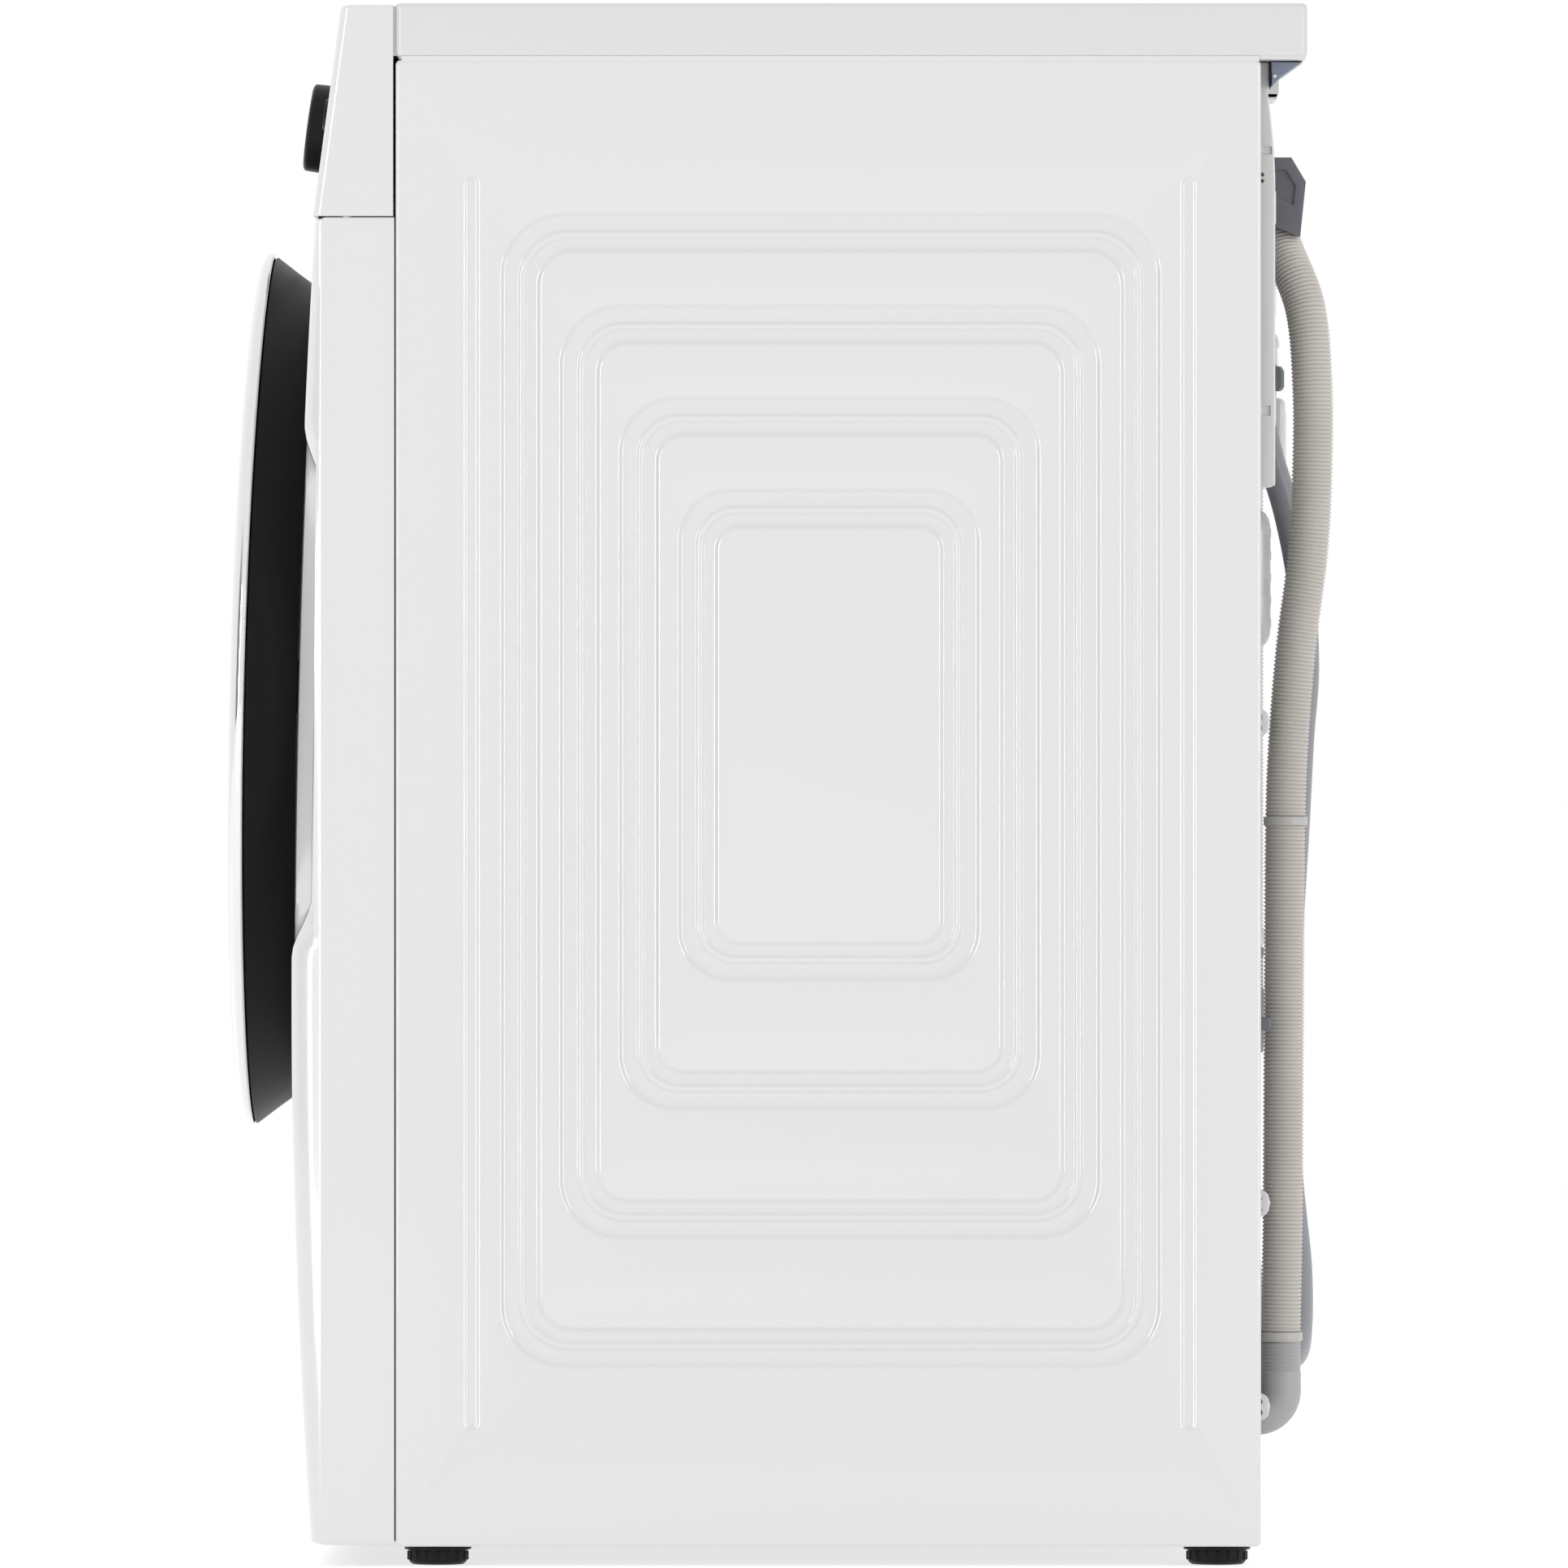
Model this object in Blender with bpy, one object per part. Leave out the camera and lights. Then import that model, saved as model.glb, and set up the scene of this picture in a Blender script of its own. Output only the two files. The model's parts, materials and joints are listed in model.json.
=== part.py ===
"""A front-loading washer-dryer, built as separate sub-parts.

Metres, +Z up. The origin is on the floor under the middle of the machine. The front faces -Y and
the machine's right side is +X. Everything is at rest: door, drawer and flap shut, feet screwed in.
"""

import math

import bmesh
import bpy
from mathutils import Matrix, Vector

# Cabinet
WIDTH = 0.598
HALF = WIDTH / 2
HEIGHT = 0.850
FRONT = -0.1995  # front edge of the side panels
REAR = 0.2712  # rear edge of the side panels
BACK_FACE = 0.2625  # outer face of the rear panel
CABINET_BOTTOM = 0.0106
WORKTOP_UNDER = 0.8195
WORKTOP_REAR = 0.2965
NOTCH_HALF, NOTCH_Y = 0.226, 0.2762  # the worktop's rear edge is set back between its corners
SHEET = 0.0015
GAP = 0.0003  # between pieces that rest on each other
SEAM = 0.0006  # around a panel that is fitted into another

# Front panel and fascia
FRONT_SEAT = FRONT - 0.0012  # where the front assembly meets the side panels
SHELL = 0.0025
PANEL_BOTTOM = 0.0115
PANEL_TOP = 0.7337
BELLY_HEIGHT = 0.309  # where the front panel stands furthest forward
BELLY = 0.057
BELLY_DROP_TOP, BELLY_DROP_BOTTOM = 0.0130, 0.0104
CREASE = -0.2402  # where the front panel's sides start to turn in
CORNER_WIDTH = 0.014
FASCIA_CORNER = 0.0042
FASCIA_BOTTOM = PANEL_TOP + SEAM
FASCIA_TOP = 0.849
FASCIA_DEPTH_LOW = 0.0453
FASCIA_DEPTH_TOP = 0.0299

# Door, tub and drum share one axis along Y
AXIS_HEIGHT = 0.478
PORT_RADIUS = 0.178
DOOR_RADIUS = 0.2462
HINGE_X = -0.243
HINGE_Y = -0.275
TUB_RADIUS = 0.262
DRUM_RADIUS = 0.243
PULLEY_RADIUS = 0.145
MOTOR_PULLEY_RADIUS = 0.0145
BELT_LOW, BELT_HIGH = 0.2185, 0.2345
MOTOR_X, MOTOR_Z = 0.130, 0.145
SEGMENTS = 32
DRUM_SEGMENTS = 36  # a multiple of the three paddles

# Controls and lower front
KNOB_Z = 0.792
KNOB_RADIUS = 0.025
BUTTON_X = 0.232
DRAWER_LEFT, DRAWER_RIGHT = -0.278, -0.112
DRAWER_LOW, DRAWER_HIGH = 0.750, 0.832
WINDOW_LEFT, WINDOW_RIGHT = 0.060, 0.190
FLAP_LEFT, FLAP_RIGHT = 0.100, 0.240
FLAP_LOW, FLAP_HIGH = 0.035, 0.135
FLAP_HINGE_Z = FLAP_LOW + 0.0035
PUMP_X, PUMP_Z = 0.170, 0.085

# Feet
FOOT_X = 0.268
FOOT_FRONT_Y, FOOT_REAR_Y = -0.177, 0.248

# Hoses
DRAIN_DIAMETER = 0.0227
DRAIN_X = 0.190
INLET_DIAMETER = 0.015
INLET_X = 0.150
VALVE_Z = 0.668
SPIGOT_Y = 0.2765

SLOPE = math.atan((FASCIA_DEPTH_LOW - FASCIA_DEPTH_TOP) / (FASCIA_TOP - FASCIA_BOTTOM))


# ---------------------------------------------------------------- materials


def finish(name, colour, roughness, metallic=0.0, alpha=1.0):
    """One material of a single finish."""
    made = bpy.data.materials.new(name)
    made.use_nodes = True
    shader = made.node_tree.nodes["Principled BSDF"]
    shader.inputs["Base Color"].default_value = (*colour, 1.0)
    shader.inputs["Roughness"].default_value = roughness
    shader.inputs["Metallic"].default_value = metallic
    shader.inputs["Alpha"].default_value = alpha
    made.diffuse_color = (*colour, alpha)
    return made


def all_finishes():
    return {
        "enamel": finish("enamel", (0.80, 0.80, 0.80), 0.28),
        "white_plastic": finish("white_plastic", (0.80, 0.80, 0.80), 0.35),
        "laminate": finish("laminate", (0.78, 0.78, 0.78), 0.4),
        "black_plastic": finish("black_plastic", (0.02, 0.02, 0.022), 0.3),
        "dark_glass": finish("dark_glass", (0.02, 0.02, 0.025), 0.06),
        "chrome": finish("chrome", (0.75, 0.75, 0.77), 0.08, 1.0),
        "clear_glass": finish("clear_glass", (0.85, 0.9, 0.9), 0.03, 0.0, 0.35),
        "stainless": finish("stainless", (0.62, 0.62, 0.63), 0.25, 1.0),
        "galvanised": finish("galvanised", (0.45, 0.46, 0.48), 0.45, 1.0),
        "grey_plastic": finish("grey_plastic", (0.14, 0.14, 0.16), 0.45),
        "hose": finish("hose", (0.50, 0.48, 0.45), 0.5),
        "inlet_hose": finish("inlet_hose", (0.28, 0.28, 0.31), 0.4),
        "dark_nut": finish("dark_nut", (0.10, 0.12, 0.12), 0.4),
        "tub_plastic": finish("tub_plastic", (0.55, 0.57, 0.58), 0.6),
        "rubber": finish("rubber", (0.12, 0.12, 0.13), 0.75),
        "concrete": finish("concrete", (0.36, 0.35, 0.33), 0.95),
        "motor_metal": finish("motor_metal", (0.30, 0.30, 0.31), 0.5, 1.0),
        "spring_steel": finish("spring_steel", (0.4, 0.4, 0.42), 0.35, 1.0),
        "bracket_steel": finish("bracket_steel", (0.16, 0.19, 0.26), 0.5, 0.4),
    }


# ---------------------------------------------------------------- modelling helpers


def add_object(name, bm, material, smooth_under=35):
    """Turns a bmesh into a scene object with its faces pointing out."""
    bmesh.ops.recalc_face_normals(bm, faces=bm.faces)
    mesh = bpy.data.meshes.new(name)
    bm.to_mesh(mesh)
    bm.free()
    mesh.shade_smooth()
    mesh.set_sharp_from_angle(angle=math.radians(smooth_under))
    mesh.materials.append(material)
    made = bpy.data.objects.new(name, mesh)
    bpy.context.scene.collection.objects.link(made)
    return made


def boolean(target, tool, operation="DIFFERENCE"):
    """Adds a Boolean to target and turns tool into a helper that isn't a piece."""
    modifier = target.modifiers.new(f"{operation.title()} {tool.name}", "BOOLEAN")
    modifier.operation = operation
    modifier.solver = "EXACT"
    modifier.object = tool
    tool.hide_render = True
    tool.display_type = "WIRE"
    return target


def turn_to(axis):
    """The rotation that takes a lathe's own +Z to the given axis."""
    return Vector((0, 0, 1)).rotation_difference(Vector(axis)).to_matrix().to_4x4()


def lathe(name, profile, material, axis=(0, -1, 0), centre=(0, 0, 0), segments=SEGMENTS):
    """Turns (radius, height) points about an axis. A profile that starts off the axis is a ring."""
    bm = bmesh.new()
    rings = []
    for radius, height in profile:
        if radius < 1e-6:
            rings.append([bm.verts.new((0, 0, height))])
            continue
        turns = [2 * math.pi * (i + 0.5) / segments for i in range(segments)]
        rings.append([bm.verts.new((radius * math.cos(t), radius * math.sin(t), height)) for t in turns])
    if len(rings[0]) > 1:
        rings.append(rings[0])
    for low, high in zip(rings, rings[1:]):
        for i in range(segments):
            j = (i + 1) % segments
            corners = [low[i % len(low)], low[j % len(low)], high[j % len(high)], high[i % len(high)]]
            bm.faces.new(list(dict.fromkeys(corners)))
    bm.transform(Matrix.Translation(centre) @ turn_to(axis))
    return add_object(name, bm, material)


def prism(name, outline, axis, low, high, material):
    """Extrudes a closed outline along X, Y or Z. Its points are the other two coordinates in order."""
    place = {
        "X": lambda u, v, h: (h, u, v),
        "Y": lambda u, v, h: (u, h, v),
        "Z": lambda u, v, h: (u, v, h),
    }[axis]
    bm = bmesh.new()
    ends = [[bm.verts.new(place(u, v, h)) for u, v in outline] for h in (low, high)]
    for loop in ends:
        bm.faces.new(loop)
    for i in range(len(outline)):
        j = (i + 1) % len(outline)
        bm.faces.new((ends[0][i], ends[0][j], ends[1][j], ends[1][i]))
    return add_object(name, bm, material)


def box(name, low, high, material, bevel=0.0):
    """A box between two corners, with its edges rounded off by one facet where bevel is set."""
    bm = bmesh.new()
    bmesh.ops.create_cube(bm, size=1.0)
    size = Vector(high) - Vector(low)
    bm.transform(Matrix.Translation((Vector(low) + Vector(high)) / 2) @ Matrix.Diagonal((*size, 1)))
    if bevel:
        bmesh.ops.bevel(bm, geom=bm.edges[:], offset=bevel, segments=1, affect="EDGES")
    return add_object(name, bm, material)


def rod(name, start, end, radius, material, segments=16):
    """A plain cylinder from one point to another."""
    start, end = Vector(start), Vector(end)
    length = (end - start).length
    profile = [(0, 0), (radius, 0), (radius, length), (0, length)]
    return lathe(name, profile, material, (end - start) / length, start, segments)


def arc(centre, radius, first, last, steps):
    """Points of an arc, with its angles in degrees."""
    angles = [math.radians(first + (last - first) * i / steps) for i in range(steps + 1)]
    return [(centre[0] + radius * math.cos(a), centre[1] + radius * math.sin(a)) for a in angles]


def rounded_rectangle(left, right, low, high, radius, steps=2):
    """An outline with rounded corners, counter-clockwise from its lower right corner."""
    return (
        arc((right - radius, low + radius), radius, -90, 0, steps)
        + arc((right - radius, high - radius), radius, 0, 90, steps)
        + arc((left + radius, high - radius), radius, 90, 180, steps)
        + arc((left + radius, low + radius), radius, 180, 270, steps)
    )


def loft(name, sections, material):
    """Joins closed sections of equal length, each a list of 3-D points, and caps both ends."""
    bm = bmesh.new()
    rings = [[bm.verts.new(point) for point in section] for section in sections]
    for low, high in zip(rings, rings[1:]):
        for i in range(len(low)):
            j = (i + 1) % len(low)
            bm.faces.new((low[i], low[j], high[j], high[i]))
    bm.faces.new(rings[0])
    bm.faces.new(rings[-1])
    return add_object(name, bm, material)


def smooth_route(points, spacing):
    """Points a set distance apart on the smooth curve through a route's own points."""
    route = [Vector(p) for p in points]
    route = [2 * route[0] - route[1], *route, 2 * route[-1] - route[-2]]
    fine = []
    for a, b, c, d in zip(route, route[1:], route[2:], route[3:]):
        for k in range(24):
            t = k / 24
            fine.append(
                0.5 * (2 * b + (c - a) * t + (2 * a - 5 * b + 4 * c - d) * t * t
                       + (3 * b - a - 3 * c + d) * t ** 3)
            )
    fine.append(route[-2])
    lengths = [0.0]
    for a, b in zip(fine, fine[1:]):
        lengths.append(lengths[-1] + (b - a).length)
    count = max(2, round(lengths[-1] / spacing))
    placed, k = [], 0
    for i in range(count + 1):
        wanted = lengths[-1] * i / count
        while k < len(lengths) - 2 and lengths[k + 1] < wanted:
            k += 1
        share = (wanted - lengths[k]) / (lengths[k + 1] - lengths[k])
        placed.append(fine[k].lerp(fine[k + 1], share))
    return placed


def tube(name, points, diameter, material, sides=2):
    """A hose: a curve of straight steps with a round bevel and closed ends."""
    curve = bpy.data.curves.new(name, "CURVE")
    curve.dimensions = "3D"
    curve.bevel_depth = diameter / 2
    curve.bevel_resolution = sides
    curve.use_fill_caps = True
    spline = curve.splines.new("POLY")
    spline.points.add(len(points) - 1)
    for place, point in zip(spline.points, points):
        place.co = (*point, 1.0)
    curve.materials.append(material)
    made = bpy.data.objects.new(name, curve)
    bpy.context.scene.collection.objects.link(made)
    return made


def sweep(name, points, section, material):
    """Carries a closed section, (sideways, outward) from the path, along a path. Sideways is +Y."""
    sections = []
    for i, point in enumerate(points):
        along = (points[min(i + 1, len(points) - 1)] - points[max(i - 1, 0)]).normalized()
        sideways = (Vector((0, 1, 0)) - along * along.y).normalized()
        outward = sideways.cross(along)
        sections.append([point + sideways * u + outward * v for u, v in section])
    return loft(name, sections, material)


def ride_on(axis_name, place, pieces, parent=None):
    """Puts an empty on a joint's axis and hangs the moving pieces on it."""
    axis = bpy.data.objects.new(axis_name, None)
    axis.location = place
    axis.empty_display_size = 0.03
    bpy.context.scene.collection.objects.link(axis)
    if parent:
        axis.parent = parent
        axis.matrix_parent_inverse = Matrix.Translation(parent.location).inverted()
    for piece in pieces:
        piece.parent = axis
        piece.matrix_parent_inverse = Matrix.Translation(place).inverted()
    return axis


# ---------------------------------------------------------------- shared shapes


def panel_forward(z):
    """How far the bowed front panel stands in front of the side panels at a height."""
    if z > BELLY_HEIGHT:
        return BELLY - BELLY_DROP_TOP * ((z - BELLY_HEIGHT) / (PANEL_TOP - BELLY_HEIGHT)) ** 2
    return BELLY - BELLY_DROP_BOTTOM * ((z - BELLY_HEIGHT) / (BELLY_HEIGHT - PANEL_BOTTOM)) ** 2


def fascia_forward(z):
    """How far the sloping fascia stands in front of the side panels at a height."""
    share = (z - FASCIA_BOTTOM) / (FASCIA_TOP - FASCIA_BOTTOM)
    return FASCIA_DEPTH_LOW + (FASCIA_DEPTH_TOP - FASCIA_DEPTH_LOW) * share


def smooth_step(low, high, value):
    share = min(max((value - low) / (high - low), 0.0), 1.0)
    return share * share * (3 - 2 * share)


def scoop_depth(x, z):
    """Depth of the finger scoop beside the door, a long hollow that runs out into the panel's corner."""
    upright = smooth_step(0.331, 0.364, z) * (1 - smooth_step(0.583, 0.622, z))
    sideways = smooth_step(0.228, 0.246, x) * (1 - smooth_step(0.2942, 0.2968, x))
    return 0.0105 * upright * sideways


def plan_outline(forward, corner, inset, back, columns=()):
    """The front assembly seen from above: left side, crease, curved corner, front, corner, right side."""
    half, front = HALF - 0.001 - inset, FRONT - forward + inset
    depth = max(corner - inset, 0.0015)
    first = math.radians(24)
    right = []
    for k in range(5):
        turn = first + (math.pi / 2 - first) * k / 4
        across = (math.cos(first) - math.cos(turn)) / math.cos(first)
        ahead = (math.sin(turn) - math.sin(first)) / (1 - math.sin(first))
        right.append((half - CORNER_WIDTH * across, front + depth * (1 - ahead)))
    left = [(-x, y) for x, y in right]
    return [(-half, back), *left, *[(x, front) for x in columns], *right[::-1], (half, back)]


def bow(piece, still=None):
    """Shifts a piece to follow the front panel's bow, fading out towards a depth that stays still."""
    middle = panel_forward(AXIS_HEIGHT)
    for vertex in piece.data.vertices:
        height = min(max(vertex.co.z, PANEL_BOTTOM), PANEL_TOP)
        share = 1.0
        if still is not None:
            share = min(max((still - vertex.co.y) / (still - FRONT + middle), 0.0), 1.0)
        vertex.co.y -= (panel_forward(height) - middle) * share
    return piece


def on_fascia(x, up, out):
    """A point given from the knob's place on the fascia: across, up the slope and out of it."""
    y = FRONT - fascia_forward(KNOB_Z)
    return Vector((
        x,
        y + up * math.sin(SLOPE) - out * math.cos(SLOPE),
        KNOB_Z + up * math.cos(SLOPE) + out * math.sin(SLOPE),
    ))


def fascia_block(name, left, right, low, high, inner, outer, material):
    """A block with level ends and with faces parallel to the fascia, between two depths out of it."""
    corners = [
        (FRONT - fascia_forward(z) - out / math.cos(SLOPE), z)
        for z, out in ((low, inner), (high, inner), (high, outer), (low, outer))
    ]
    return prism(name, corners, "X", left, right, material)


# ---------------------------------------------------------------- cabinet


def side_panel(name, side, material):
    """A pressed sheet with four nested channels stamped inwards."""
    bands = [((FRONT, REAR, CABINET_BOTTOM, WORKTOP_UNDER - GAP, 0.002), 0.0)]
    for ring in range(4):
        outer = (
            -0.1422 + 0.0322 * ring,
            0.2166 - 0.0328 * ring,
            0.108 + 0.070 * ring,
            0.736 - 0.050 * ring,
        )
        radius = 0.034 - 0.003 * ring
        for inset, depth in ((0.0, 0.0), (0.003, 0.0022), (0.0175, 0.0022), (0.0205, 0.0)):
            left, right, low, high = outer
            bands.append(((left + inset, right - inset, low + inset, high - inset, radius - inset * 0.5),
                          depth))
    bm = bmesh.new()
    skins = []
    for inward in (0.0, SHEET):
        skins.append([
            [bm.verts.new((side * (HALF - depth - inward), y, z)) for y, z in rounded_rectangle(*shape)]
            for shape, depth in bands
        ])
    for rings in skins:
        for wide, narrow in zip(rings, rings[1:]):
            for i in range(len(wide)):
                j = (i + 1) % len(wide)
                bm.faces.new((wide[i], wide[j], narrow[j], narrow[i]))
        bm.faces.new(rings[-1])
    outside, inside = skins[0][0], skins[1][0]
    for i in range(len(outside)):
        j = (i + 1) % len(outside)
        bm.faces.new((outside[i], outside[j], inside[j], inside[i]))
    return add_object(name, bm, material, 20)


def build_cabinet(m):
    side_panel("side_panel_right", 1, m["enamel"])
    side_panel("side_panel_left", -1, m["enamel"])
    inner = HALF - SHEET - 0.0027

    rear = box("rear_panel", (-inner, BACK_FACE - SHEET, 0.0125), (inner, BACK_FACE, 0.8187), m["galvanised"])
    access = box("access_hole", (-0.125, 0.25, 0.31), (0.125, 0.28, 0.575), m["galvanised"])
    spigot = rod("spigot_hole", (INLET_X, 0.25, VALVE_Z), (INLET_X, 0.28, VALVE_Z), 0.0095, m["galvanised"])
    for hole in (access, spigot):
        boolean(rear, hole)

    cover = box("rear_access_cover", (-0.135, BACK_FACE + GAP, 0.300), (0.135, BACK_FACE + 0.0015, 0.585),
                m["galvanised"])
    bulge = raised_block("cover_bulge", 0.120, 0.499, 0.580, (BACK_FACE + 0.0005, 0.2745, 0.2820),
                         m["galvanised"])
    hollow = raised_block("cover_hollow", 0.117, 0.502, 0.577, (0.2550, 0.2735, 0.2802), m["galvanised"])
    boolean(cover, bulge, "UNION")
    boolean(cover, hollow)

    build_duct_cover(m["white_plastic"])

    tray = box("base_tray", (-inner, FRONT + 0.003, 0.0120), (inner, 0.2585, 0.045), m["grey_plastic"])
    boolean(tray, box("tray_hollow", (-inner + 0.003, FRONT + 0.006, 0.0155), (inner - 0.003, 0.2555, 0.06),
                      m["grey_plastic"]))
    for x in (-FOOT_X, FOOT_X):
        for y in (FOOT_FRONT_Y, FOOT_REAR_Y):
            boolean(tray, rod("stud_hole", (x, y, 0.0), (x, y, 0.03), 0.0056, m["grey_plastic"]))

    worktop = box("worktop", (-HALF, FRONT_SEAT + SEAM, WORKTOP_UNDER), (HALF, WORKTOP_REAR, HEIGHT),
                  m["laminate"], 0.002)
    boolean(worktop, box("rear_recess", (-NOTCH_HALF, NOTCH_Y, WORKTOP_UNDER - 0.01),
                         (NOTCH_HALF, WORKTOP_REAR + 0.01, HEIGHT + 0.01), m["laminate"]))
    gusset = [(0.2772, 0.8192), (0.2945, 0.8192), (0.2824, 0.8106), (0.2772, 0.8050)]
    prism("worktop_bracket", gusset, "X", 0.232, 0.280, m["bracket_steel"])


def raised_block(name, half, low, high, depths, material):
    """A block along Y with rounded corners whose outer edge slopes in."""
    start, shoulder, face = depths
    sections = []
    for y, inset in ((start, 0.0), (shoulder, 0.0), (face, 0.007)):
        outline = rounded_rectangle(-half + inset, half - inset, low + inset, high - inset, 0.016 - inset)
        sections.append([(x, y, z) for x, z in outline])
    return loft(name, sections, material)


def build_duct_cover(material):
    """The white cover up the right rear edge, with a lobe reaching left under the inlet valve."""
    foot = BACK_FACE + GAP
    profile = [(foot, 0.588), (0.2797, 0.588), (0.2797, 0.757), (0.2790, 0.772), (0.2775, 0.788),
               (0.2757, 0.802),
               (0.2764, 0.8045), (0.2764, 0.8190), (foot, 0.8190)]
    cover = prism("rear_duct_cover", profile, "X", 0.213, 0.273, material)
    web = box("cover_web", (0.020, foot, 0.590), (0.220, foot + 0.0015, 0.638), material)
    lobe = box("cover_lobe", (0.020, foot + 0.0002, 0.5905), (0.122, 0.2900, 0.6395), material, 0.003)
    boolean(cover, web, "UNION")
    boolean(cover, lobe, "UNION")


def front_shell(name, material):
    """The bowed panel as a bent sheet, open at the back."""
    levels = [PANEL_BOTTOM, 0.06, 0.12, 0.18, 0.24, 0.29, 0.331, 0.3475, 0.364, 0.42, 0.48, 0.54, 0.583,
              0.6025, 0.622, 0.66, 0.70, PANEL_TOP]
    columns = (0.228, 0.237, 0.246, 0.270)
    sections = []
    for z in levels:
        forward = panel_forward(z)
        outside, inside = [
            plan_outline(forward, forward - FRONT + CREASE, inset, FRONT_SEAT, columns)
            for inset in (0.0, SHELL)
        ]
        loop = outside + inside[::-1]
        sections.append([(x, y + (scoop_depth(x, z) if y < FRONT_SEAT else 0), z) for x, y in loop])
    return loft(name, sections, material)


def build_front(m):
    panel = front_shell("front_panel", m["enamel"])
    port = rod("port_hole", (0, -0.30, AXIS_HEIGHT), (0, -0.215, AXIS_HEIGHT), PORT_RADIUS, m["enamel"],
               SEGMENTS)
    latch_slot = box("latch_slot", (0.198, -0.30, 0.464), (0.2205, -0.215, 0.494), m["enamel"])
    flap_hole = box("flap_hole", (FLAP_LEFT, -0.30, FLAP_LOW), (FLAP_RIGHT, -0.215, FLAP_HIGH), m["enamel"])
    for hole in (port, latch_slot, flap_hole):
        boolean(panel, hole)

    flap = front_shell("service_flap", m["enamel"])
    fitted = box("flap_outline", (FLAP_LEFT + SEAM, -0.30, FLAP_LOW + SEAM),
                 (FLAP_RIGHT - SEAM, -0.215, FLAP_HIGH - SEAM), m["enamel"])
    boolean(flap, fitted, "INTERSECT")
    hinge_y = FRONT - panel_forward(FLAP_HINGE_Z) + SHELL / 2
    ride_on("flap_hinge_axis", ((FLAP_LEFT + FLAP_RIGHT) / 2, hinge_y, FLAP_HINGE_Z), [flap])


def build_fascia(m):
    white = m["white_plastic"]
    levels = [(FASCIA_BOTTOM, 0.0), (FASCIA_TOP - 0.0018, 0.0), (FASCIA_TOP - 0.0005, 0.0005),
              (FASCIA_TOP, 0.0018)]
    solid = [
        [(x, y, z) for x, y in plan_outline(fascia_forward(z) - drop, FASCIA_CORNER, 0.0, FRONT_SEAT)]
        for z, drop in levels
    ]
    fascia = loft("control_fascia", solid, white)
    inner = [
        [(x, y, z) for x, y in plan_outline(fascia_forward(z), FASCIA_CORNER, SHELL, FRONT_SEAT + 0.02)]
        for z in (FASCIA_BOTTOM - 0.02, FASCIA_TOP - SHELL)
    ]
    boolean(fascia, loft("fascia_hollow", inner, white))
    boolean(fascia, fascia_block("drawer_hole", DRAWER_LEFT, DRAWER_RIGHT, DRAWER_LOW, DRAWER_HIGH, -0.012,
                                 0.01,
                                 white))
    boolean(fascia, fascia_block("window_hole", WINDOW_LEFT, WINDOW_RIGHT, 0.772, 0.818, -0.012, 0.01, white))
    boolean(fascia, rod("shaft_hole", on_fascia(0, 0, -0.01), on_fascia(0, 0, 0.01), 0.0045, white))
    boolean(fascia, rod("button_hole", on_fascia(BUTTON_X, 0, -0.01), on_fascia(BUTTON_X, 0, 0.01), 0.0095,
                        white))

    fascia_block("display_window", WINDOW_LEFT + GAP, WINDOW_RIGHT - GAP, 0.772 + GAP, 0.818 - GAP, -0.002,
                 0.0004,
                 m["dark_glass"])

    outward = on_fascia(0, 0, 1) - on_fascia(0, 0, 0)
    knob = [(0, -0.014), (0.004, -0.014), (0.004, 0.0012), (KNOB_RADIUS, 0.0012),
            (KNOB_RADIUS - 0.0006, 0.0165), (KNOB_RADIUS - 0.0022, 0.0181), (0.012, 0.0189), (0, 0.0191)]
    knob = lathe("program_knob", knob, m["black_plastic"], outward, on_fascia(0, 0, 0), 24)
    ride_on("knob_axis", on_fascia(0, 0, 0), [knob])
    button = [(0, -0.008), (0.009, -0.008), (0.009, 0.0022), (0.0080, 0.0030), (0, 0.0032)]
    button = lathe("start_button", button, m["black_plastic"], outward, on_fascia(BUTTON_X, 0, 0), 20)
    ride_on("button_axis", on_fascia(BUTTON_X, 0, 0), [button])


def build_dispenser(m):
    """The drawer's fixed housing, and the drawer: its front and its tray of three compartments."""
    housing = box("dispenser_housing", (-0.2795, -0.196, 0.7525), (-0.1105, 0.004, 0.8175),
                  m["white_plastic"])
    boolean(housing, box("housing_hollow", (-0.2775, -0.21, 0.7545), (-0.1125, 0.002, 0.8155),
                         m["white_plastic"]))

    front = fascia_block("drawer_front", DRAWER_LEFT + SEAM, DRAWER_RIGHT - SEAM, DRAWER_LOW + SEAM,
                         DRAWER_HIGH - SEAM, -0.0076, 0.0, m["white_plastic"])
    pull = fascia_block("drawer_pull", -0.24, -0.15, 0.744, 0.764, -0.0035, 0.003, m["white_plastic"])
    boolean(front, pull)

    tray = box("drawer_tray", (-0.2755, -0.2260, 0.7570), (-0.1145, -0.020, 0.8125), m["white_plastic"])
    walls = [-0.2755, -0.223, -0.168, -0.1145]
    for number, (left, right) in enumerate(zip(walls, walls[1:])):
        boolean(tray, box(f"compartment_{number}", (left + 0.0015, -0.2240, 0.7590),
                          (right - 0.0015, -0.022, 0.83),
                          m["white_plastic"]))
    ride_on("drawer_slide_axis", (-0.195, FRONT_SEAT, 0.785), [front, tray])


# ---------------------------------------------------------------- door


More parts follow.
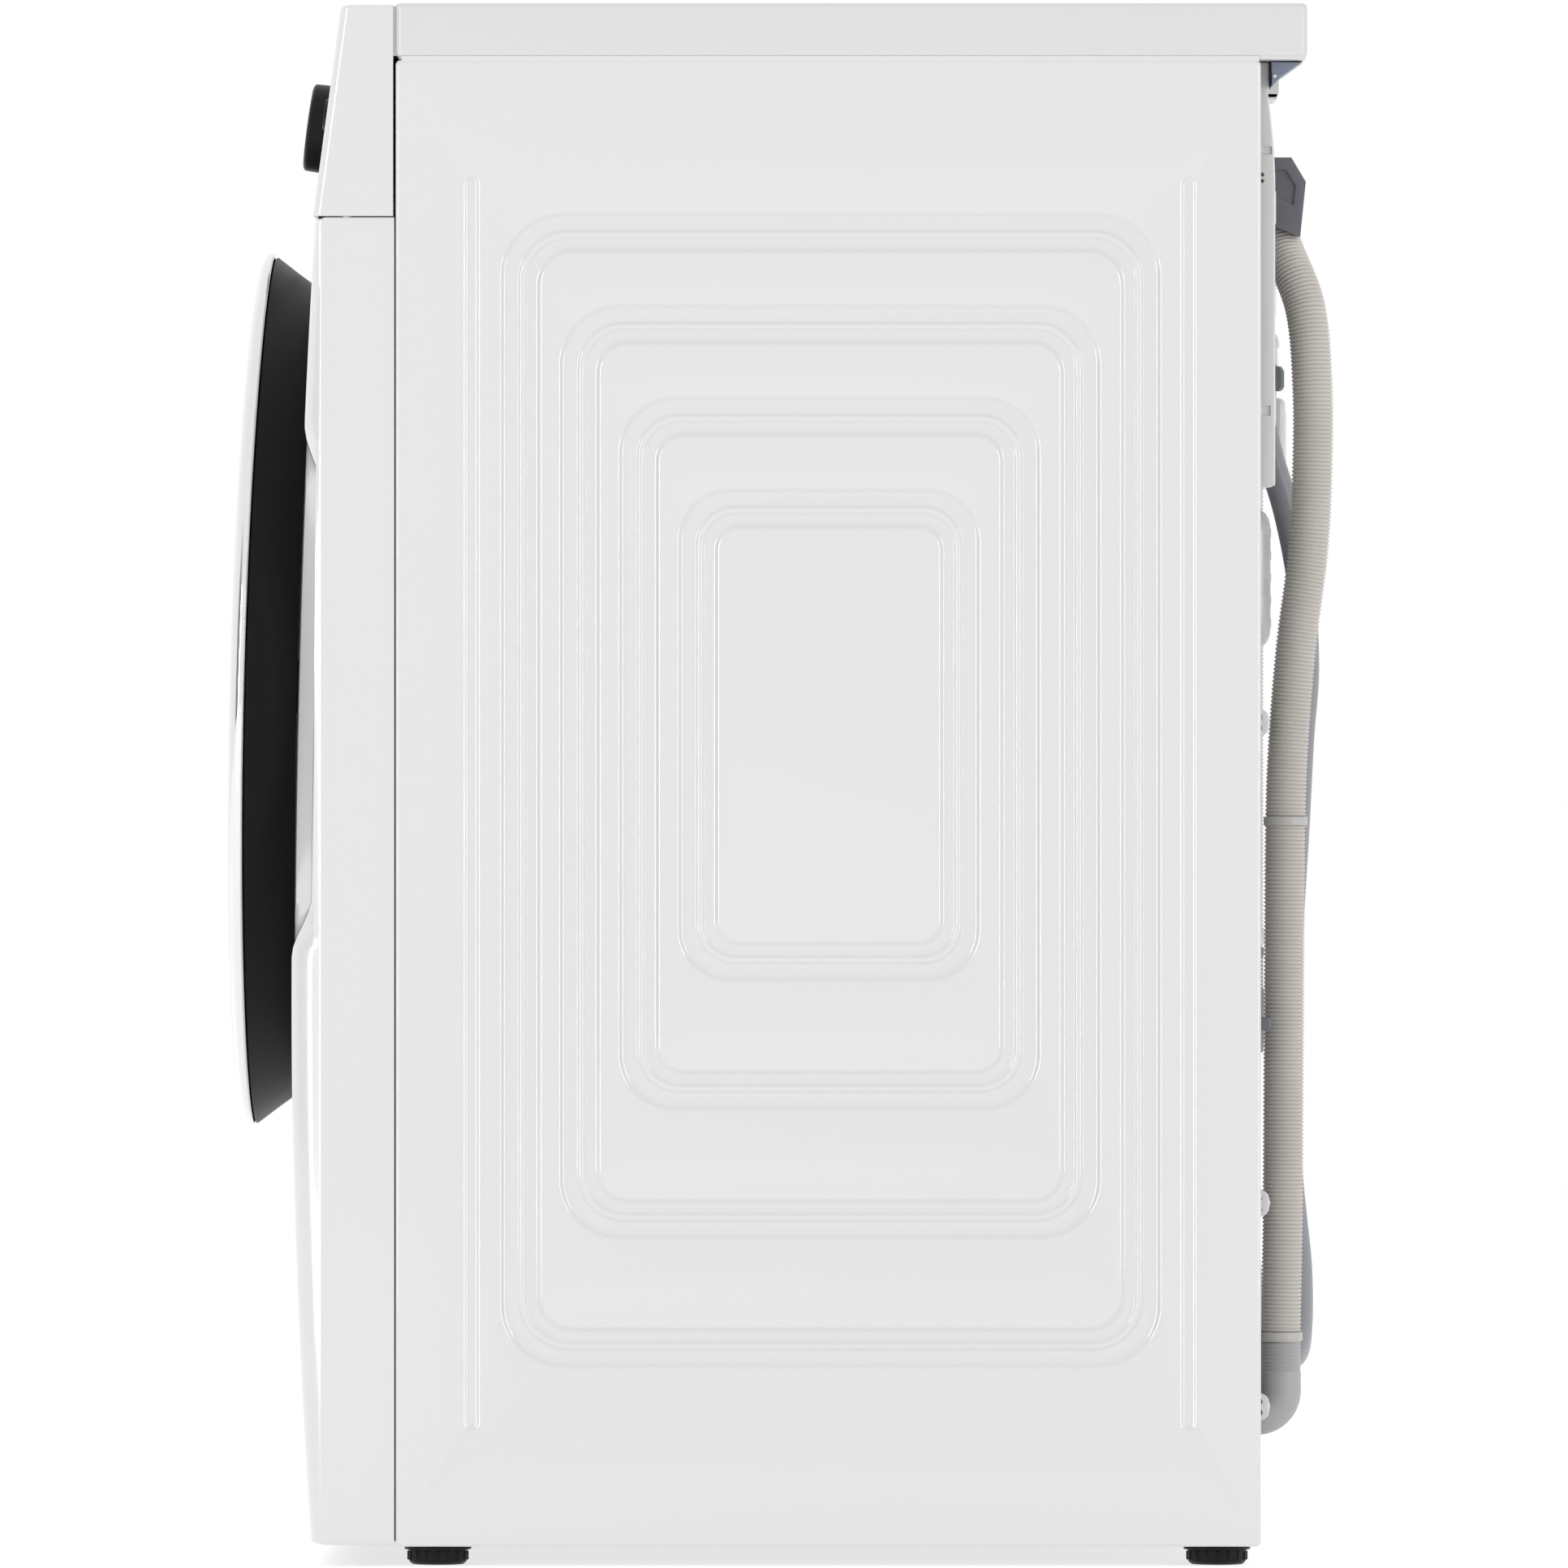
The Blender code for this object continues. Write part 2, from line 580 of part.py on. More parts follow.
def build_door(m):
    face = FRONT - panel_forward(AXIS_HEIGHT)
    centre = (0, face, AXIS_HEIGHT)
    frame = [(0.2235, 0.0008), (0.2435, 0.0285), (0.2400, 0.0287), (0.2205, 0.0050), (0.1580, 0.0050),
             (0.1580, 0.0008)]
    ring = [(0.2425, 0.0291), (DOOR_RADIUS - 0.0004, 0.0291), (DOOR_RADIUS, 0.0315), (0.2435, 0.0350),
            (0.2340, 0.0372), (0.2200, 0.0378), (0.2050, 0.0366), (0.1970, 0.0330), (0.1970, 0.0291)]
    window = [(0, 0.0375), (0.07, 0.0371), (0.14, 0.0350), (0.1965, 0.0295), (0.1965, 0.0325), (0.14, 0.0388),
              (0.07, 0.0410), (0, 0.0415)]
    bowl = [(0, -0.110), (0.075, -0.108), (0.118, -0.099), (0.137, -0.080), (0.150, -0.020), (0.1575, 0.0006),
            (0.1575, 0.0048), (0.1520, 0.0048), (0.146, -0.020), (0.133, -0.078), (0.115, -0.095),
            (0.074, -0.104),
            (0, -0.106)]
    pieces = [
        bow(lathe("door_frame", frame, m["black_plastic"], centre=centre)),
        bow(lathe("door_ring", ring, m["chrome"], centre=centre)),
        bow(lathe("door_window", window, m["dark_glass"], centre=centre)),
        bow(lathe("door_bowl", bowl, m["clear_glass"], centre=centre)),
    ]
    hinge = Vector((HINGE_X, HINGE_Y, AXIS_HEIGHT))
    barrel = rod("hinge_arm", hinge + Vector((0, 0, -0.040)), hinge + Vector((0, 0, 0.040)), 0.0046,
                 m["stainless"])
    strap = box("hinge_strap", hinge + Vector((-0.002, 0.0015, -0.034)),
                hinge + Vector((0.0066, 0.0042, 0.034)),
                m["stainless"])
    bore = rod("hinge_bore", hinge + Vector((0, 0, -0.05)), hinge + Vector((0, 0, 0.05)), 0.0026,
               m["stainless"])
    boolean(barrel, strap, "UNION")
    boolean(barrel, bore)
    door_axis = ride_on("door_hinge_axis", hinge, [*pieces, barrel])

    shank = box("latch_hook", (0.202, -0.2545, 0.471), (0.209, -0.2300, 0.487), m["stainless"])
    tooth = box("latch_tooth", (0.2025, -0.2340, 0.4715), (0.2130, -0.2301, 0.4865), m["stainless"])
    boolean(shank, tooth, "UNION")
    ride_on("latch_axis", (0.2055, -0.2540, AXIS_HEIGHT), [shank], door_axis)

    foot = bow(box("hinge_bracket", (HINGE_X - 0.012, face - 0.0060, AXIS_HEIGHT - 0.058),
                   (HINGE_X + 0.006, face - 0.0006, AXIS_HEIGHT + 0.058), m["stainless"]))
    for end, reach in (("low", -1), ("high", 1)):
        lug = box(f"hinge_lug_{end}", hinge + Vector((-0.005, -0.005, reach * 0.0480 - 0.005)),
                  hinge + Vector((0.005, 0.0175, reach * 0.0480 + 0.005)), m["stainless"])
        boolean(foot, lug, "UNION")
    pin = rod("hinge_pin", hinge + Vector((0, 0, -0.050)), hinge + Vector((0, 0, 0.050)), 0.0022,
              m["stainless"])
    boolean(foot, pin, "UNION")

    lock = box("door_lock", (0.190, -0.2500, 0.455), (0.2255, -0.2180, 0.503), m["black_plastic"], 0.001)
    boolean(lock, box("lock_hollow", (0.196, -0.27, 0.463), (0.2215, -0.221, 0.495), m["black_plastic"]))


# ---------------------------------------------------------------- tub, drum and drive


def build_tub(m):
    centre = (0, 0, AXIS_HEIGHT)
    back = (0, 1, 0)
    wall = 0.004
    inside = TUB_RADIUS - wall
    front = [(0.172, -0.178), (inside - 0.02, -0.178), (TUB_RADIUS, -0.158), (TUB_RADIUS, -0.0203),
             (inside, -0.0203), (inside, -0.157), (inside - 0.021, -0.174), (0.172, -0.174)]
    rear = [(0.0135, 0.182), (inside, 0.182), (inside, -0.0197), (TUB_RADIUS, -0.0197), (TUB_RADIUS, 0.187),
            (0.060, 0.187), (0.034, 0.210), (0.0135, 0.210)]
    pieces = [
        lathe("tub_front", front, m["tub_plastic"], back, centre),
        lathe("tub_rear", rear, m["tub_plastic"], back, centre),
    ]
    sector = arc((0, AXIS_HEIGHT), 0.250, 205, 335, 10) + arc((0, AXIS_HEIGHT), 0.188, 335, 205, 10)
    pieces.append(prism("counterweight", sector, "Y", -0.206, -0.1783, m["concrete"]))
    pieces.append(rod("motor", (MOTOR_X, 0.045, MOTOR_Z), (MOTOR_X, 0.205, MOTOR_Z), 0.052, m["motor_metal"],
                      24))
    pieces.append(drying_duct(m["galvanised"]))
    for side, name in ((1, "right"), (-1, "left")):
        pieces.append(rod(f"damper_rod_{name}", (side * 0.16, -0.02, 0.085), (side * 0.16, -0.02, 0.262),
                          0.008,
                          m["stainless"], 12))
        tube_piece = [(0, 0.0475), (0.013, 0.0475), (0.013, 0.175), (0.0095, 0.175), (0.0095, 0.0525),
                      (0, 0.0525)]
        lathe(f"damper_tube_{name}", tube_piece, m["black_plastic"], (0, 0, 1), (side * 0.16, -0.02, 0), 16)
        rod(f"spring_{name}", (side * 0.20, 0.03, 0.655), (side * 0.20, 0.03, 0.800), 0.008,
            m["spring_steel"], 12)
    belt = belt_loop(0.0025)
    pieces.append(belt_piece(belt, m["rubber"]))
    tub_axis = ride_on("tub_slide_axis", centre, pieces)

    gasket = [(0.1765, -0.2495), (0.1755, -0.2475), (0.1640, -0.2430), (0.1650, -0.2250), (0.1775, -0.2170),
              (0.1775, -0.2020), (0.1715, -0.1930), (0.1715, -0.1785), (0.1690, -0.1785), (0.1690, -0.1940),
              (0.1750, -0.2030), (0.1750, -0.2155), (0.1625, -0.2240), (0.1615, -0.2440), (0.1725, -0.2500)]
    bow(lathe("door_gasket", gasket, m["rubber"], back, centre), -0.200)
    return tub_axis


def drying_duct(material):
    """The heater channel over the tub, with the fan housing at its rear."""
    duct = box("drying_duct", (-0.095, -0.150, 0.7430), (0.060, 0.080, 0.7900), material, 0.006)
    fan = rod("fan_housing", (0.005, 0.115, 0.7430), (0.005, 0.115, 0.7960), 0.066, material, 24)
    return boolean(duct, fan, "UNION")


def belt_loop(thickness):
    """The belt's inner and outer outlines round the drum's and the motor's pulleys."""
    away = Vector((MOTOR_X, MOTOR_Z - AXIS_HEIGHT))
    distance, heading = away.length, math.degrees(math.atan2(away.y, away.x))
    swing = math.degrees(math.acos((PULLEY_RADIUS - MOTOR_PULLEY_RADIUS) / distance))
    loops = []
    for extra in (0.0010, 0.0010 + thickness):
        around_drum = arc((0, AXIS_HEIGHT), PULLEY_RADIUS + extra, heading + swing, heading + 360 - swing, 24)
        around_motor = arc((MOTOR_X, MOTOR_Z), MOTOR_PULLEY_RADIUS + extra, heading - swing, heading + swing,
                           8)
        loops.append(around_drum + around_motor)
    return loops


def belt_piece(loops, material):
    bm = bmesh.new()
    rings = []
    for loop, y in ((0, BELT_LOW), (0, BELT_HIGH), (1, BELT_HIGH), (1, BELT_LOW)):
        rings.append([bm.verts.new((x, y, z)) for x, z in loops[loop]])
    for ring, following in zip(rings, rings[1:] + rings[:1]):
        for i in range(len(ring)):
            j = (i + 1) % len(ring)
            bm.faces.new((ring[i], ring[j], following[j], following[i]))
    return add_object("drive_belt", bm, material)


def build_drum(m, tub_axis):
    centre = (0, 0, AXIS_HEIGHT)
    back = (0, 1, 0)
    skin = 0.0018
    shell = [(0.166, -0.157), (0.170, -0.160), (0.225, -0.160), (DRUM_RADIUS, -0.142), (DRUM_RADIUS, 0.152),
             (0.228, 0.162), (0.020, 0.162), (0.020, 0.162 - skin), (0.2272, 0.162 - skin),
             (DRUM_RADIUS - skin, 0.1515), (DRUM_RADIUS - skin, -0.1415), (0.2243, -0.160 + skin),
             (0.171, -0.160 + skin), (0.168, -0.155)]
    pieces = [lathe("drum_shell", shell, m["stainless"], back, centre, DRUM_SEGMENTS)]
    for number in range(3):
        pieces.append(paddle(number, m["grey_plastic"]))
    spider = rod("drum_spider", (0, 0.1700, AXIS_HEIGHT), (0, 0.238, AXIS_HEIGHT), 0.0125, m["motor_metal"])
    boolean(spider, rod("spider_hub", (0, 0.1630, AXIS_HEIGHT), (0, 0.178, AXIS_HEIGHT), 0.045,
                        m["motor_metal"]),
            "UNION")
    for number in range(3):
        arm = box(f"spider_arm_{number}", (0.01, 0.1645, -0.016), (0.215, 0.1735, 0.016), m["motor_metal"])
        arm.data.transform(Matrix.Rotation(math.radians(30 + 120 * number), 4, "Y"))
        arm.data.transform(Matrix.Translation(centre))
        boolean(spider, arm, "UNION")
    pieces.append(spider)
    low, high, rim = BELT_LOW + 0.0005, BELT_HIGH - 0.0005, PULLEY_RADIUS
    pulley = [(0.0128, low), (0.030, low), (0.034, low + 0.006), (rim - 0.008, low + 0.006),
              (rim - 0.006, low),
              (rim, low), (rim, high), (rim - 0.006, high), (rim - 0.008, low + 0.009), (0.034, low + 0.009),
              (0.030, high), (0.0128, high)]
    pieces.append(lathe("drum_pulley", pulley, m["galvanised"], back, centre, 24))
    ride_on("drum_axis", centre, pieces, tub_axis)

    small = [(0, 0.2075), (0.007, 0.2075), (0.007, BELT_LOW - 0.002), (MOTOR_PULLEY_RADIUS, BELT_LOW - 0.002),
             (MOTOR_PULLEY_RADIUS, BELT_HIGH + 0.002), (0, BELT_HIGH + 0.002)]
    motor_centre = (MOTOR_X, 0, MOTOR_Z)
    small = lathe("motor_pulley", small, m["stainless"], back, motor_centre, 20)
    ride_on("motor_axis", motor_centre, [small], tub_axis)


def paddle(number, material):
    """A lifter rib along the drum, at the top and at each third of a turn."""
    half = 0.030
    base = math.sqrt((DRUM_RADIUS - 0.0021) ** 2 - half ** 2) - 0.0006
    outline = [(-half, base), (-0.014, base - 0.030), (-0.006, base - 0.042), (0.006, base - 0.042),
               (0.014, base - 0.030), (half, base)]
    made = prism(f"drum_paddle_{number + 1}", outline, "Y", -0.130, 0.148, material)
    made.data.transform(Matrix.Rotation(math.radians(120 * number), 4, "Y"))
    made.data.transform(Matrix.Translation((0, 0, AXIS_HEIGHT)))
    return made


# ---------------------------------------------------------------- water, hoses and feet


def build_water(m):
    pump_centre = (PUMP_X, 0, PUMP_Z)
    pump = [(0, -0.110), (0.030, -0.110), (0.030, -0.200), (0.024, -0.205), (0.024, -0.2355), (0, -0.2355)]
    lathe("drain_pump", pump, m["white_plastic"], (0, 1, 0), pump_centre, 24)
    cap = [(0, -0.2360), (0.026, -0.2360), (0.026, -0.2395), (0, -0.2395)]
    cap = lathe("filter_cap", cap, m["white_plastic"], (0, 1, 0), pump_centre, 24)
    grip = box("cap_grip", (PUMP_X - 0.021, -0.2450, PUMP_Z - 0.004),
               (PUMP_X + 0.021, -0.2390, PUMP_Z + 0.004),
               m["white_plastic"], 0.001)
    boolean(cap, grip, "UNION")
    ride_on("filter_axis", (PUMP_X, -0.236, PUMP_Z), [cap])

    white = m["white_plastic"]
    valve = box("inlet_valve", (INLET_X - 0.02, 0.215, VALVE_Z - 0.02),
                (INLET_X + 0.02, BACK_FACE - SHEET - GAP, VALVE_Z + 0.02), white, 0.002)
    spigot = rod("valve_spigot", (INLET_X, 0.25, VALVE_Z), (INLET_X, SPIGOT_Y + 0.004, VALVE_Z), 0.0085,
                 white)
    elbow = rod("valve_elbow", (INLET_X, SPIGOT_Y, VALVE_Z + 0.006), (INLET_X, SPIGOT_Y, 0.6565), 0.0083,
                white)
    boolean(valve, spigot, "UNION")
    boolean(valve, elbow, "UNION")
    nut = [(0, 0.6425), (0.0100, 0.6425), (0.0118, 0.6440), (0.0118, 0.6545), (0.0105, 0.6562), (0, 0.6562)]
    lathe("inlet_nut", nut, m["dark_nut"], (0, 0, 1), (INLET_X, SPIGOT_Y, 0), 12)

    inlet_route = [
        (INLET_X, SPIGOT_Y, 0.6418), (INLET_X, 0.2771, 0.6250), (INLET_X, 0.2810, 0.6050),
        (INLET_X, 0.2900, 0.5750), (INLET_X, 0.2975, 0.5350), (INLET_X, 0.3002, 0.4900),
        (INLET_X, 0.2974, 0.4500),
        (INLET_X, 0.2948, 0.4000), (INLET_X, 0.2908, 0.3300), (INLET_X, 0.2896, 0.2600),
        (0.148, 0.2912, 0.2100), (0.135, 0.2968, 0.1580), (0.100, 0.2978, 0.1190),
        (0.040, 0.2955, 0.1050), (-0.040, 0.2890, 0.1020), (-0.120, 0.2815, 0.1120), (-0.172, 0.2780, 0.1440),
        (-0.195, 0.2760, 0.2000), (-0.195, 0.2755, 0.2800), (-0.195, 0.2755, 0.3600),
        (-0.195, 0.2755, 0.4400),
        (-0.195, 0.2755, 0.5200), (-0.195, 0.2760, 0.6000), (-0.195, 0.2765, 0.6600),
    ]
    tube("inlet_hose", smooth_route(inlet_route, 0.030), INLET_DIAMETER, m["inlet_hose"])

    radius = DRAIN_DIAMETER / 2
    elbow_path = [Vector((DRAIN_X, y, z)) for y, z in ((BACK_FACE + GAP, 0.0785), (0.2720, 0.0785))]
    elbow_path += [Vector((DRAIN_X, y, z)) for y, z in arc((0.2720, 0.0915), 0.0130, -68, 0, 4)]
    elbow_path.append(Vector((DRAIN_X, 0.2850, 0.1180)))
    circle = [(radius * math.cos(2 * math.pi * i / 12),
               radius * math.sin(2 * math.pi * i / 12)) for i in range(12)]
    elbow_sections = []
    for i, point in enumerate(elbow_path):
        along = (elbow_path[min(i + 1, len(elbow_path) - 1)] - elbow_path[max(i - 1, 0)]).normalized()
        outward = Vector((1, 0, 0)).cross(along)
        elbow_sections.append([point + Vector((1, 0, 0)) * u + outward * v for u, v in circle])
    loft("drain_elbow", elbow_sections, m["inlet_hose"])

    drain_route = [
        (DRAIN_X, 0.2850, 0.1183), (DRAIN_X, 0.2862, 0.1850), (DRAIN_X, 0.2867, 0.2600),
        (DRAIN_X, 0.2871, 0.3300),
        (DRAIN_X, 0.2876, 0.4000), (DRAIN_X, 0.2892, 0.4460), (DRAIN_X, 0.2935, 0.5000),
        (DRAIN_X, 0.3003, 0.5540),
        (DRAIN_X, 0.3026, 0.6000), (0.1895, 0.3026, 0.6450), (0.1840, 0.2990, 0.6870),
        (0.1690, 0.2880, 0.7180),
        (0.1400, 0.2800, 0.7410), (0.1000, 0.2785, 0.7505), (0.0400, 0.2780, 0.7505),
        (-0.0250, 0.2770, 0.7505),
        (-0.0800, 0.2760, 0.7460), (-0.1200, 0.2750, 0.7290), (-0.1480, 0.2747, 0.6960),
        (-0.1600, 0.2747, 0.6500),
        (-0.1620, 0.2747, 0.5800), (-0.1620, 0.2747, 0.5000), (-0.1620, 0.2747, 0.4200),
        (-0.1620, 0.2747, 0.3400),
        (-0.1620, 0.2747, 0.2800),
    ]
    drain = smooth_route(drain_route, 0.020)
    tube("drain_hose", drain, DRAIN_DIAMETER, m["hose"], 3)

    build_hook(drain, radius, m["grey_plastic"])
    for name, z in (("hose_clip_upper", 0.459), ("hose_clip_lower", 0.1955)):
        clip = box(name, (0.2035, BACK_FACE + GAP, z - 0.0073), (0.2250, 0.2778, z + 0.0073),
                   m["white_plastic"], 0.001)
        for hole_z in (z - 0.0033, z + 0.0033):
            boolean(clip, rod("clip_hole", (0.19, 0.2735, hole_z), (0.24, 0.2735, hole_z), 0.0021,
                              m["white_plastic"], 8))

    gland = [(0, 0.0003), (0.014, 0.0003), (0.014, 0.003), (0.009, 0.005), (0.006, 0.024), (0.0038, 0.024),
             (0.0038, 0.006), (0, 0.006)]
    lathe("cord_gland", gland, m["black_plastic"], (0, 1, 0), (-0.225, BACK_FACE, 0.700), 16)


def build_hook(route, hose_radius, material):
    """The rigid guide over the drain hose's bend: an octagonal trough open below, ending in a deep cheek."""
    bend = [point for point in route if 0.726 < point.z and 0.02 < point.x]
    clear, thick = hose_radius + 0.0009, 0.0035
    outer = [(r * math.cos(a), r * math.sin(a)) for r, a in octagon_arc(clear + thick)]
    inner = [(r * math.cos(a), r * math.sin(a)) for r, a in octagon_arc(clear)]
    hook = sweep("hose_hook", bend, outer + inner[::-1], material)
    for vertex in hook.data.vertices:
        vertex.co.y = max(vertex.co.y, BACK_FACE + GAP)
    back = BACK_FACE + GAP
    cheek = [(back, 0.7400), (back, 0.7706), (0.2913, 0.7706), (0.2993, 0.7572), (0.2962, 0.7268)]
    cheek = prism("hook_cheek", cheek, "X", 0.150, 0.181, material)
    circle = [(clear * math.cos(math.pi * i / 8), clear * math.sin(math.pi * i / 8)) for i in range(16)]
    channel = [point for point in route if 0.660 < point.z and 0.09 < point.x]
    boolean(cheek, sweep("hook_channel", channel, circle, material))
    boolean(hook, cheek, "UNION")


def octagon_arc(radius):
    """Polar points of an eighth-turn polygon from one side of the hose over the top to the other."""
    corner = radius / math.cos(math.pi / 8)
    return [(corner, math.radians(-22.5 + 45 * i)) for i in range(6)]


def build_feet(m):
    profile = [(0, 0), (0.0145, 0), (0.0160, 0.0015), (0.0160, 0.0078), (0.0183, 0.0080), (0.0183, 0.0103),
               (0.0050, 0.0104), (0.0050, 0.0400), (0, 0.0400)]
    for x, across in ((FOOT_X, "right"), (-FOOT_X, "left")):
        for y, along in ((FOOT_FRONT_Y, "front"), (FOOT_REAR_Y, "rear")):
            foot = lathe(f"foot_{along}_{across}", profile, m["black_plastic"], (0, 0, 1), (x, y, 0), 16)
            ride_on(f"foot_{along}_{across}_axis", (x, y, 0), [foot])


def build():
    for old in list(bpy.data.objects):
        bpy.data.objects.remove(old, do_unlink=True)
    m = all_finishes()
    build_cabinet(m)
    build_front(m)
    build_fascia(m)
    build_dispenser(m)
    build_door(m)
    tub_axis = build_tub(m)
    build_drum(m, tub_axis)
    build_water(m)
    build_feet(m)


build()
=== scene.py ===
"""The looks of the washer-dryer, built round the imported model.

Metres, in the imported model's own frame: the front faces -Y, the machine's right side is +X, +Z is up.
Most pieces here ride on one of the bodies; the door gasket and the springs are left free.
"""

import json
import math

import bmesh
import bpy
from mathutils import Matrix, Vector


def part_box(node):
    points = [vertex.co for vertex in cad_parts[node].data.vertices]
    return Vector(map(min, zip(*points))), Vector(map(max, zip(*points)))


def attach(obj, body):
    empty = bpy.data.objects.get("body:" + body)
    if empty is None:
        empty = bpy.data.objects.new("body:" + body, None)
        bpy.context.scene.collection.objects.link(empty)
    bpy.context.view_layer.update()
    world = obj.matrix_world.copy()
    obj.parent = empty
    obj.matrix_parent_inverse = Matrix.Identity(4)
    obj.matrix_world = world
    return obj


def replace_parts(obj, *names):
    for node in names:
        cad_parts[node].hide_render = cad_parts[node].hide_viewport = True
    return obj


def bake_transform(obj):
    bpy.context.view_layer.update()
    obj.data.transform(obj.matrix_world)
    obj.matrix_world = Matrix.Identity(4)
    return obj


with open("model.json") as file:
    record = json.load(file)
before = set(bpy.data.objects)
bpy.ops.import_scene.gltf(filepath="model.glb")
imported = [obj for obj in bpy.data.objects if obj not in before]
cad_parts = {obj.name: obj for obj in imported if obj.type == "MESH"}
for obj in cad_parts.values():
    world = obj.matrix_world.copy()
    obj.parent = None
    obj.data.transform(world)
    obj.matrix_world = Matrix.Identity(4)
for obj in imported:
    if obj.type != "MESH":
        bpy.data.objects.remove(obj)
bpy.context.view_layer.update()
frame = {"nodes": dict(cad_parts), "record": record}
NODES = frame["nodes"]

# ---------------------------------------------------------------- sizes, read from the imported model

side_low, side_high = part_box("side_panel_right")
panel_low, panel_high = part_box("front_panel")
fascia_low, fascia_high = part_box("control_fascia")
worktop_low, worktop_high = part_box("worktop")
rear_low, rear_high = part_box("rear_panel")
HALF = side_high.x
FRONT, REAR = side_low.y, side_high.y
BACK_FACE = rear_high.y
CABINET_BOTTOM, SIDE_TOP = side_low.z, side_high.z
PANEL_BOTTOM, PANEL_TOP = panel_low.z, panel_high.z
FASCIA_BOTTOM, FASCIA_TOP = fascia_low.z, fascia_high.z
BELLY = FRONT - panel_low.y
FASCIA_DEPTH_LOW = FRONT - fascia_low.y
tub_low, tub_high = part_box("tub_front")
AXIS_HEIGHT = (tub_low.z + tub_high.z) / 2
TUB_RADIUS = tub_high.x
DRUM_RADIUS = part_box("drum_shell")[1].x

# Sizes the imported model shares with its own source
BELLY_HEIGHT = 0.309
BELLY_DROP_TOP, BELLY_DROP_BOTTOM = 0.0130, 0.0104
CREASE = -0.2402  # where the front panel's sides start to turn in
CORNER_WIDTH = 0.014
NOTCH_HALF, NOTCH_Y = 0.226, 0.2762  # where the worktop's rear edge is set back between its corners
CREASE_FLAT, CREASE_TILT = 0.0009, 25  # the fine flat along the crease, and how far it turns in
FASCIA_CORNER = 0.0042
FASCIA_DEPTH_TOP = 0.0299
PORT_RADIUS = 0.178
DOOR_RADIUS = 0.2462
HINGE = Vector((-0.243, -0.275, AXIS_HEIGHT))
KNOB_Z, KNOB_RADIUS, BUTTON_X = 0.792, 0.025, 0.232
DRAWER_LEFT, DRAWER_RIGHT, DRAWER_LOW, DRAWER_HIGH = -0.278, -0.112, 0.750, 0.832
WINDOW_LEFT, WINDOW_RIGHT, WINDOW_LOW, WINDOW_HIGH = 0.060, 0.190, 0.772, 0.818
FLAP_LEFT, FLAP_RIGHT, FLAP_LOW, FLAP_HIGH = 0.100, 0.240, 0.035, 0.135
PUMP_X, PUMP_Z = 0.170, 0.085
INLET_X, VALVE_Z = 0.150, 0.668
BELT_LOW, BELT_HIGH = 0.2185, 0.2345
PULLEY_RADIUS, MOTOR_PULLEY_RADIUS = 0.145, 0.0145
MOTOR_X, MOTOR_Z = 0.130, 0.145
FOOT_X, FOOT_Y = 0.268, (-0.177, 0.248)
SEAM = 0.0006
GAP = 0.0003  # between pieces that rest on each other
SLOPE = math.atan((FASCIA_DEPTH_LOW - FASCIA_DEPTH_TOP) / (FASCIA_TOP - FASCIA_BOTTOM))

DRAIN_DIAMETER, INLET_DIAMETER = 0.0227, 0.0150
DRAIN_ROUTE = [
    (0.1900, 0.2850, 0.1183), (0.1900, 0.2862, 0.1850), (0.1900, 0.2867, 0.2600), (0.1900, 0.2871, 0.3300),
    (0.1900, 0.2876, 0.4000), (0.1900, 0.2892, 0.4460), (0.1900, 0.2935, 0.5000), (0.1900, 0.3003, 0.5540),
    (0.1900, 0.3026, 0.6000), (0.1895, 0.3026, 0.6450), (0.1840, 0.2990, 0.6870), (0.1690, 0.2880, 0.7180),
    (0.1400, 0.2800, 0.7410), (0.1000, 0.2785, 0.7505), (0.0400, 0.2780, 0.7505), (-0.0250, 0.2770, 0.7505),
    (-0.0800, 0.2760, 0.7460), (-0.1200, 0.2750, 0.7290), (-0.1480, 0.2747, 0.6960),
    (-0.1600, 0.2747, 0.6500),
    (-0.1620, 0.2747, 0.5800), (-0.1620, 0.2747, 0.5000), (-0.1620, 0.2747, 0.4200),
    (-0.1620, 0.2747, 0.3400),
    (-0.1620, 0.2747, 0.2800),
]
INLET_ROUTE = [
    (0.150, 0.2765, 0.6418), (0.150, 0.2771, 0.6250), (0.150, 0.2810, 0.6050), (0.150, 0.2900, 0.5750),
    (0.150, 0.2975, 0.5350), (0.150, 0.3002, 0.4900), (0.150, 0.2974, 0.4500), (0.150, 0.2948, 0.4000),
    (0.150, 0.2908, 0.3300), (0.150, 0.2896, 0.2600), (0.148, 0.2912, 0.2100), (0.135, 0.2968, 0.1580),
    (0.100, 0.2978, 0.1190), (0.040, 0.2955, 0.1050), (-0.040, 0.2890, 0.1020), (-0.120, 0.2815, 0.1120),
    (-0.172, 0.2780, 0.1440), (-0.195, 0.2760, 0.2000), (-0.195, 0.2755, 0.2800), (-0.195, 0.2755, 0.3600),
    (-0.195, 0.2755, 0.4400), (-0.195, 0.2755, 0.5200), (-0.195, 0.2760, 0.6000), (-0.195, 0.2765, 0.6600),
]


# ---------------------------------------------------------------- studio


def area_light(name, place, target, size, height, watts):
    light = bpy.data.lights.new(name, "AREA")
    light.shape = "RECTANGLE"
    light.size, light.size_y = size, height
    light.energy = watts
    lamp = bpy.data.objects.new(name, light)
    lamp.location = place
    lamp.rotation_euler = (Vector(target) - Vector(place)).to_track_quat("-Z", "Y").to_euler()
    lamp.visible_camera = False
    bpy.context.scene.collection.objects.link(lamp)


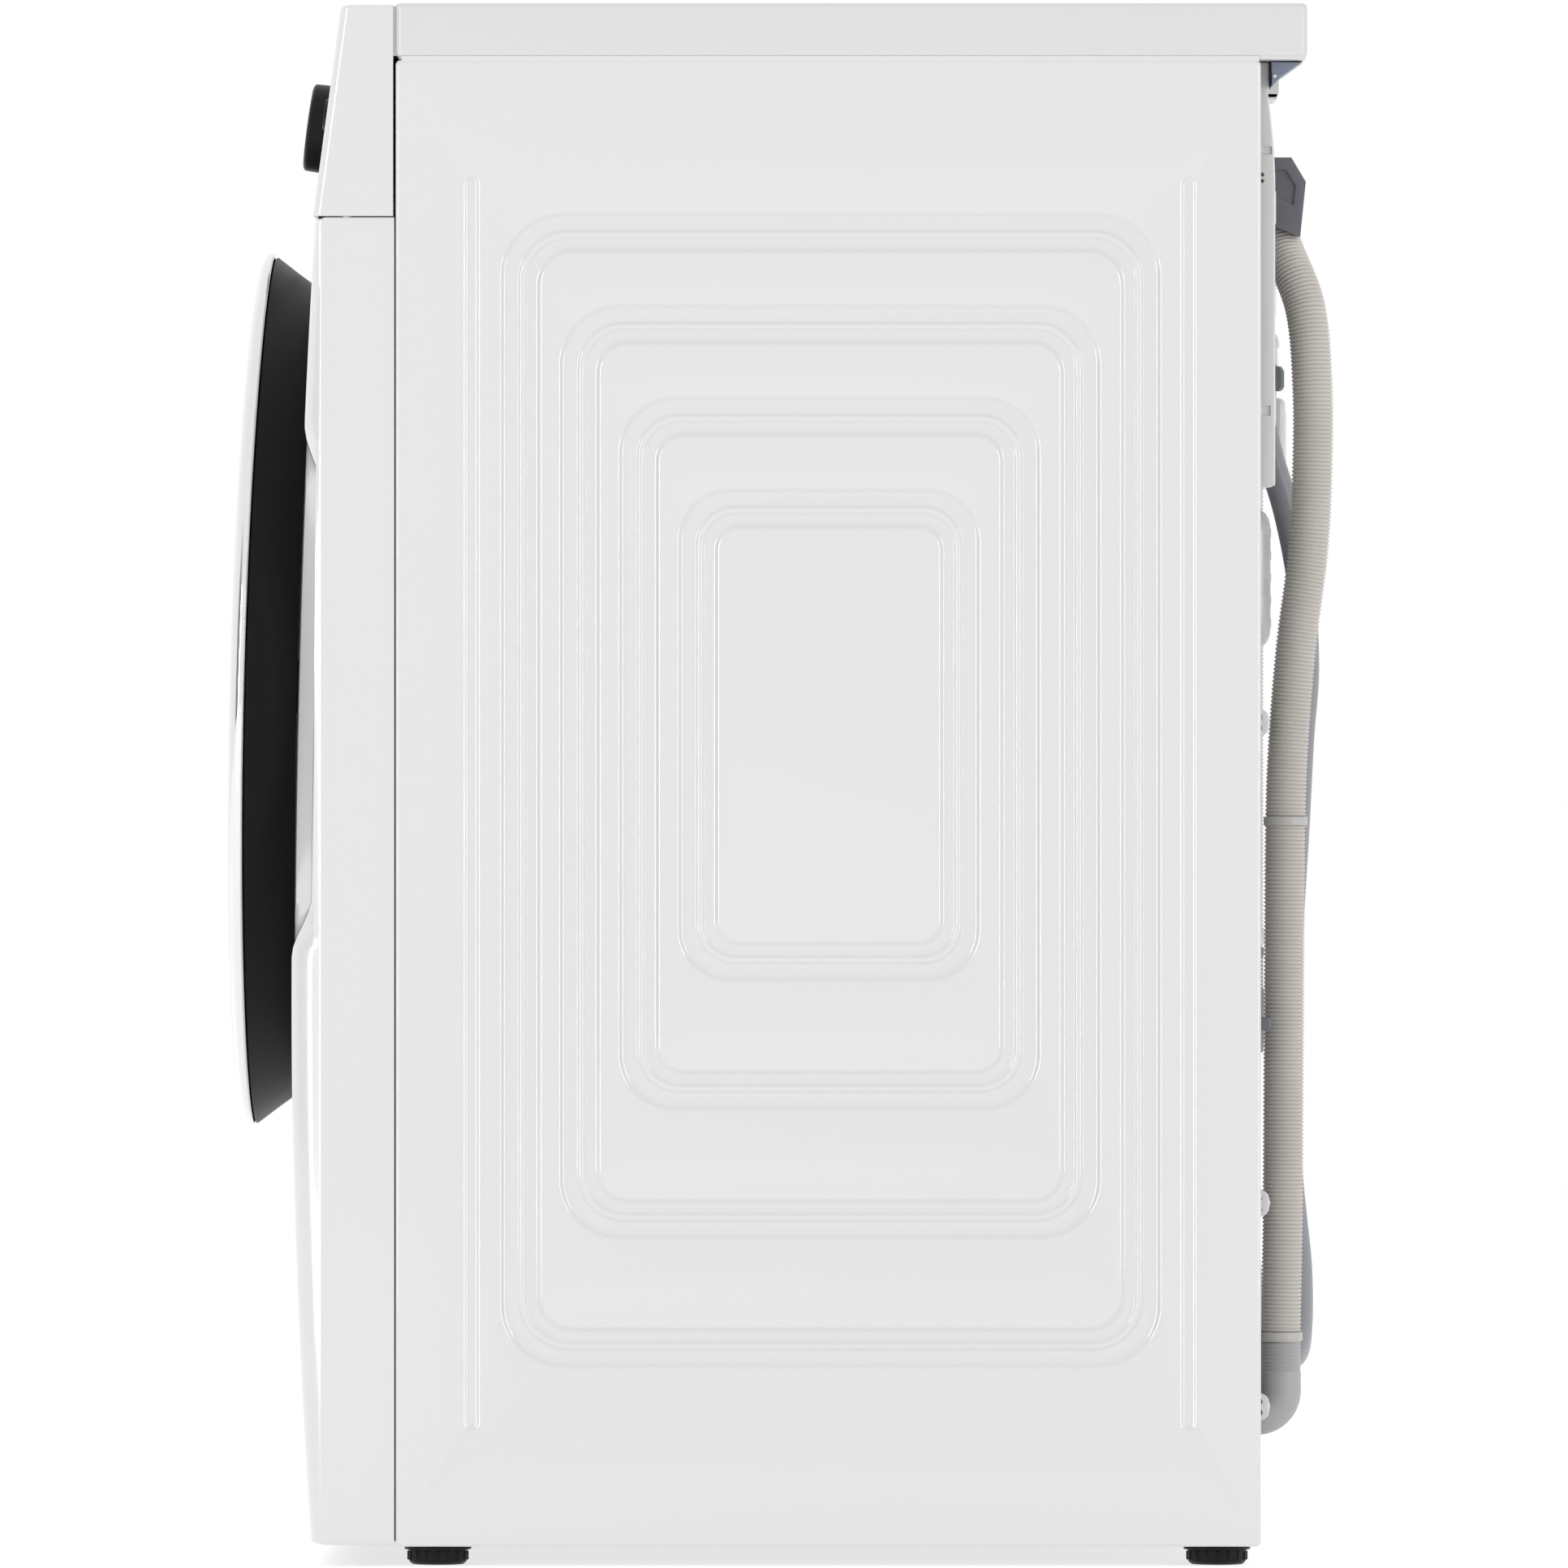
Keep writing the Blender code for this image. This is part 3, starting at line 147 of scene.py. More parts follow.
def studio():
    scene = bpy.context.scene
    scene.view_settings.view_transform = "Standard"
    world = bpy.data.worlds.new("studio")
    world.use_nodes = True
    tree = world.node_tree
    background = tree.nodes["Background"]
    # White all round, with one darker patch in front of the machine for the chrome to show.
    coords = tree.nodes.new("ShaderNodeTexCoord")
    towards = tree.nodes.new("ShaderNodeVectorMath")
    towards.operation = "DOT_PRODUCT"
    towards.inputs[1].default_value = (0.25, -0.96, 0.10)
    tree.links.new(coords.outputs["Generated"], towards.inputs[0])
    ramp = tree.nodes.new("ShaderNodeValToRGB")
    ramp.color_ramp.elements[0].position = 0.90
    ramp.color_ramp.elements[0].color = (1.0, 1.0, 1.0, 1)
    ramp.color_ramp.elements[1].position = 0.97
    ramp.color_ramp.elements[1].color = (0.30, 0.31, 0.33, 1)
    tree.links.new(towards.outputs["Value"], ramp.inputs["Fac"])
    tree.links.new(ramp.outputs["Color"], background.inputs["Color"])
    background.inputs["Strength"].default_value = 1.0
    scene.world = world

    area_light("strip_front", (2.35, -2.75, 0.62), (0.3, 0, 0.45), 0.46, 2.6, 43)
    area_light("strip_rear", (2.35, 2.75, 0.62), (0.3, 0, 0.45), 0.46, 2.6, 29)

    floor = bpy.data.meshes.new("floor")
    edge = 7.0
    floor.from_pydata([(-edge, -edge, 0), (edge, -edge, 0), (edge, edge, 0), (-edge, edge, 0)], [],
                      [(0, 1, 2, 3)])
    floor = bpy.data.objects.new("floor", floor)
    floor.location.z = -0.0003
    scene.collection.objects.link(floor)
    floor.data.materials.append(MAT["floor"])

    camera = bpy.data.cameras.new("camera")
    camera.sensor_width = 36
    camera.lens = 380
    camera.clip_end = 100
    camera = bpy.data.objects.new("camera", camera)
    camera.location = (9.299, 0.0118, 0.4254)
    camera.rotation_euler = (math.radians(90), 0, math.radians(90))
    scene.collection.objects.link(camera)
    scene.camera = camera


# ---------------------------------------------------------------- finishes


def surface(name, colour, roughness, metallic=0.0, vary=0.03, patch=6.0, stretch=(1, 1, 1), grain=0.0,
            grain_size=0.001, roughness_spread=0.15, texture="noise", **sockets):
    """A finish whose colour drifts between patches, with uneven gloss and a fine grain."""
    made = bpy.data.materials.new(name)
    made.use_nodes = True
    tree = made.node_tree
    shader = tree.nodes["Principled BSDF"]

    def node(kind, **values):
        new = tree.nodes.new(kind)
        for key, value in values.items():
            new.inputs[key].default_value = value
        return new

    coords = tree.nodes.new("ShaderNodeTexCoord")
    mapping = node("ShaderNodeMapping", Scale=stretch)
    tree.links.new(coords.outputs["Object"], mapping.inputs["Vector"])
    if texture == "cells":
        spots = node("ShaderNodeTexVoronoi", Scale=patch)
        spots_out = spots.outputs["Color"]
    else:
        spots = node("ShaderNodeTexNoise", Scale=patch, Detail=6.0, Roughness=0.6)
        spots_out = spots.outputs["Fac"]
    tree.links.new(mapping.outputs["Vector"], spots.inputs["Vector"])
    ramp = node("ShaderNodeValToRGB")
    low, high = ramp.color_ramp.elements
    low.position, high.position = 0.25, 0.75
    low.color = (*[c * (1 - vary) for c in colour], 1)
    high.color = (*[min(c * (1 + vary), 1.0) for c in colour], 1)
    tree.links.new(spots_out, ramp.inputs["Fac"])
    tree.links.new(ramp.outputs["Color"], shader.inputs["Base Color"])

    gloss = node("ShaderNodeMapRange")
    gloss.inputs["To Min"].default_value = roughness * (1 - roughness_spread)
    gloss.inputs["To Max"].default_value = roughness * (1 + roughness_spread)
    smudge = node("ShaderNodeTexNoise", Scale=patch * 2.7, Detail=4.0)
    tree.links.new(mapping.outputs["Vector"], smudge.inputs["Vector"])
    tree.links.new(smudge.outputs["Fac"], gloss.inputs["Value"])
    tree.links.new(gloss.outputs["Result"], shader.inputs["Roughness"])

    if grain:
        fine = node("ShaderNodeTexNoise", Scale=1 / grain_size, Detail=3.0)
        tree.links.new(mapping.outputs["Vector"], fine.inputs["Vector"])
        bump = node("ShaderNodeBump", Strength=1.0, Distance=grain)
        tree.links.new(fine.outputs["Fac"], bump.inputs["Height"])
        tree.links.new(bump.outputs["Normal"], shader.inputs["Normal"])
    shader.inputs["Metallic"].default_value = metallic
    for key, value in sockets.items():
        shader.inputs[key.replace("_", " ")].default_value = value
    made.diffuse_color = (*colour, 1)
    return made


def finishes():
    """Every finish of the machine, by the record's slot names and a few more for fittings."""
    white = (0.588, 0.588, 0.588)
    made = {
        "floor": surface("floor", (0.40, 0.40, 0.40), 0.8, vary=0.004, patch=0.8, Emission_Color=(1, 1, 1, 1),
                         Emission_Strength=0.72),
        "enamel": surface("enamel", white, 0.16, vary=0.006, patch=2.0, grain=0.000006, grain_size=0.004,
                          Coat_Weight=1.0, Coat_Roughness=0.04),
        "white_plastic": surface("white_plastic", white, 0.24, vary=0.006, patch=3.0, grain=0.000010,
                                 grain_size=0.0009, Coat_Weight=0.35, Coat_Roughness=0.08),
        "laminate": surface("laminate", (0.560, 0.560, 0.560), 0.30, vary=0.010, patch=5.0, grain=0.00002,
                            grain_size=0.0012),
        "black_plastic": surface("black_plastic", (0.0070, 0.0070, 0.0080), 0.42, vary=0.12, patch=9.0,
                                 grain=0.00002, grain_size=0.0007, Specular_IOR_Level=0.16),
        "dark_glass": surface("dark_glass", (0.006, 0.0065, 0.0075), 0.05, vary=0.10, patch=4.0,
                              Specular_IOR_Level=0.30),
        "chrome": surface("chrome", (0.78, 0.78, 0.80), 0.05, 1.0, vary=0.02, patch=8.0,
                          roughness_spread=0.3),
        "clear_glass": surface("clear_glass", (0.93, 0.96, 0.955), 0.02, vary=0.01, patch=4.0,
                               Transmission_Weight=0.92, IOR=1.47),
        "stainless": surface("stainless", (0.55, 0.55, 0.56), 0.26, 1.0, vary=0.06, patch=14.0,
                             stretch=(1, 9, 1), grain=0.00001, grain_size=0.0006),
        "galvanised": surface("galvanised", (0.40, 0.41, 0.42), 0.42, 1.0, vary=0.05, patch=130.0,
                              texture="cells", grain=0.00001, grain_size=0.002),
        "bracket_steel": surface("bracket_steel", (0.17, 0.195, 0.25), 0.36, 0.55, vary=0.12, patch=18.0,
                                 grain=0.00001, grain_size=0.0015),
        "grey_plastic": surface("grey_plastic", (0.115, 0.115, 0.135), 0.38, vary=0.08, patch=14.0,
                                grain=0.00002, grain_size=0.0008),
        "pale_grey_plastic": surface("pale_grey_plastic", (0.40, 0.41, 0.42), 0.42, vary=0.04, patch=14.0,
                                     grain=0.00002, grain_size=0.0008),
        "hose": surface("hose", (0.50, 0.475, 0.44), 0.42, vary=0.07, patch=16.0, grain=0.00003,
                        grain_size=0.0012, Subsurface_Weight=0.12, Subsurface_Radius=(0.004, 0.0035, 0.003)),
        "inlet_hose": surface("inlet_hose", (0.24, 0.24, 0.265), 0.36, vary=0.06, patch=18.0, grain=0.00002,
                              grain_size=0.0010),
        "dark_nut": surface("dark_nut", (0.070, 0.088, 0.086), 0.36, vary=0.10, patch=30.0, grain=0.00002,
                            grain_size=0.0008),
        "tub_plastic": surface("tub_plastic", (0.47, 0.485, 0.49), 0.55, vary=0.04, patch=10.0, grain=0.00004,
                               grain_size=0.002),
        "rubber": surface("rubber", (0.085, 0.087, 0.09), 0.62, vary=0.10, patch=20.0, grain=0.00003,
                          grain_size=0.0009),
        "concrete": surface("concrete", (0.34, 0.33, 0.31), 0.92, vary=0.22, patch=26.0, grain=0.0006,
                            grain_size=0.004),
        "motor_metal": surface("motor_metal", (0.27, 0.27, 0.28), 0.48, 1.0, vary=0.10, patch=24.0,
                               grain=0.00008, grain_size=0.0012),
        "spring_steel": surface("spring_steel", (0.34, 0.34, 0.36), 0.32, 1.0, vary=0.10, patch=40.0),
        "copper": surface("copper", (0.62, 0.25, 0.12), 0.38, 1.0, vary=0.15, patch=60.0),
        "band": surface("band", (0.42, 0.41, 0.395), 0.40, vary=0.04, patch=30.0),
        "elbow": surface("elbow", (0.33, 0.335, 0.33), 0.40, vary=0.05, patch=24.0, grain=0.00002,
                         grain_size=0.0010),
        "marking": surface("marking", (0.30, 0.31, 0.33), 0.5, vary=0.05, patch=20.0),
        "display_mark": surface("display_mark", (0.55, 0.62, 0.66), 0.4, vary=0.05, patch=20.0,
                                Emission_Color=(0.6, 0.75, 0.85, 1), Emission_Strength=0.35),
    }
    return made


MAT = finishes()


# ---------------------------------------------------------------- modelling helpers


def place_piece(name, bm, material, body, sharp=35):
    """Turns a bmesh into a piece of the machine that rides on a body."""
    bmesh.ops.remove_doubles(bm, verts=bm.verts, dist=0.000004)
    bmesh.ops.recalc_face_normals(bm, faces=bm.faces)
    mesh = bpy.data.meshes.new(name)
    bm.to_mesh(mesh)
    bm.free()
    mesh.shade_smooth()
    mesh.set_sharp_from_angle(angle=math.radians(sharp))
    mesh.materials.append(MAT[material])
    made = bpy.data.objects.new(name, mesh)
    bpy.context.scene.collection.objects.link(made)
    if body:
        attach(made, body)
    return made


def freeze(piece, sharp=35):
    """Keeps what the modifiers make as the piece's own mesh."""
    graph = bpy.context.evaluated_depsgraph_get()
    mesh = bpy.data.meshes.new_from_object(piece.evaluated_get(graph))
    mesh.shade_smooth()
    mesh.set_sharp_from_angle(angle=math.radians(sharp))
    piece.modifiers.clear()
    piece.data = mesh
    return piece


def carve(piece, *tools, operation="DIFFERENCE", sharp=35):
    for tool in tools:
        modifier = piece.modifiers.new(tool.name, "BOOLEAN")
        modifier.operation = operation
        modifier.solver = "EXACT"
        modifier.object = tool
    freeze(piece, sharp)
    for tool in tools:
        bpy.data.objects.remove(tool)
    return piece


def thicken(piece, depth, offset=-1.0):
    modifier = piece.modifiers.new("Sheet", "SOLIDIFY")
    modifier.thickness = depth
    modifier.offset = offset
    return freeze(piece)


def soften(points, radius, steps=4, closed=False):
    """Rounds an outline's corners off, by no more than half of each side next to them."""
    points = [Vector(p) for p in points]
    count = len(points)
    made = []
    for i, point in enumerate(points):
        if not closed and i in (0, count - 1):
            made.append(tuple(point))
            continue
        before, after = points[i - 1], points[(i + 1) % count]
        back, on = before - point, after - point
        reach = min(radius, back.length * 0.48, on.length * 0.48)
        if reach < 1e-7 or back.angle(on) > math.radians(172):
            made.append(tuple(point))
            continue
        first, last = point + back.normalized() * reach, point + on.normalized() * reach
        for k in range(steps + 1):
            t = k / steps
            made.append(tuple(first * (1 - t) ** 2 + point * 2 * t * (1 - t) + last * t * t))
    return made


def arc(centre, radius, first, last, steps):
    angles = [math.radians(first + (last - first) * i / steps) for i in range(steps + 1)]
    return [(centre[0] + radius * math.cos(a), centre[1] + radius * math.sin(a)) for a in angles]


def rounded_rectangle(left, right, low, high, radius, steps=8):
    return (
        arc((right - radius, low + radius), radius, -90, 0, steps)
        + arc((right - radius, high - radius), radius, 0, 90, steps)
        + arc((left + radius, high - radius), radius, 90, 180, steps)
        + arc((left + radius, low + radius), radius, 180, 270, steps)
    )


def turn_to(axis):
    return Vector((0, 0, 1)).rotation_difference(Vector(axis)).to_matrix().to_4x4()


def lathe_into(bm, profile, axis, centre, segments=64, round_off=0.0, steps=3):
    """Turns (radius, height) points about an axis. A profile that starts off the axis is a ring."""
    closed = profile[0][0] > 1e-6
    if round_off:
        profile = soften(profile, round_off, steps, closed)
    place = Matrix.Translation(centre) @ turn_to(axis)
    rings = []
    for radius, height in profile:
        turns = [2 * math.pi * (i + 0.5) / segments for i in range(segments)] if radius > 1e-6 else [0]
        rings.append([bm.verts.new(place @ Vector((radius * math.cos(t), radius * math.sin(t), height)))
                      for t in turns])
    if closed:
        rings.append(rings[0])
    for low, high in zip(rings, rings[1:]):
        for i in range(segments):
            j = (i + 1) % segments
            corners = [low[i % len(low)], low[j % len(low)], high[j % len(high)], high[i % len(high)]]
            bm.faces.new(list(dict.fromkeys(corners)))


def lathe(name, profile, material, body, axis=(0, -1, 0), centre=(0, 0, 0), segments=64, round_off=0.0006,
          sharp=40):
    bm = bmesh.new()
    lathe_into(bm, profile, axis, centre, segments, round_off)
    return place_piece(name, bm, material, body, sharp)


def loft_into(bm, sections, caps=True):
    rings = [[bm.verts.new(point) for point in section] for section in sections]
    for low, high in zip(rings, rings[1:]):
        for i in range(len(low)):
            j = (i + 1) % len(low)
            bm.faces.new((low[i], low[j], high[j], high[i]))
    if caps:
        bm.faces.new(rings[0])
        bm.faces.new(rings[-1])
    return rings


def loft(name, sections, material, body, sharp=35):
    bm = bmesh.new()
    loft_into(bm, sections)
    return place_piece(name, bm, material, body, sharp)


def prism_into(bm, outline, axis, low, high, edge=0.0, steps=3):
    """Extrudes a closed outline along X, Y or Z, with its two end edges rounded off."""
    order = {
        "X": lambda u, v, h: (h, u, v),
        "Y": lambda u, v, h: (u, h, v),
        "Z": lambda u, v, h: (u, v, h),
    }[axis]
    rings = [(low, 0.0), (high, 0.0)]
    if edge:
        turns = [math.pi / 2 * k / steps for k in range(steps + 1)]
        rings = [(low + edge * (1 - math.cos(t)), edge * (1 - math.sin(t))) for t in turns]
        rings += [(high - edge * (1 - math.cos(t)), edge * (1 - math.sin(t))) for t in reversed(turns)]
    sections = []
    for h, inset in rings:
        sections.append([order(u, v, h) for u, v in inset_outline(outline, inset)])
    loft_into(bm, sections)


def inset_outline(outline, inset):
    """Moves an outline's points inwards along its corners' bisectors."""
    if not inset:
        return outline
    points = [Vector(p) for p in outline]
    area = sum(a.x * b.y - b.x * a.y for a, b in zip(points, points[1:] + points[:1]))
    turn = 1 if area > 0 else -1
    made = []
    for i, point in enumerate(points):
        before = (point - points[i - 1])
        after = (points[(i + 1) % len(points)] - point)
        if before.length < 1e-9 or after.length < 1e-9:
            made.append(tuple(point))
            continue
        before, after = before.normalized(), after.normalized()
        inward = Vector((-(before.y + after.y), before.x + after.x)) * turn
        if inward.length < 1e-6:
            made.append(tuple(point))
            continue
        inward.normalize()
        sideways = Vector((-before.y, before.x)) * turn
        made.append(tuple(point + inward * min(inset / max(inward.dot(sideways), 0.5), inset * 2)))
    return made


def prism(name, outline, axis, low, high, material, body, edge=0.0, sharp=35):
    bm = bmesh.new()
    prism_into(bm, outline, axis, low, high, edge)
    return place_piece(name, bm, material, body, sharp)


def block_into(bm, low, high, radius=0.001, steps=3):
    """A box with rounded edges."""
    low, high = Vector(low), Vector(high)
    start = len(bm.verts)
    made = bmesh.ops.create_cube(bm, size=1.0)["verts"]
    size = high - low
    bmesh.ops.transform(bm, verts=made, matrix=Matrix.Translation((low + high) / 2) @ Matrix.Diagonal((*size,
                                                                                                       1)))
    radius = min(radius, min(size) * 0.49)
    if radius > 0:
        edges = list({edge for vertex in made for edge in vertex.link_edges})
        bmesh.ops.bevel(bm, geom=edges, offset=radius, segments=steps, profile=0.5, affect="EDGES")
    return start


def block(name, low, high, material, body, radius=0.001, steps=3):
    bm = bmesh.new()
    block_into(bm, low, high, radius, steps)
    return place_piece(name, bm, material, body)


def cutter(name, build_into):
    """A tool for carve(), made by a function that fills a bmesh."""
    bm = bmesh.new()
    build_into(bm)
    bmesh.ops.recalc_face_normals(bm, faces=bm.faces)
    mesh = bpy.data.meshes.new(name)
    bm.to_mesh(mesh)
    bm.free()
    made = bpy.data.objects.new(name, mesh)
    bpy.context.scene.collection.objects.link(made)
    return made


def smooth_route(points, spacing):
    """Points a set distance apart on the smooth curve through a route's own points."""
    route = [Vector(p) for p in points]
    route = [2 * route[0] - route[1], *route, 2 * route[-1] - route[-2]]
    fine = []
    for a, b, c, d in zip(route, route[1:], route[2:], route[3:]):
        for k in range(24):
            t = k / 24
            fine.append(0.5 * (2 * b + (c - a) * t + (2 * a - 5 * b + 4 * c - d) * t * t
                               + (3 * b - a - 3 * c + d) * t ** 3))
    fine.append(route[-2])
    lengths = [0.0]
    for a, b in zip(fine, fine[1:]):
        lengths.append(lengths[-1] + (b - a).length)
    count = max(2, round(lengths[-1] / spacing))
    placed, k = [], 0
    for i in range(count + 1):
        wanted = lengths[-1] * i / count
        while k < len(lengths) - 2 and lengths[k + 1] < wanted:
            k += 1
        placed.append(fine[k].lerp(fine[k + 1], (wanted - lengths[k]) / (lengths[k + 1] - lengths[k])))
    return placed


def tube_into(bm, points, radii, sides=20):
    """A round tube along points, whose frame turns as little as it can. radii has one value per point."""
    tangents = [(points[min(i + 1, len(points) - 1)] - points[max(i - 1, 0)]).normalized()
                for i in range(len(points))]
    across = tangents[0].orthogonal().normalized()
    sections = []
    for point, tangent, radius in zip(points, tangents, radii):
        across = (across - tangent * across.dot(tangent)).normalized()
        up = tangent.cross(across)
        turns = [2 * math.pi * i / sides for i in range(sides)]
        sections.append([point + (across * math.cos(turn) + up * math.sin(turn)) * radius for turn in turns])
    loft_into(bm, sections)


def tube(name, points, radii, material, body, sides=20):
    bm = bmesh.new()
    tube_into(bm, points, radii, sides)
    return place_piece(name, bm, material, body, 60)


def screw_into(bm, place, axis, radius=0.0036, height=0.0020):
    """A pan-head screw with a cross in its head, standing out of a surface along axis."""
    at = Matrix.Translation(place) @ turn_to(axis)
    rings = [(1.0, 0.0), (1.0, 0.30), (0.92, 0.62), (0.78, 0.85), (0.60, 0.97)]
    segments = 24
    previous = None
    for share, level in rings:
        ring = [bm.verts.new(at @ Vector((radius * share * math.cos(2 * math.pi * i / segments),
                                          radius * share * math.sin(2 * math.pi * i / segments),
                                          height * level)))
                for i in range(segments)]
        if previous:
            for i in range(segments):
                j = (i + 1) % segments
                bm.faces.new((previous[i], previous[j], ring[j], ring[i]))
        else:
            bm.faces.new(ring)
        previous = ring
    arm, slot_half = radius * 0.46, radius * 0.10
    cross = []
    for quarter in range(4):
        turn = Matrix.Rotation(math.pi / 2 * quarter, 3, "Z")
        for x, y in ((arm, -slot_half), (arm, slot_half), (slot_half, slot_half)):
            cross.append(turn @ Vector((x, y, height)))
    top = [bm.verts.new(at @ p) for p in cross]
    sink = Vector((0, 0, height * 0.3))
    deep = [bm.verts.new(at @ (p * 0.8 - sink)) for p in cross]
    rim = [bm.edges.get((previous[i], previous[(i + 1) % segments])) for i in range(segments)]
    inner = [bm.edges.new((top[i], top[(i + 1) % len(top)])) for i in range(len(top))]
    bmesh.ops.triangle_fill(bm, use_beauty=True, use_dissolve=False, edges=rim + inner)
    for i in range(len(top)):
        j = (i + 1) % len(top)
        bm.faces.new((top[i], top[j], deep[j], deep[i]))
    bm.faces.new(deep)


def screws(name, places, axis, body, radius=0.0036, height=0.0020):
    bm = bmesh.new()
    for place in places:
        screw_into(bm, place, axis, radius, height)
    return place_piece(name, bm, "stainless", body, 30)


# ---------------------------------------------------------------- shared shapes


def panel_forward(z):
    """How far the bowed front panel stands in front of the side panels at a height."""
    if z > BELLY_HEIGHT:
        return BELLY - BELLY_DROP_TOP * ((z - BELLY_HEIGHT) / (PANEL_TOP - BELLY_HEIGHT)) ** 2
    return BELLY - BELLY_DROP_BOTTOM * ((z - BELLY_HEIGHT) / (BELLY_HEIGHT - PANEL_BOTTOM)) ** 2


def fascia_forward(z):
    share = (z - FASCIA_BOTTOM) / (FASCIA_TOP - FASCIA_BOTTOM)
    return FASCIA_DEPTH_LOW + (FASCIA_DEPTH_TOP - FASCIA_DEPTH_LOW) * share


def edge_drop(distance, radius):
    """How far a rounded edge falls back at a distance from its end."""
    if distance >= radius:
        return 0.0
    return radius - math.sqrt(max(radius ** 2 - (radius - distance) ** 2, 0.0))


def bow(piece, still=None):
    """Shifts a piece to follow the front panel's bow, fading out towards a depth that stays still."""
    middle = panel_forward(AXIS_HEIGHT)
    for vertex in piece.data.vertices:
        height = min(max(vertex.co.z, PANEL_BOTTOM), PANEL_TOP)
        share = 1.0
        if still is not None:
            share = min(max((still - vertex.co.y) / (still - FRONT + middle), 0.0), 1.0)
        vertex.co.y -= (panel_forward(height) - middle) * share
    return piece


def on_fascia(x, up, out):
    """A point given from the knob's place on the fascia: across, up the slope and out of it."""
    y = FRONT - fascia_forward(KNOB_Z)
    return Vector((x, y + up * math.sin(SLOPE) - out * math.cos(SLOPE),
                   KNOB_Z + up * math.cos(SLOPE) + out * math.sin(SLOPE)))


def fascia_block(bm, left, right, low, high, inner, outer, radius=0.002, steps=4):
    """A block with rounded upright edges whose front and back are parallel to the fascia."""
    outline = rounded_rectangle(left, right, low, high, radius, steps)
    sections = []
    for out in (inner, outer):
        sections.append([(x, FRONT - fascia_forward(z) - out / math.cos(SLOPE), z) for x, z in outline])
    loft_into(bm, sections)


# ---------------------------------------------------------------- hoses


def route_length(points):
    return sum((b - a).length for a, b in zip(points, points[1:]))


def drain_hose():
    """The corrugated drain hose with its cuffs, and the bands that hold it."""
    pitch, rings_per_pitch = 0.0022, 4
    spine = smooth_route(DRAIN_ROUTE, pitch / rings_per_pitch)
    crest = DRAIN_DIAMETER / 2
    plain, last_plain = 0.003, 0.020  # smooth ends under the cuffs
    length = route_length(spine)
    radii, travelled = [], 0.0
    for i, point in enumerate(spine):
        if i:
            travelled += (point - spine[i - 1]).length
        wave = 0.5 - 0.5 * math.cos(2 * math.pi * i / rings_per_pitch)
        if travelled < plain or length - travelled < last_plain:
            wave = 0.45
        radii.append(crest - 0.0011 * wave ** 1.6)
    hose = tube("drain_hose_corrugated", spine, radii, "hose", "cabinet", 22)
    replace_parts(hose, "drain_hose")

    end = spine[-1]
    cuff = lathe("drain_hose_cuff", [(0.0098, -0.004), (0.0110, -0.004), (0.0117, 0.004), (0.0117, 0.030),
                                     (0.0110, 0.034), (0.0110, 0.050), (0.0116, 0.052), (0.0116, 0.056),
                                     (0.0098, 0.056)],
                 "grey_plastic", "cabinet", (0, 0, 1), (end.x, end.y, end.z - 0.004), 40)
    band = hose_band("hose_clamp_end", end.x, end.y, end.z + 0.058, crest + 0.0001, "stainless")
    for name, z, lean in (("tie_band_upper", 0.405, 0.2878), ("tie_band_lower", 0.1215, 0.2851)):
        tie_band(name, DRAIN_ROUTE[0][0], lean, z, crest + 0.0006)


def hose_band(name, x, y, z, radius, material):
    """A worm-drive band with its screw housing."""
    bm = bmesh.new()
    lathe_into(bm, [(radius - 0.0004, -0.0045), (radius + 0.0006, -0.0045), (radius + 0.0006, 0.0045),
                    (radius - 0.0004, 0.0045)], (0, 0, 1), (x, y, z), 40, 0.0002)
    block_into(bm, (x + radius - 0.002, y - 0.005, z - 0.004), (x + radius + 0.004, y + 0.005, z + 0.004),
               0.0012)
    lathe_into(bm, [(0, -0.009), (0.0028, -0.009), (0.0028, -0.006), (0.0020, -0.006), (0.0020, 0.007),
                    (0, 0.007)],
               (0, 1, 0), (x + radius + 0.0015, y, z), 16, 0.0003)
    return place_piece(name, bm, material, "cabinet")


def tie_band(name, x, y, z, radius):
    """A cable tie round the hose, with its head and cut tail."""
    bm = bmesh.new()
    lathe_into(bm, [(radius - 0.0010, -0.0024), (radius + 0.0001, -0.0024), (radius + 0.0001, 0.0024),
                    (radius - 0.0010, 0.0024)], (0, 0, 1), (x, y, z), 40, 0.0003)
    block_into(bm, (x - radius - 0.0032, y - 0.003, z - 0.0032), (x - radius + 0.0008, y + 0.003, z + 0.0032),
               0.0008)
    block_into(bm, (x - radius - 0.0024, y - 0.011, z - 0.0018), (x - radius - 0.0010, y - 0.002, z + 0.0018),
               0.0004)
    return place_piece(name, bm, "band", "cabinet")


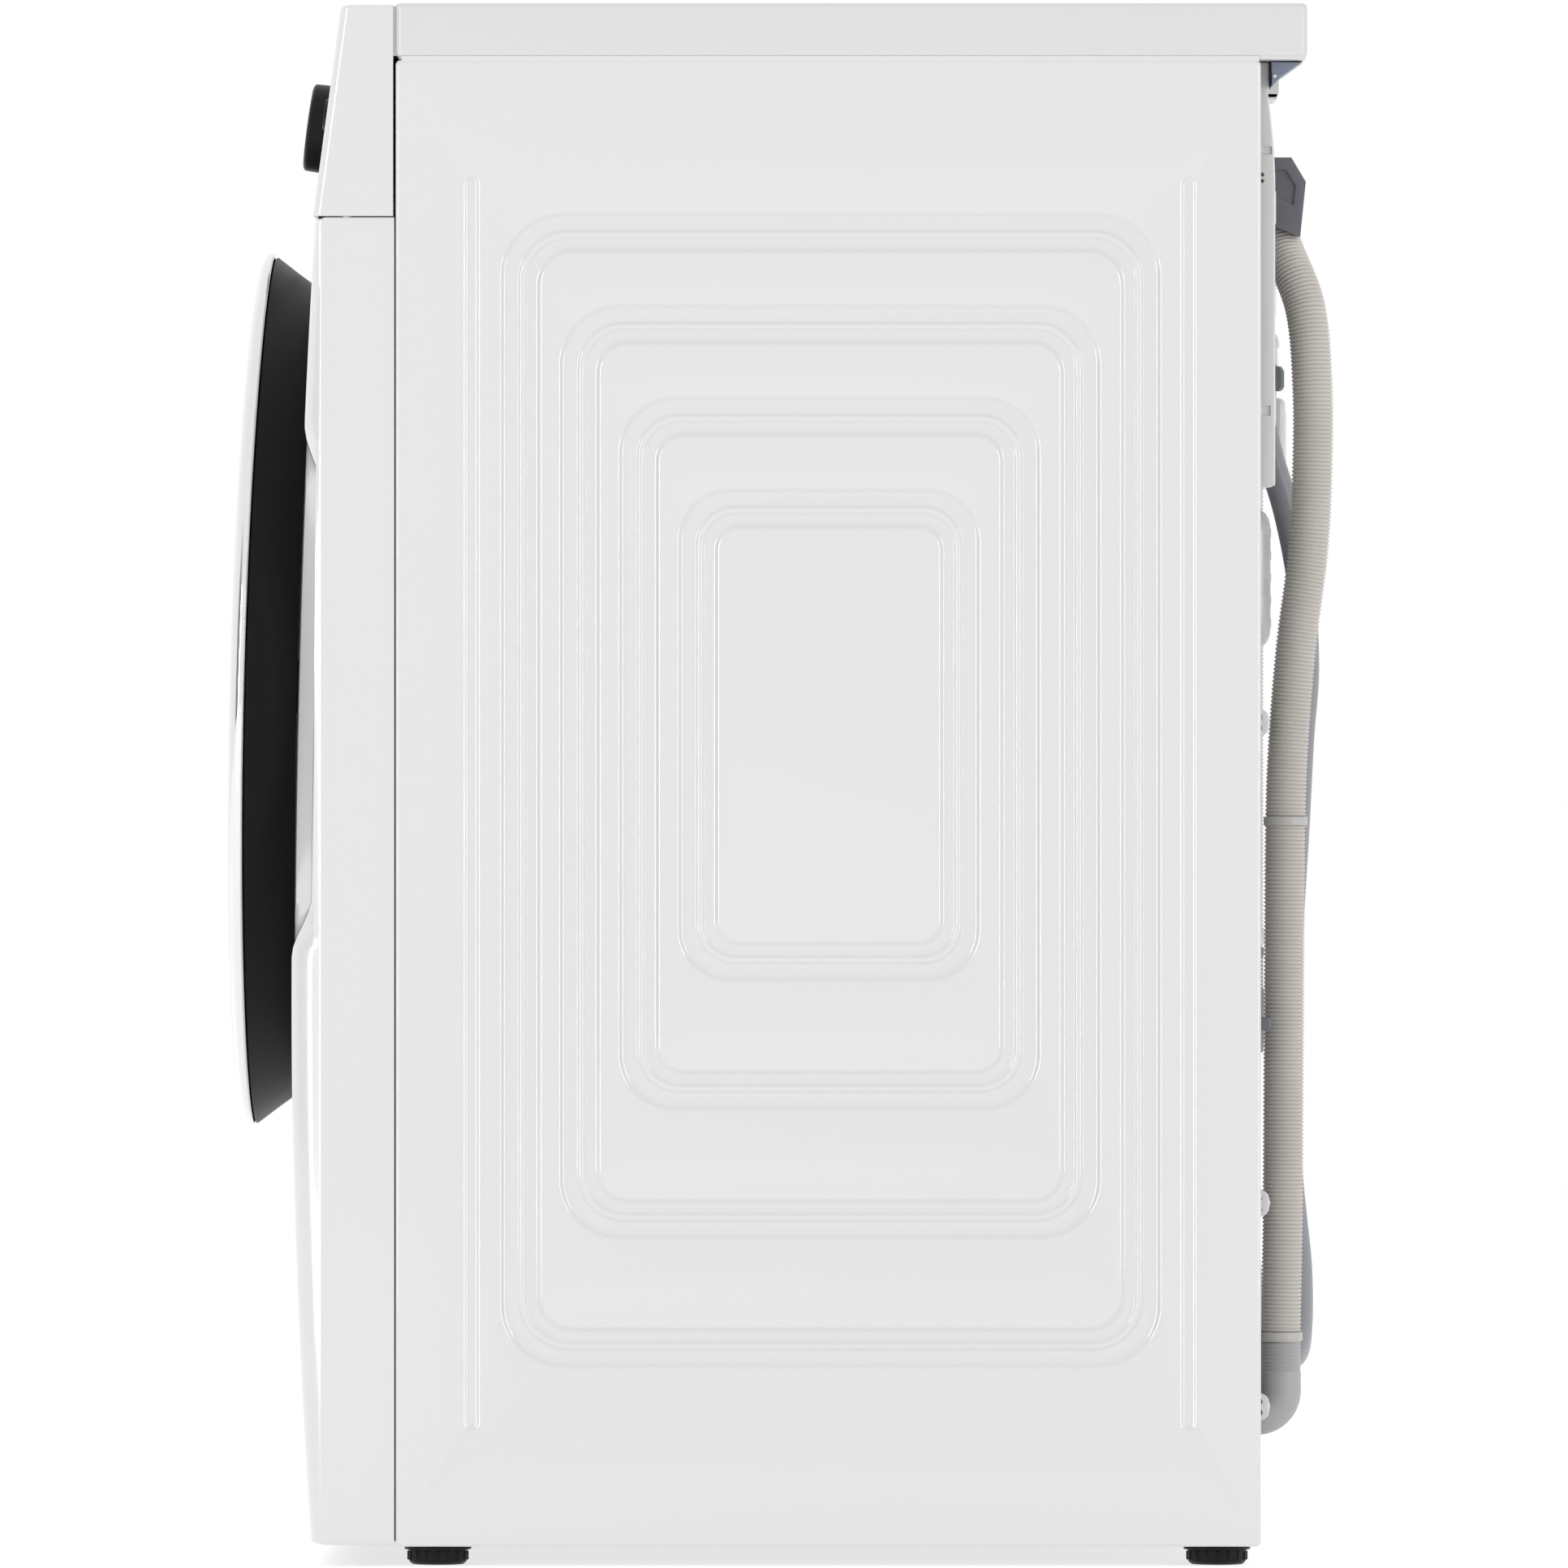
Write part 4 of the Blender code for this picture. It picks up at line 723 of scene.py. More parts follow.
def inlet_hose():
    """The smooth inlet hose, its ferrules and the union nuts at both ends."""
    spine = smooth_route(INLET_ROUTE, 0.006)
    radius = INLET_DIAMETER / 2
    hose = tube("inlet_hose_smooth", spine, [radius] * len(spine), "inlet_hose", "cabinet", 24)
    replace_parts(hose, "inlet_hose")
    x, y, _ = INLET_ROUTE[0]
    nut_low, nut_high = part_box("inlet_nut")
    machine_nut = union_nut("inlet_nut_knurled", (x, y, 0), nut_low.z, nut_high.z, 0.0118)
    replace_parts(machine_nut, "inlet_nut")
    end = spine[-1]
    tap_nut = union_nut("tap_end_nut", (end.x, end.y, 0), end.z + 0.004, end.z + 0.026, 0.0122)
    sleeve = lathe("tap_end_ferrule", [(0.0060, -0.022), (0.0084, -0.022), (0.0088, -0.018), (0.0088, 0.002),
                                       (0.0100, 0.0035), (0.0100, 0.0065), (0.0060, 0.0065)],
                   "grey_plastic", "cabinet", (0, 0, 1), tuple(end), 32, 0.0006)
    bm = bmesh.new()
    low, high = 0.606, 0.624
    block_into(bm, (end.x - 0.013, BACK_FACE, low - 0.003), (end.x + 0.013, BACK_FACE + 0.003, high + 0.003),
               0.001)
    outline = arc((end.x, 0.2761), 0.0102, -35, 215, 18) + arc((end.x, 0.2761), 0.0078, 215, -35, 18)
    prism_into(bm, outline, "Z", low, high, 0.0004)
    block_into(bm, (end.x - 0.004, BACK_FACE + 0.002, low), (end.x + 0.004, 0.2684, high), 0.0008)
    place_piece("tap_hose_clip", bm, "white_plastic", "cabinet")


def union_nut(name, centre, low, high, radius):
    """A ribbed plastic union nut."""
    bm = bmesh.new()
    ribs = 12
    steps = 6
    levels = [(low, 0.84), (low + 0.0012, 0.95), (low + 0.0024, 1.0), (high - 0.0028, 1.0),
              (high - 0.0012, 0.93),
              (high, 0.86)]
    sections = []
    for z, share in levels:
        ring = []
        for i in range(ribs * steps):
            turn = 2 * math.pi * i / (ribs * steps)
            rib = max(0.0, math.cos(ribs * turn)) ** 0.5
            r = radius * share * (0.93 + 0.07 * rib)
            ring.append((centre[0] + r * math.cos(turn), centre[1] + r * math.sin(turn), z))
        sections.append(ring)
    loft_into(bm, sections)
    return place_piece(name, bm, "dark_nut", "cabinet", 40)


# ---------------------------------------------------------------- cabinet


def stamped_profile():
    """Depth of the stamped band against the distance from its outer edge: a sunk band with a raised bead."""
    sunk, bead = 0.0023, 0.0013
    points = []

    def slope(start, end, before, after, steps=6):
        for k in range(steps + 1):
            t = k / steps
            points.append((start + (end - start) * t, before + (after - before) * (t * t * (3 - 2 * t))))

    slope(-0.0012, 0.0028, 0.0, sunk)
    slope(0.0088, 0.0112, sunk, sunk - bead)
    slope(0.0122, 0.0146, sunk - bead, sunk)
    slope(0.0187, 0.0227, sunk, 0.0)
    return points


def side_panel(side, node, name):
    """A pressed side sheet: four nested bands, two upright beads and edges folded in all round."""
    depth_of = stamped_profile()
    fold, flange = 0.0022, 0.016
    steps = 14
    bm = bmesh.new()

    def ring(left, right, low, high, radius, depth):
        return [bm.verts.new((side * (HALF - depth), y, z))
                for y, z in rounded_rectangle(left, right, low, high, radius, steps)]

    def bridge(wide, narrow):
        for i in range(len(wide)):
            j = (i + 1) % len(wide)
            bm.faces.new((wide[i], wide[j], narrow[j], narrow[i]))

    def edges_of(loop):
        return [bm.edges.get((loop[i], loop[(i + 1) % len(loop)])) or
                bm.edges.new((loop[i], loop[(i + 1) % len(loop)])) for i in range(len(loop))]

    # the folded border, from the flange inside to the flat face
    border = [ring(FRONT, REAR, CABINET_BOTTOM, SIDE_TOP, 0.0030, flange)]
    for k in range(7):
        t = math.pi / 2 * k / 6
        inset = fold * (1 - math.cos(t))
        border.append(ring(FRONT + inset, REAR - inset, CABINET_BOTTOM + inset, SIDE_TOP - inset, 0.0030,
                           fold * (1 - math.sin(t))))
    for wide, narrow in zip(border, border[1:]):
        bridge(wide, narrow)

    inner_rings = []
    for number in range(4):
        left, right = -0.1422 + 0.0322 * number, 0.2166 - 0.0328 * number
        low, high = 0.108 + 0.070 * number, 0.736 - 0.050 * number
        radius = 0.034 - 0.002 * number
        loops = [ring(left + d, right - d, low + d, high - d, max(radius - d * 0.75, 0.004), depth)
                 for d, depth in depth_of]
        for wide, narrow in zip(loops, loops[1:]):
            bridge(wide, narrow)
        inner_rings.append(loops)

    beads = []
    for middle in (-0.1581, 0.2318):
        half, low, high = 0.0052, 0.0725, 0.7570
        loops = []
        for k in range(7):
            t = k / 6
            inset = (half - 0.0003) * t
            rise = 0.0017 * math.sin(math.pi / 2 * min(t * 1.35, 1)) ** 2
            outline = arc((middle, high - half), half - inset, 0, 180, 16)
            outline += arc((middle, low + half), half - inset, 180, 360, 16)
            loops.append([bm.verts.new((side * (HALF - rise), y, z)) for y, z in outline])
        for wide, narrow in zip(loops, loops[1:]):
            bridge(wide, narrow)
        bm.faces.new(loops[-1])
        beads.append(loops[0])

    flats = [[border[-1], inner_rings[0][0], *beads]]
    flats += [[inner_rings[i][-1], inner_rings[i + 1][0]] for i in range(3)]
    for loops in flats:
        edges = [edge for loop in loops for edge in edges_of(loop)]
        bmesh.ops.triangle_fill(bm, use_beauty=True, use_dissolve=False, edges=edges)
    bm.faces.new(inner_rings[-1][-1])
    panel = place_piece(name, bm, "enamel", "cabinet", 50)
    # The filled flats may come out facing either way, so the sheet's own outside is set here.
    outward = sum(face.normal.x * face.area for face in panel.data.polygons)
    thicken(panel, 0.0009, -1.0 if outward * side > 0 else 1.0)
    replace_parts(panel, node)
    return panel


def worktop():
    """The laminated board in its plastic edging, which shows as a fine line along the sides."""
    low, high = worktop_low, worktop_high
    bm = bmesh.new()
    outline = rounded_rectangle(low.x, high.x, low.y + 0.0004, high.y, 0.0045, 6)
    prism_into(bm, outline, "Z", low.z + 0.0012, high.z, 0.0024, 5)
    edging = place_piece("worktop_edging", bm, "laminate", "cabinet")
    inset = 0.0009
    bm = bmesh.new()
    outline = rounded_rectangle(low.x + inset, high.x - inset, low.y + 0.002, high.y - inset, 0.004, 6)
    prism_into(bm, outline, "Z", low.z, low.z + 0.0030, 0.0008, 3)
    board = place_piece("worktop_board", bm, "laminate", "cabinet")
    bm = bmesh.new()
    outline = rounded_rectangle(low.x + 0.010, high.x - 0.010, low.y + 0.012, high.y - 0.010, 0.006, 6)
    prism_into(bm, outline, "Z", high.z - 0.0030, high.z + 0.00015, 0.0001, 1)
    top = place_piece("worktop_laminate", bm, "laminate", "cabinet")
    for piece in (edging, board, top):
        recess = cutter(f"{piece.name}_recess", lambda b: block_into(
            b, (-NOTCH_HALF, NOTCH_Y, low.z - 0.01), (NOTCH_HALF, high.y + 0.01, high.z + 0.01), 0))
        carve(piece, recess)
    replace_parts(edging, "worktop")
    # tongues that close the joints along the fascia and over the side panels
    bm = bmesh.new()
    block_into(bm, (-HALF + 0.0032, low.y - 0.0022, low.z + 0.002),
               (HALF - 0.0032, low.y + 0.003, high.z - 0.0014), 0)
    for side in (-1, 1):
        near, far = sorted((side * (HALF - 0.0004), side * (HALF - 0.006)))
        block_into(bm, (near, low.y + 0.004, low.z - 0.0012), (far, REAR - 0.001, low.z + 0.0018), 0)
    place_piece("worktop_tongue", bm, "white_plastic", "cabinet")


# ---------------------------------------------------------------- front


def front_outline(forward, corner, inset, back, columns):
    """The front seen from above: left side, a fine flat at the crease, curved corner, front face and back."""
    half = HALF - 0.001 - inset
    front = FRONT - forward + inset
    crease = front + max(corner - inset, 0.0015)
    first = math.radians(CREASE_TILT)
    flat = CREASE_FLAT if not inset else 0.0
    start = (half - flat * math.sin(first), crease - flat * math.cos(first))
    turned = []
    for k in range(9):
        t = first + (math.pi / 2 - first) * k / 8
        across = (math.cos(first) - math.cos(t)) / math.cos(first)
        ahead = (math.sin(t) - math.sin(first)) / (1 - math.sin(first))
        turned.append((start[0] - CORNER_WIDTH * across, start[1] - (start[1] - front) * ahead))
    right = [(half, back), (half, back + (crease - back) * 0.5), (half, crease)] + turned
    left = [(-x, y) for x, y in right]
    return left + [(x, front) for x in columns] + right[::-1]


def smooth_step(low, high, value):
    t = min(max((value - low) / (high - low), 0.0), 1.0)
    return t * t * (3 - 2 * t)


def scoop_depth(x, z):
    """Depth of the finger scoop beside the door, which runs out into the panel's right corner."""
    upright = smooth_step(0.331, 0.364, z) * (1 - smooth_step(0.583, 0.622, z))
    sideways = smooth_step(0.228, 0.246, x) * (1 - smooth_step(0.2942, 0.2968, x))
    return 0.0105 * upright * sideways


def front_shell_into(bm, thickness):
    """The bowed panel as a bent sheet, open at the back, with its edges turned in."""
    back = FRONT - 0.0007
    columns = [-0.27 + 0.018 * k for k in range(27)] + [0.207 + 0.004 * k for k in range(19)]
    columns = sorted(x for x in columns if abs(x) < HALF - CORNER_WIDTH - 0.003)
    levels = [PANEL_BOTTOM + 0.003 * (1 - math.cos(math.pi / 2 * k / 4)) for k in range(5)]
    levels += [PANEL_BOTTOM + 0.012 + 0.0125 * k for k in range(57)]
    levels = sorted(set(levels + [0.325 + 0.006 * k for k in range(50)]
                        + [PANEL_TOP - 0.003 * (1 - math.cos(math.pi / 2 * k / 4)) for k in range(5)]))
    kept = [levels[0]]
    for z in levels[1:]:
        if z - kept[-1] > 0.0002:
            kept.append(z)
    sections = []
    for z in kept:
        drop = max(edge_drop(z - PANEL_BOTTOM, 0.003), edge_drop(PANEL_TOP - z, 0.003))
        forward = panel_forward(z)
        corner = forward - (FRONT - CREASE)
        loops = []
        for inset in (0.0, thickness):
            loops.append(front_outline(forward - drop, corner, inset + drop * 0.4, back, columns))
        loop = loops[0] + loops[1][::-1]
        sections.append([(x, y + (scoop_depth(x, z) if y < FRONT - 0.02 else 0.0), z) for x, y in loop])
    loft_into(bm, sections)


def front_panel():
    bm = bmesh.new()
    front_shell_into(bm, 0.0022)
    panel = place_piece("front_panel_bowed", bm, "enamel", "cabinet", 19)
    port = cutter("port_cut", lambda b: lathe_into(
        b, [(0, 0.205), (PORT_RADIUS, 0.205), (PORT_RADIUS, 0.30), (0, 0.30)], (0, -1, 0),
        (0, 0, AXIS_HEIGHT), 96))
    latch = cutter("latch_cut", lambda b: block_into(b, (0.198, -0.30, 0.464), (0.2205, -0.215, 0.494), 0))
    flap = cutter("flap_cut", lambda b: prism_into(
        b, rounded_rectangle(FLAP_LEFT, FLAP_RIGHT, FLAP_LOW, FLAP_HIGH, 0.004, 4), "Y", -0.30, -0.215))
    carve(panel, port, latch, flap, sharp=19)
    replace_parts(panel, "front_panel")

    # Painted shade: dark rubber-coloured strips stand behind the joints between the front panel and the side
    # panels, in place of the shade seen inside those gaps.
    bm = bmesh.new()
    for side in (-1, 1):
        near, far = sorted((side * 0.2885, side * 0.2955))
        block_into(bm, (near, FRONT - 0.0040, PANEL_BOTTOM + 0.002),
                   (far, FRONT + 0.0030, FASCIA_BOTTOM - 0.002),
                   0.0008)
    place_piece("front_gap_shade_strip", bm, "rubber", "cabinet")

    # the rolled edge round the port, over which the gasket fits
    rim = [(PORT_RADIUS - 0.0016, -0.0006), (PORT_RADIUS + 0.0030, -0.0006), (PORT_RADIUS + 0.0030, 0.0004),
           (PORT_RADIUS + 0.0004, 0.0005), (PORT_RADIUS + 0.0001, 0.006), (PORT_RADIUS - 0.0014, 0.006)]
    bow(lathe("port_rim", [(r, -h) for r, h in rim], "enamel", "cabinet", (0, -1, 0),
              (0, FRONT - panel_forward(AXIS_HEIGHT) + 0.0004, AXIS_HEIGHT), 96, 0.0004))

    bm = bmesh.new()
    front_shell_into(bm, 0.0022)
    flap = place_piece("service_flap_moulded", bm, "enamel", "flap", 50)
    fitted = cutter("flap_fit", lambda b: prism_into(
        b, rounded_rectangle(FLAP_LEFT + SEAM, FLAP_RIGHT - SEAM, FLAP_LOW + SEAM, FLAP_HIGH - SEAM, 0.0036,
                             4),
        "Y", -0.30, -0.215))
    carve(flap, fitted, operation="INTERSECT", sharp=50)
    notch = cutter("flap_notch", lambda b: prism_into(
        b, rounded_rectangle(0.156, 0.184, FLAP_HIGH - 0.0045, FLAP_HIGH + 0.004, 0.002, 4), "Y", -0.30,
        -0.2515))
    carve(flap, notch, sharp=50)
    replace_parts(flap, "service_flap")


def fascia():
    """The sloping control panel with its openings, the display and the generic marks round the knob."""
    bm = bmesh.new()
    levels = [FASCIA_BOTTOM + 0.002 * (1 - math.cos(math.pi / 2 * k / 4)) for k in range(5)]
    levels += [FASCIA_BOTTOM + 0.010 * k for k in range(1, 11)]
    levels += [FASCIA_TOP - 0.0018 * (1 - math.sin(math.pi / 2 * k / 6)) for k in range(7)]
    columns = [-0.27 + 0.02 * k for k in range(28)]
    sections = []
    for z in levels:
        drop = max(edge_drop(z - FASCIA_BOTTOM, 0.0012), edge_drop(FASCIA_TOP - z, 0.0018))
        sections.append([(x, y, z) for x, y in front_outline(
            fascia_forward(z) - drop, FASCIA_CORNER, drop * 0.5, FRONT - 0.0013, columns)])
    loft_into(bm, sections)
    panel = place_piece("control_fascia_moulded", bm, "white_plastic", "cabinet", 19)

    def hollow(b):
        loft_into(b, [[(x, y, z) for x, y in front_outline(fascia_forward(z), FASCIA_CORNER, 0.0025,
                                                           FRONT + 0.02,
                                                           columns)]
                      for z in (FASCIA_BOTTOM - 0.02, FASCIA_TOP - 0.0025)])

    tools = [
        cutter("fascia_hollow", hollow),
        cutter("drawer_cut", lambda b: fascia_block(b, DRAWER_LEFT, DRAWER_RIGHT, DRAWER_LOW, DRAWER_HIGH,
                                                    -0.012,
                                                    0.01, 0.003)),
        cutter("window_cut", lambda b: fascia_block(b, WINDOW_LEFT, WINDOW_RIGHT, WINDOW_LOW, WINDOW_HIGH,
                                                    -0.012,
                                                    0.01, 0.003)),
        cutter("shaft_cut", lambda b: lathe_into(b, [(0, -0.01), (0.0045, -0.01), (0.0045, 0.01), (0, 0.01)],
                                                 OUTWARD, on_fascia(0, 0, 0), 32)),
        cutter("knob_seat_cut", lambda b: lathe_into(b, [(0.0262, -0.0008), (0.0275, -0.0008), (0.0275, 0.01),
                                                         (0.0262, 0.01)], OUTWARD, on_fascia(0, 0, 0), 64)),
        cutter("button_cut", lambda b: lathe_into(b, [(0, -0.01), (0.0095, -0.01), (0.0095, 0.01), (0, 0.01)],
                                                  OUTWARD, on_fascia(BUTTON_X, 0, 0), 40)),
    ]
    carve(panel, *tools, sharp=19)
    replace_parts(panel, "control_fascia")

    bm = bmesh.new()
    fascia_block(bm, WINDOW_LEFT + 0.0003, WINDOW_RIGHT - 0.0003, WINDOW_LOW + 0.0003, WINDOW_HIGH - 0.0003,
                 -0.002,
                 0.0004, 0.0028, 8)
    window = place_piece("display_window_pane", bm, "dark_glass", "cabinet")
    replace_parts(window, "display_window")
    fascia_marks()
    knob_and_button()


OUTWARD = on_fascia(0, 0, 1) - on_fascia(0, 0, 0)


def plate_on_fascia(bm, x, up, half_x, half_up, out, height=0.00012):
    """A thin printed mark standing just proud of the fascia."""
    corners = [(-half_x, -half_up), (half_x, -half_up), (half_x, half_up), (-half_x, half_up)]
    sections = [[on_fascia(x + u, up + v, out + level) for u, v in corners] for level in (-0.0001, height)]
    loft_into(bm, sections)


def fascia_marks():
    bm = bmesh.new()
    for number in range(16):
        turn = math.radians(22.5 * number + 90)
        if number == 8:
            continue
        for step in range(3 if number % 4 == 0 else 1):
            radius = 0.0305 + 0.0016 * step
            plate_on_fascia(bm, radius * math.cos(turn), radius * math.sin(turn), 0.0007, 0.0007, 0.0)
    for number in range(16):
        turn = math.radians(22.5 * number + 90)
        if number % 4 == 2:
            plate_on_fascia(bm, 0.0385 * math.cos(turn), 0.0385 * math.sin(turn), 0.0040, 0.0005, 0.0)
    place_piece("programme_marks", bm, "marking", "cabinet")
    bm = bmesh.new()
    middle = (WINDOW_LEFT + WINDOW_RIGHT) / 2
    for digit in range(3):
        x = middle - 0.018 + 0.014 * digit + (0.004 if digit else 0)
        for u, v, half_u, half_v in ((0, 0.009, 0.0032, 0.0006), (0, 0, 0.0032, 0.0006),
                                     (0, -0.009, 0.0032, 0.0006),
                                     (-0.0042, 0.0045, 0.0006, 0.0034), (0.0042, 0.0045, 0.0006, 0.0034),
                                     (-0.0042, -0.0045, 0.0006, 0.0034), (0.0042, -0.0045, 0.0006, 0.0034)):
            plate_on_fascia(bm, x + u, 0.001 + v, half_u, half_v, 0.0004, 0.0001)
    for number in range(5):
        plate_on_fascia(bm, WINDOW_LEFT + 0.013 + 0.0074 * number, -0.015, 0.0022, 0.0004, 0.0004, 0.0001)
        plate_on_fascia(bm, WINDOW_RIGHT - 0.012 - 0.0074 * number, -0.015, 0.0022, 0.0004, 0.0004, 0.0001)
    place_piece("display_marks", bm, "display_mark", "cabinet")


def knob_and_button():
    centre = on_fascia(0, 0, 0)
    bm = bmesh.new()
    segments, flutes = 144, 48
    profile = soften([(0.0220, 0.0012), (KNOB_RADIUS, 0.0012), (KNOB_RADIUS - 0.0005, 0.0173),
                      (KNOB_RADIUS - 0.0022, 0.0183), (0.0210, 0.0186)], 0.0011, 5)
    profile += [(0.0195, 0.0187), (0.0185, 0.0184), (0.0100, 0.0188), (0.0030, 0.0191)]
    place = Matrix.Translation(centre) @ turn_to(OUTWARD)
    rings = []
    for radius, height in profile:
        ring = []
        for i in range(segments):
            turn = 2 * math.pi * i / segments
            on_grip = 0.0024 < height < 0.0162 and radius > 0.0235
            ribbed = 0.00022 * math.cos(flutes * turn) if on_grip else 0.0
            ring.append(bm.verts.new(place @ Vector(((radius + ribbed) * math.cos(turn),
                                                     (radius + ribbed) * math.sin(turn), height))))
        rings.append(ring)
    for low, high in zip(rings, rings[1:]):
        for i in range(segments):
            j = (i + 1) % segments
            bm.faces.new((low[i], low[j], high[j], high[i]))
    bm.faces.new(rings[-1])
    bm.faces.new(rings[0])
    lathe_into(bm, [(0, -0.014), (0.004, -0.014), (0.004, 0.0016), (0, 0.0016)], OUTWARD, centre, 32, 0.0004)
    knob = place_piece("program_knob_ribbed", bm, "black_plastic", "knob")
    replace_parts(knob, "program_knob")
    bm = bmesh.new()
    plate_on_fascia(bm, 0, 0.0180, 0.0006, 0.0034, 0.0186, 0.0003)
    place_piece("knob_pointer", bm, "white_plastic", "knob")

    centre = on_fascia(BUTTON_X, 0, 0)
    profile = [(0, -0.008), (0.0088, -0.008), (0.0090, 0.0018), (0.0078, 0.0031), (0.0040, 0.0028),
               (0, 0.0027)]
    button = lathe("start_button_cap", profile, "black_plastic", "start_button", OUTWARD, centre, 48, 0.0006)
    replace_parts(button, "start_button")
    lathe("start_button_ring", [(0.00955, -0.0004), (0.0114, -0.0004), (0.0114, 0.0003), (0.0104, 0.0009),
                                       (0.00955, 0.0004)], "chrome", "cabinet", OUTWARD, centre, 48, 0.0002)
    bm = bmesh.new()
    for u, v, w, h in ((-0.0011, 0, 0.00045, 0.0020), (0.0011, 0, 0.00045, 0.0020)):
        plate_on_fascia(bm, BUTTON_X + u, v, w, h, 0.00275, 0.0001)
    place_piece("start_button_mark", bm, "display_mark", "start_button")


# ---------------------------------------------------------------- drawer


def drawer():
    """The drawer's front with its finger pull, and the tray with three compartments and a siphon cap."""
    bm = bmesh.new()
    fascia_block(bm, DRAWER_LEFT + SEAM, DRAWER_RIGHT - SEAM, DRAWER_LOW + SEAM, DRAWER_HIGH - SEAM, -0.0076,
                 0.0,
                 0.0026, 6)
    front = place_piece("drawer_front_moulded", bm, "white_plastic", "drawer")
    pull = cutter("pull_cut", lambda b: fascia_block(b, -0.240, -0.150, 0.744, 0.764, -0.0050, 0.003, 0.008,
                                                     8))
    carve(front, pull)
    bevel = front.modifiers.new("Edges", "BEVEL")
    bevel.width, bevel.segments, bevel.limit_method, bevel.angle_limit = 0.0006, 3, "ANGLE", math.radians(40)
    freeze(front)
    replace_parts(front, "drawer_front")

    low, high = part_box("drawer_tray")
    tray = block("drawer_tray_moulded", low, high, "white_plastic", "drawer", 0.004, 4)
    walls = [low.x, -0.223, -0.168, high.x]
    cuts = []
    for number, (left, right) in enumerate(zip(walls, walls[1:])):
        cuts.append(cutter(f"bay_{number}", lambda b, l=left, r=right: block_into(
            b, (l + 0.0015, low.y + 0.002, low.z + 0.002), (r - 0.0015, high.y - 0.002, high.z + 0.03), 0.005,
            4)))
    cuts.append(cutter("back_step", lambda b: block_into(
        b, (low.x - 0.01, high.y - 0.05, high.z - 0.012), (high.x + 0.01, high.y + 0.01, high.z + 0.01),
        0.006, 4)))
    carve(tray, *cuts)
    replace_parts(tray, "drawer_tray")
    bm = bmesh.new()
    block_into(bm, (-0.2215, -0.215, high.z - 0.008), (-0.1695, -0.165, high.z - 0.0055), 0.001)
    lathe_into(bm, [(0, -0.038), (0.0055, -0.038), (0.0065, 0), (0, 0)], (0, 0, 1),
               (-0.196, -0.190, high.z - 0.007),
               24, 0.001)
    for k in range(4):
        block_into(bm, (-0.214 + 0.010 * k, -0.209, high.z - 0.0062),
                   (-0.209 + 0.010 * k, -0.172, high.z - 0.0048),
                   0.0006)
    place_piece("siphon_cap", bm, "pale_grey_plastic", "drawer")

    low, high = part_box("dispenser_housing")
    house = block("dispenser_housing_moulded", low, high, "white_plastic", "cabinet", 0.004,
                  4)
    hollow = cutter("house_cut", lambda b: block_into(b, (low.x + 0.002, low.y - 0.02, low.z + 0.002),
                                                      (high.x - 0.002, high.y - 0.002, high.z - 0.002), 0.003,
                                                      3))
    carve(house, hollow)
    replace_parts(house, "dispenser_housing")
    bm = bmesh.new()
    for k in range(6):
        y = low.y + 0.025 + 0.030 * k
        block_into(bm, (low.x + 0.006, y, high.z - 0.0002), (high.x - 0.006, y + 0.003, high.z + 0.0012),
                   0.0005)
    place_piece("dispenser_ribs", bm, "white_plastic", "cabinet")


# ---------------------------------------------------------------- door


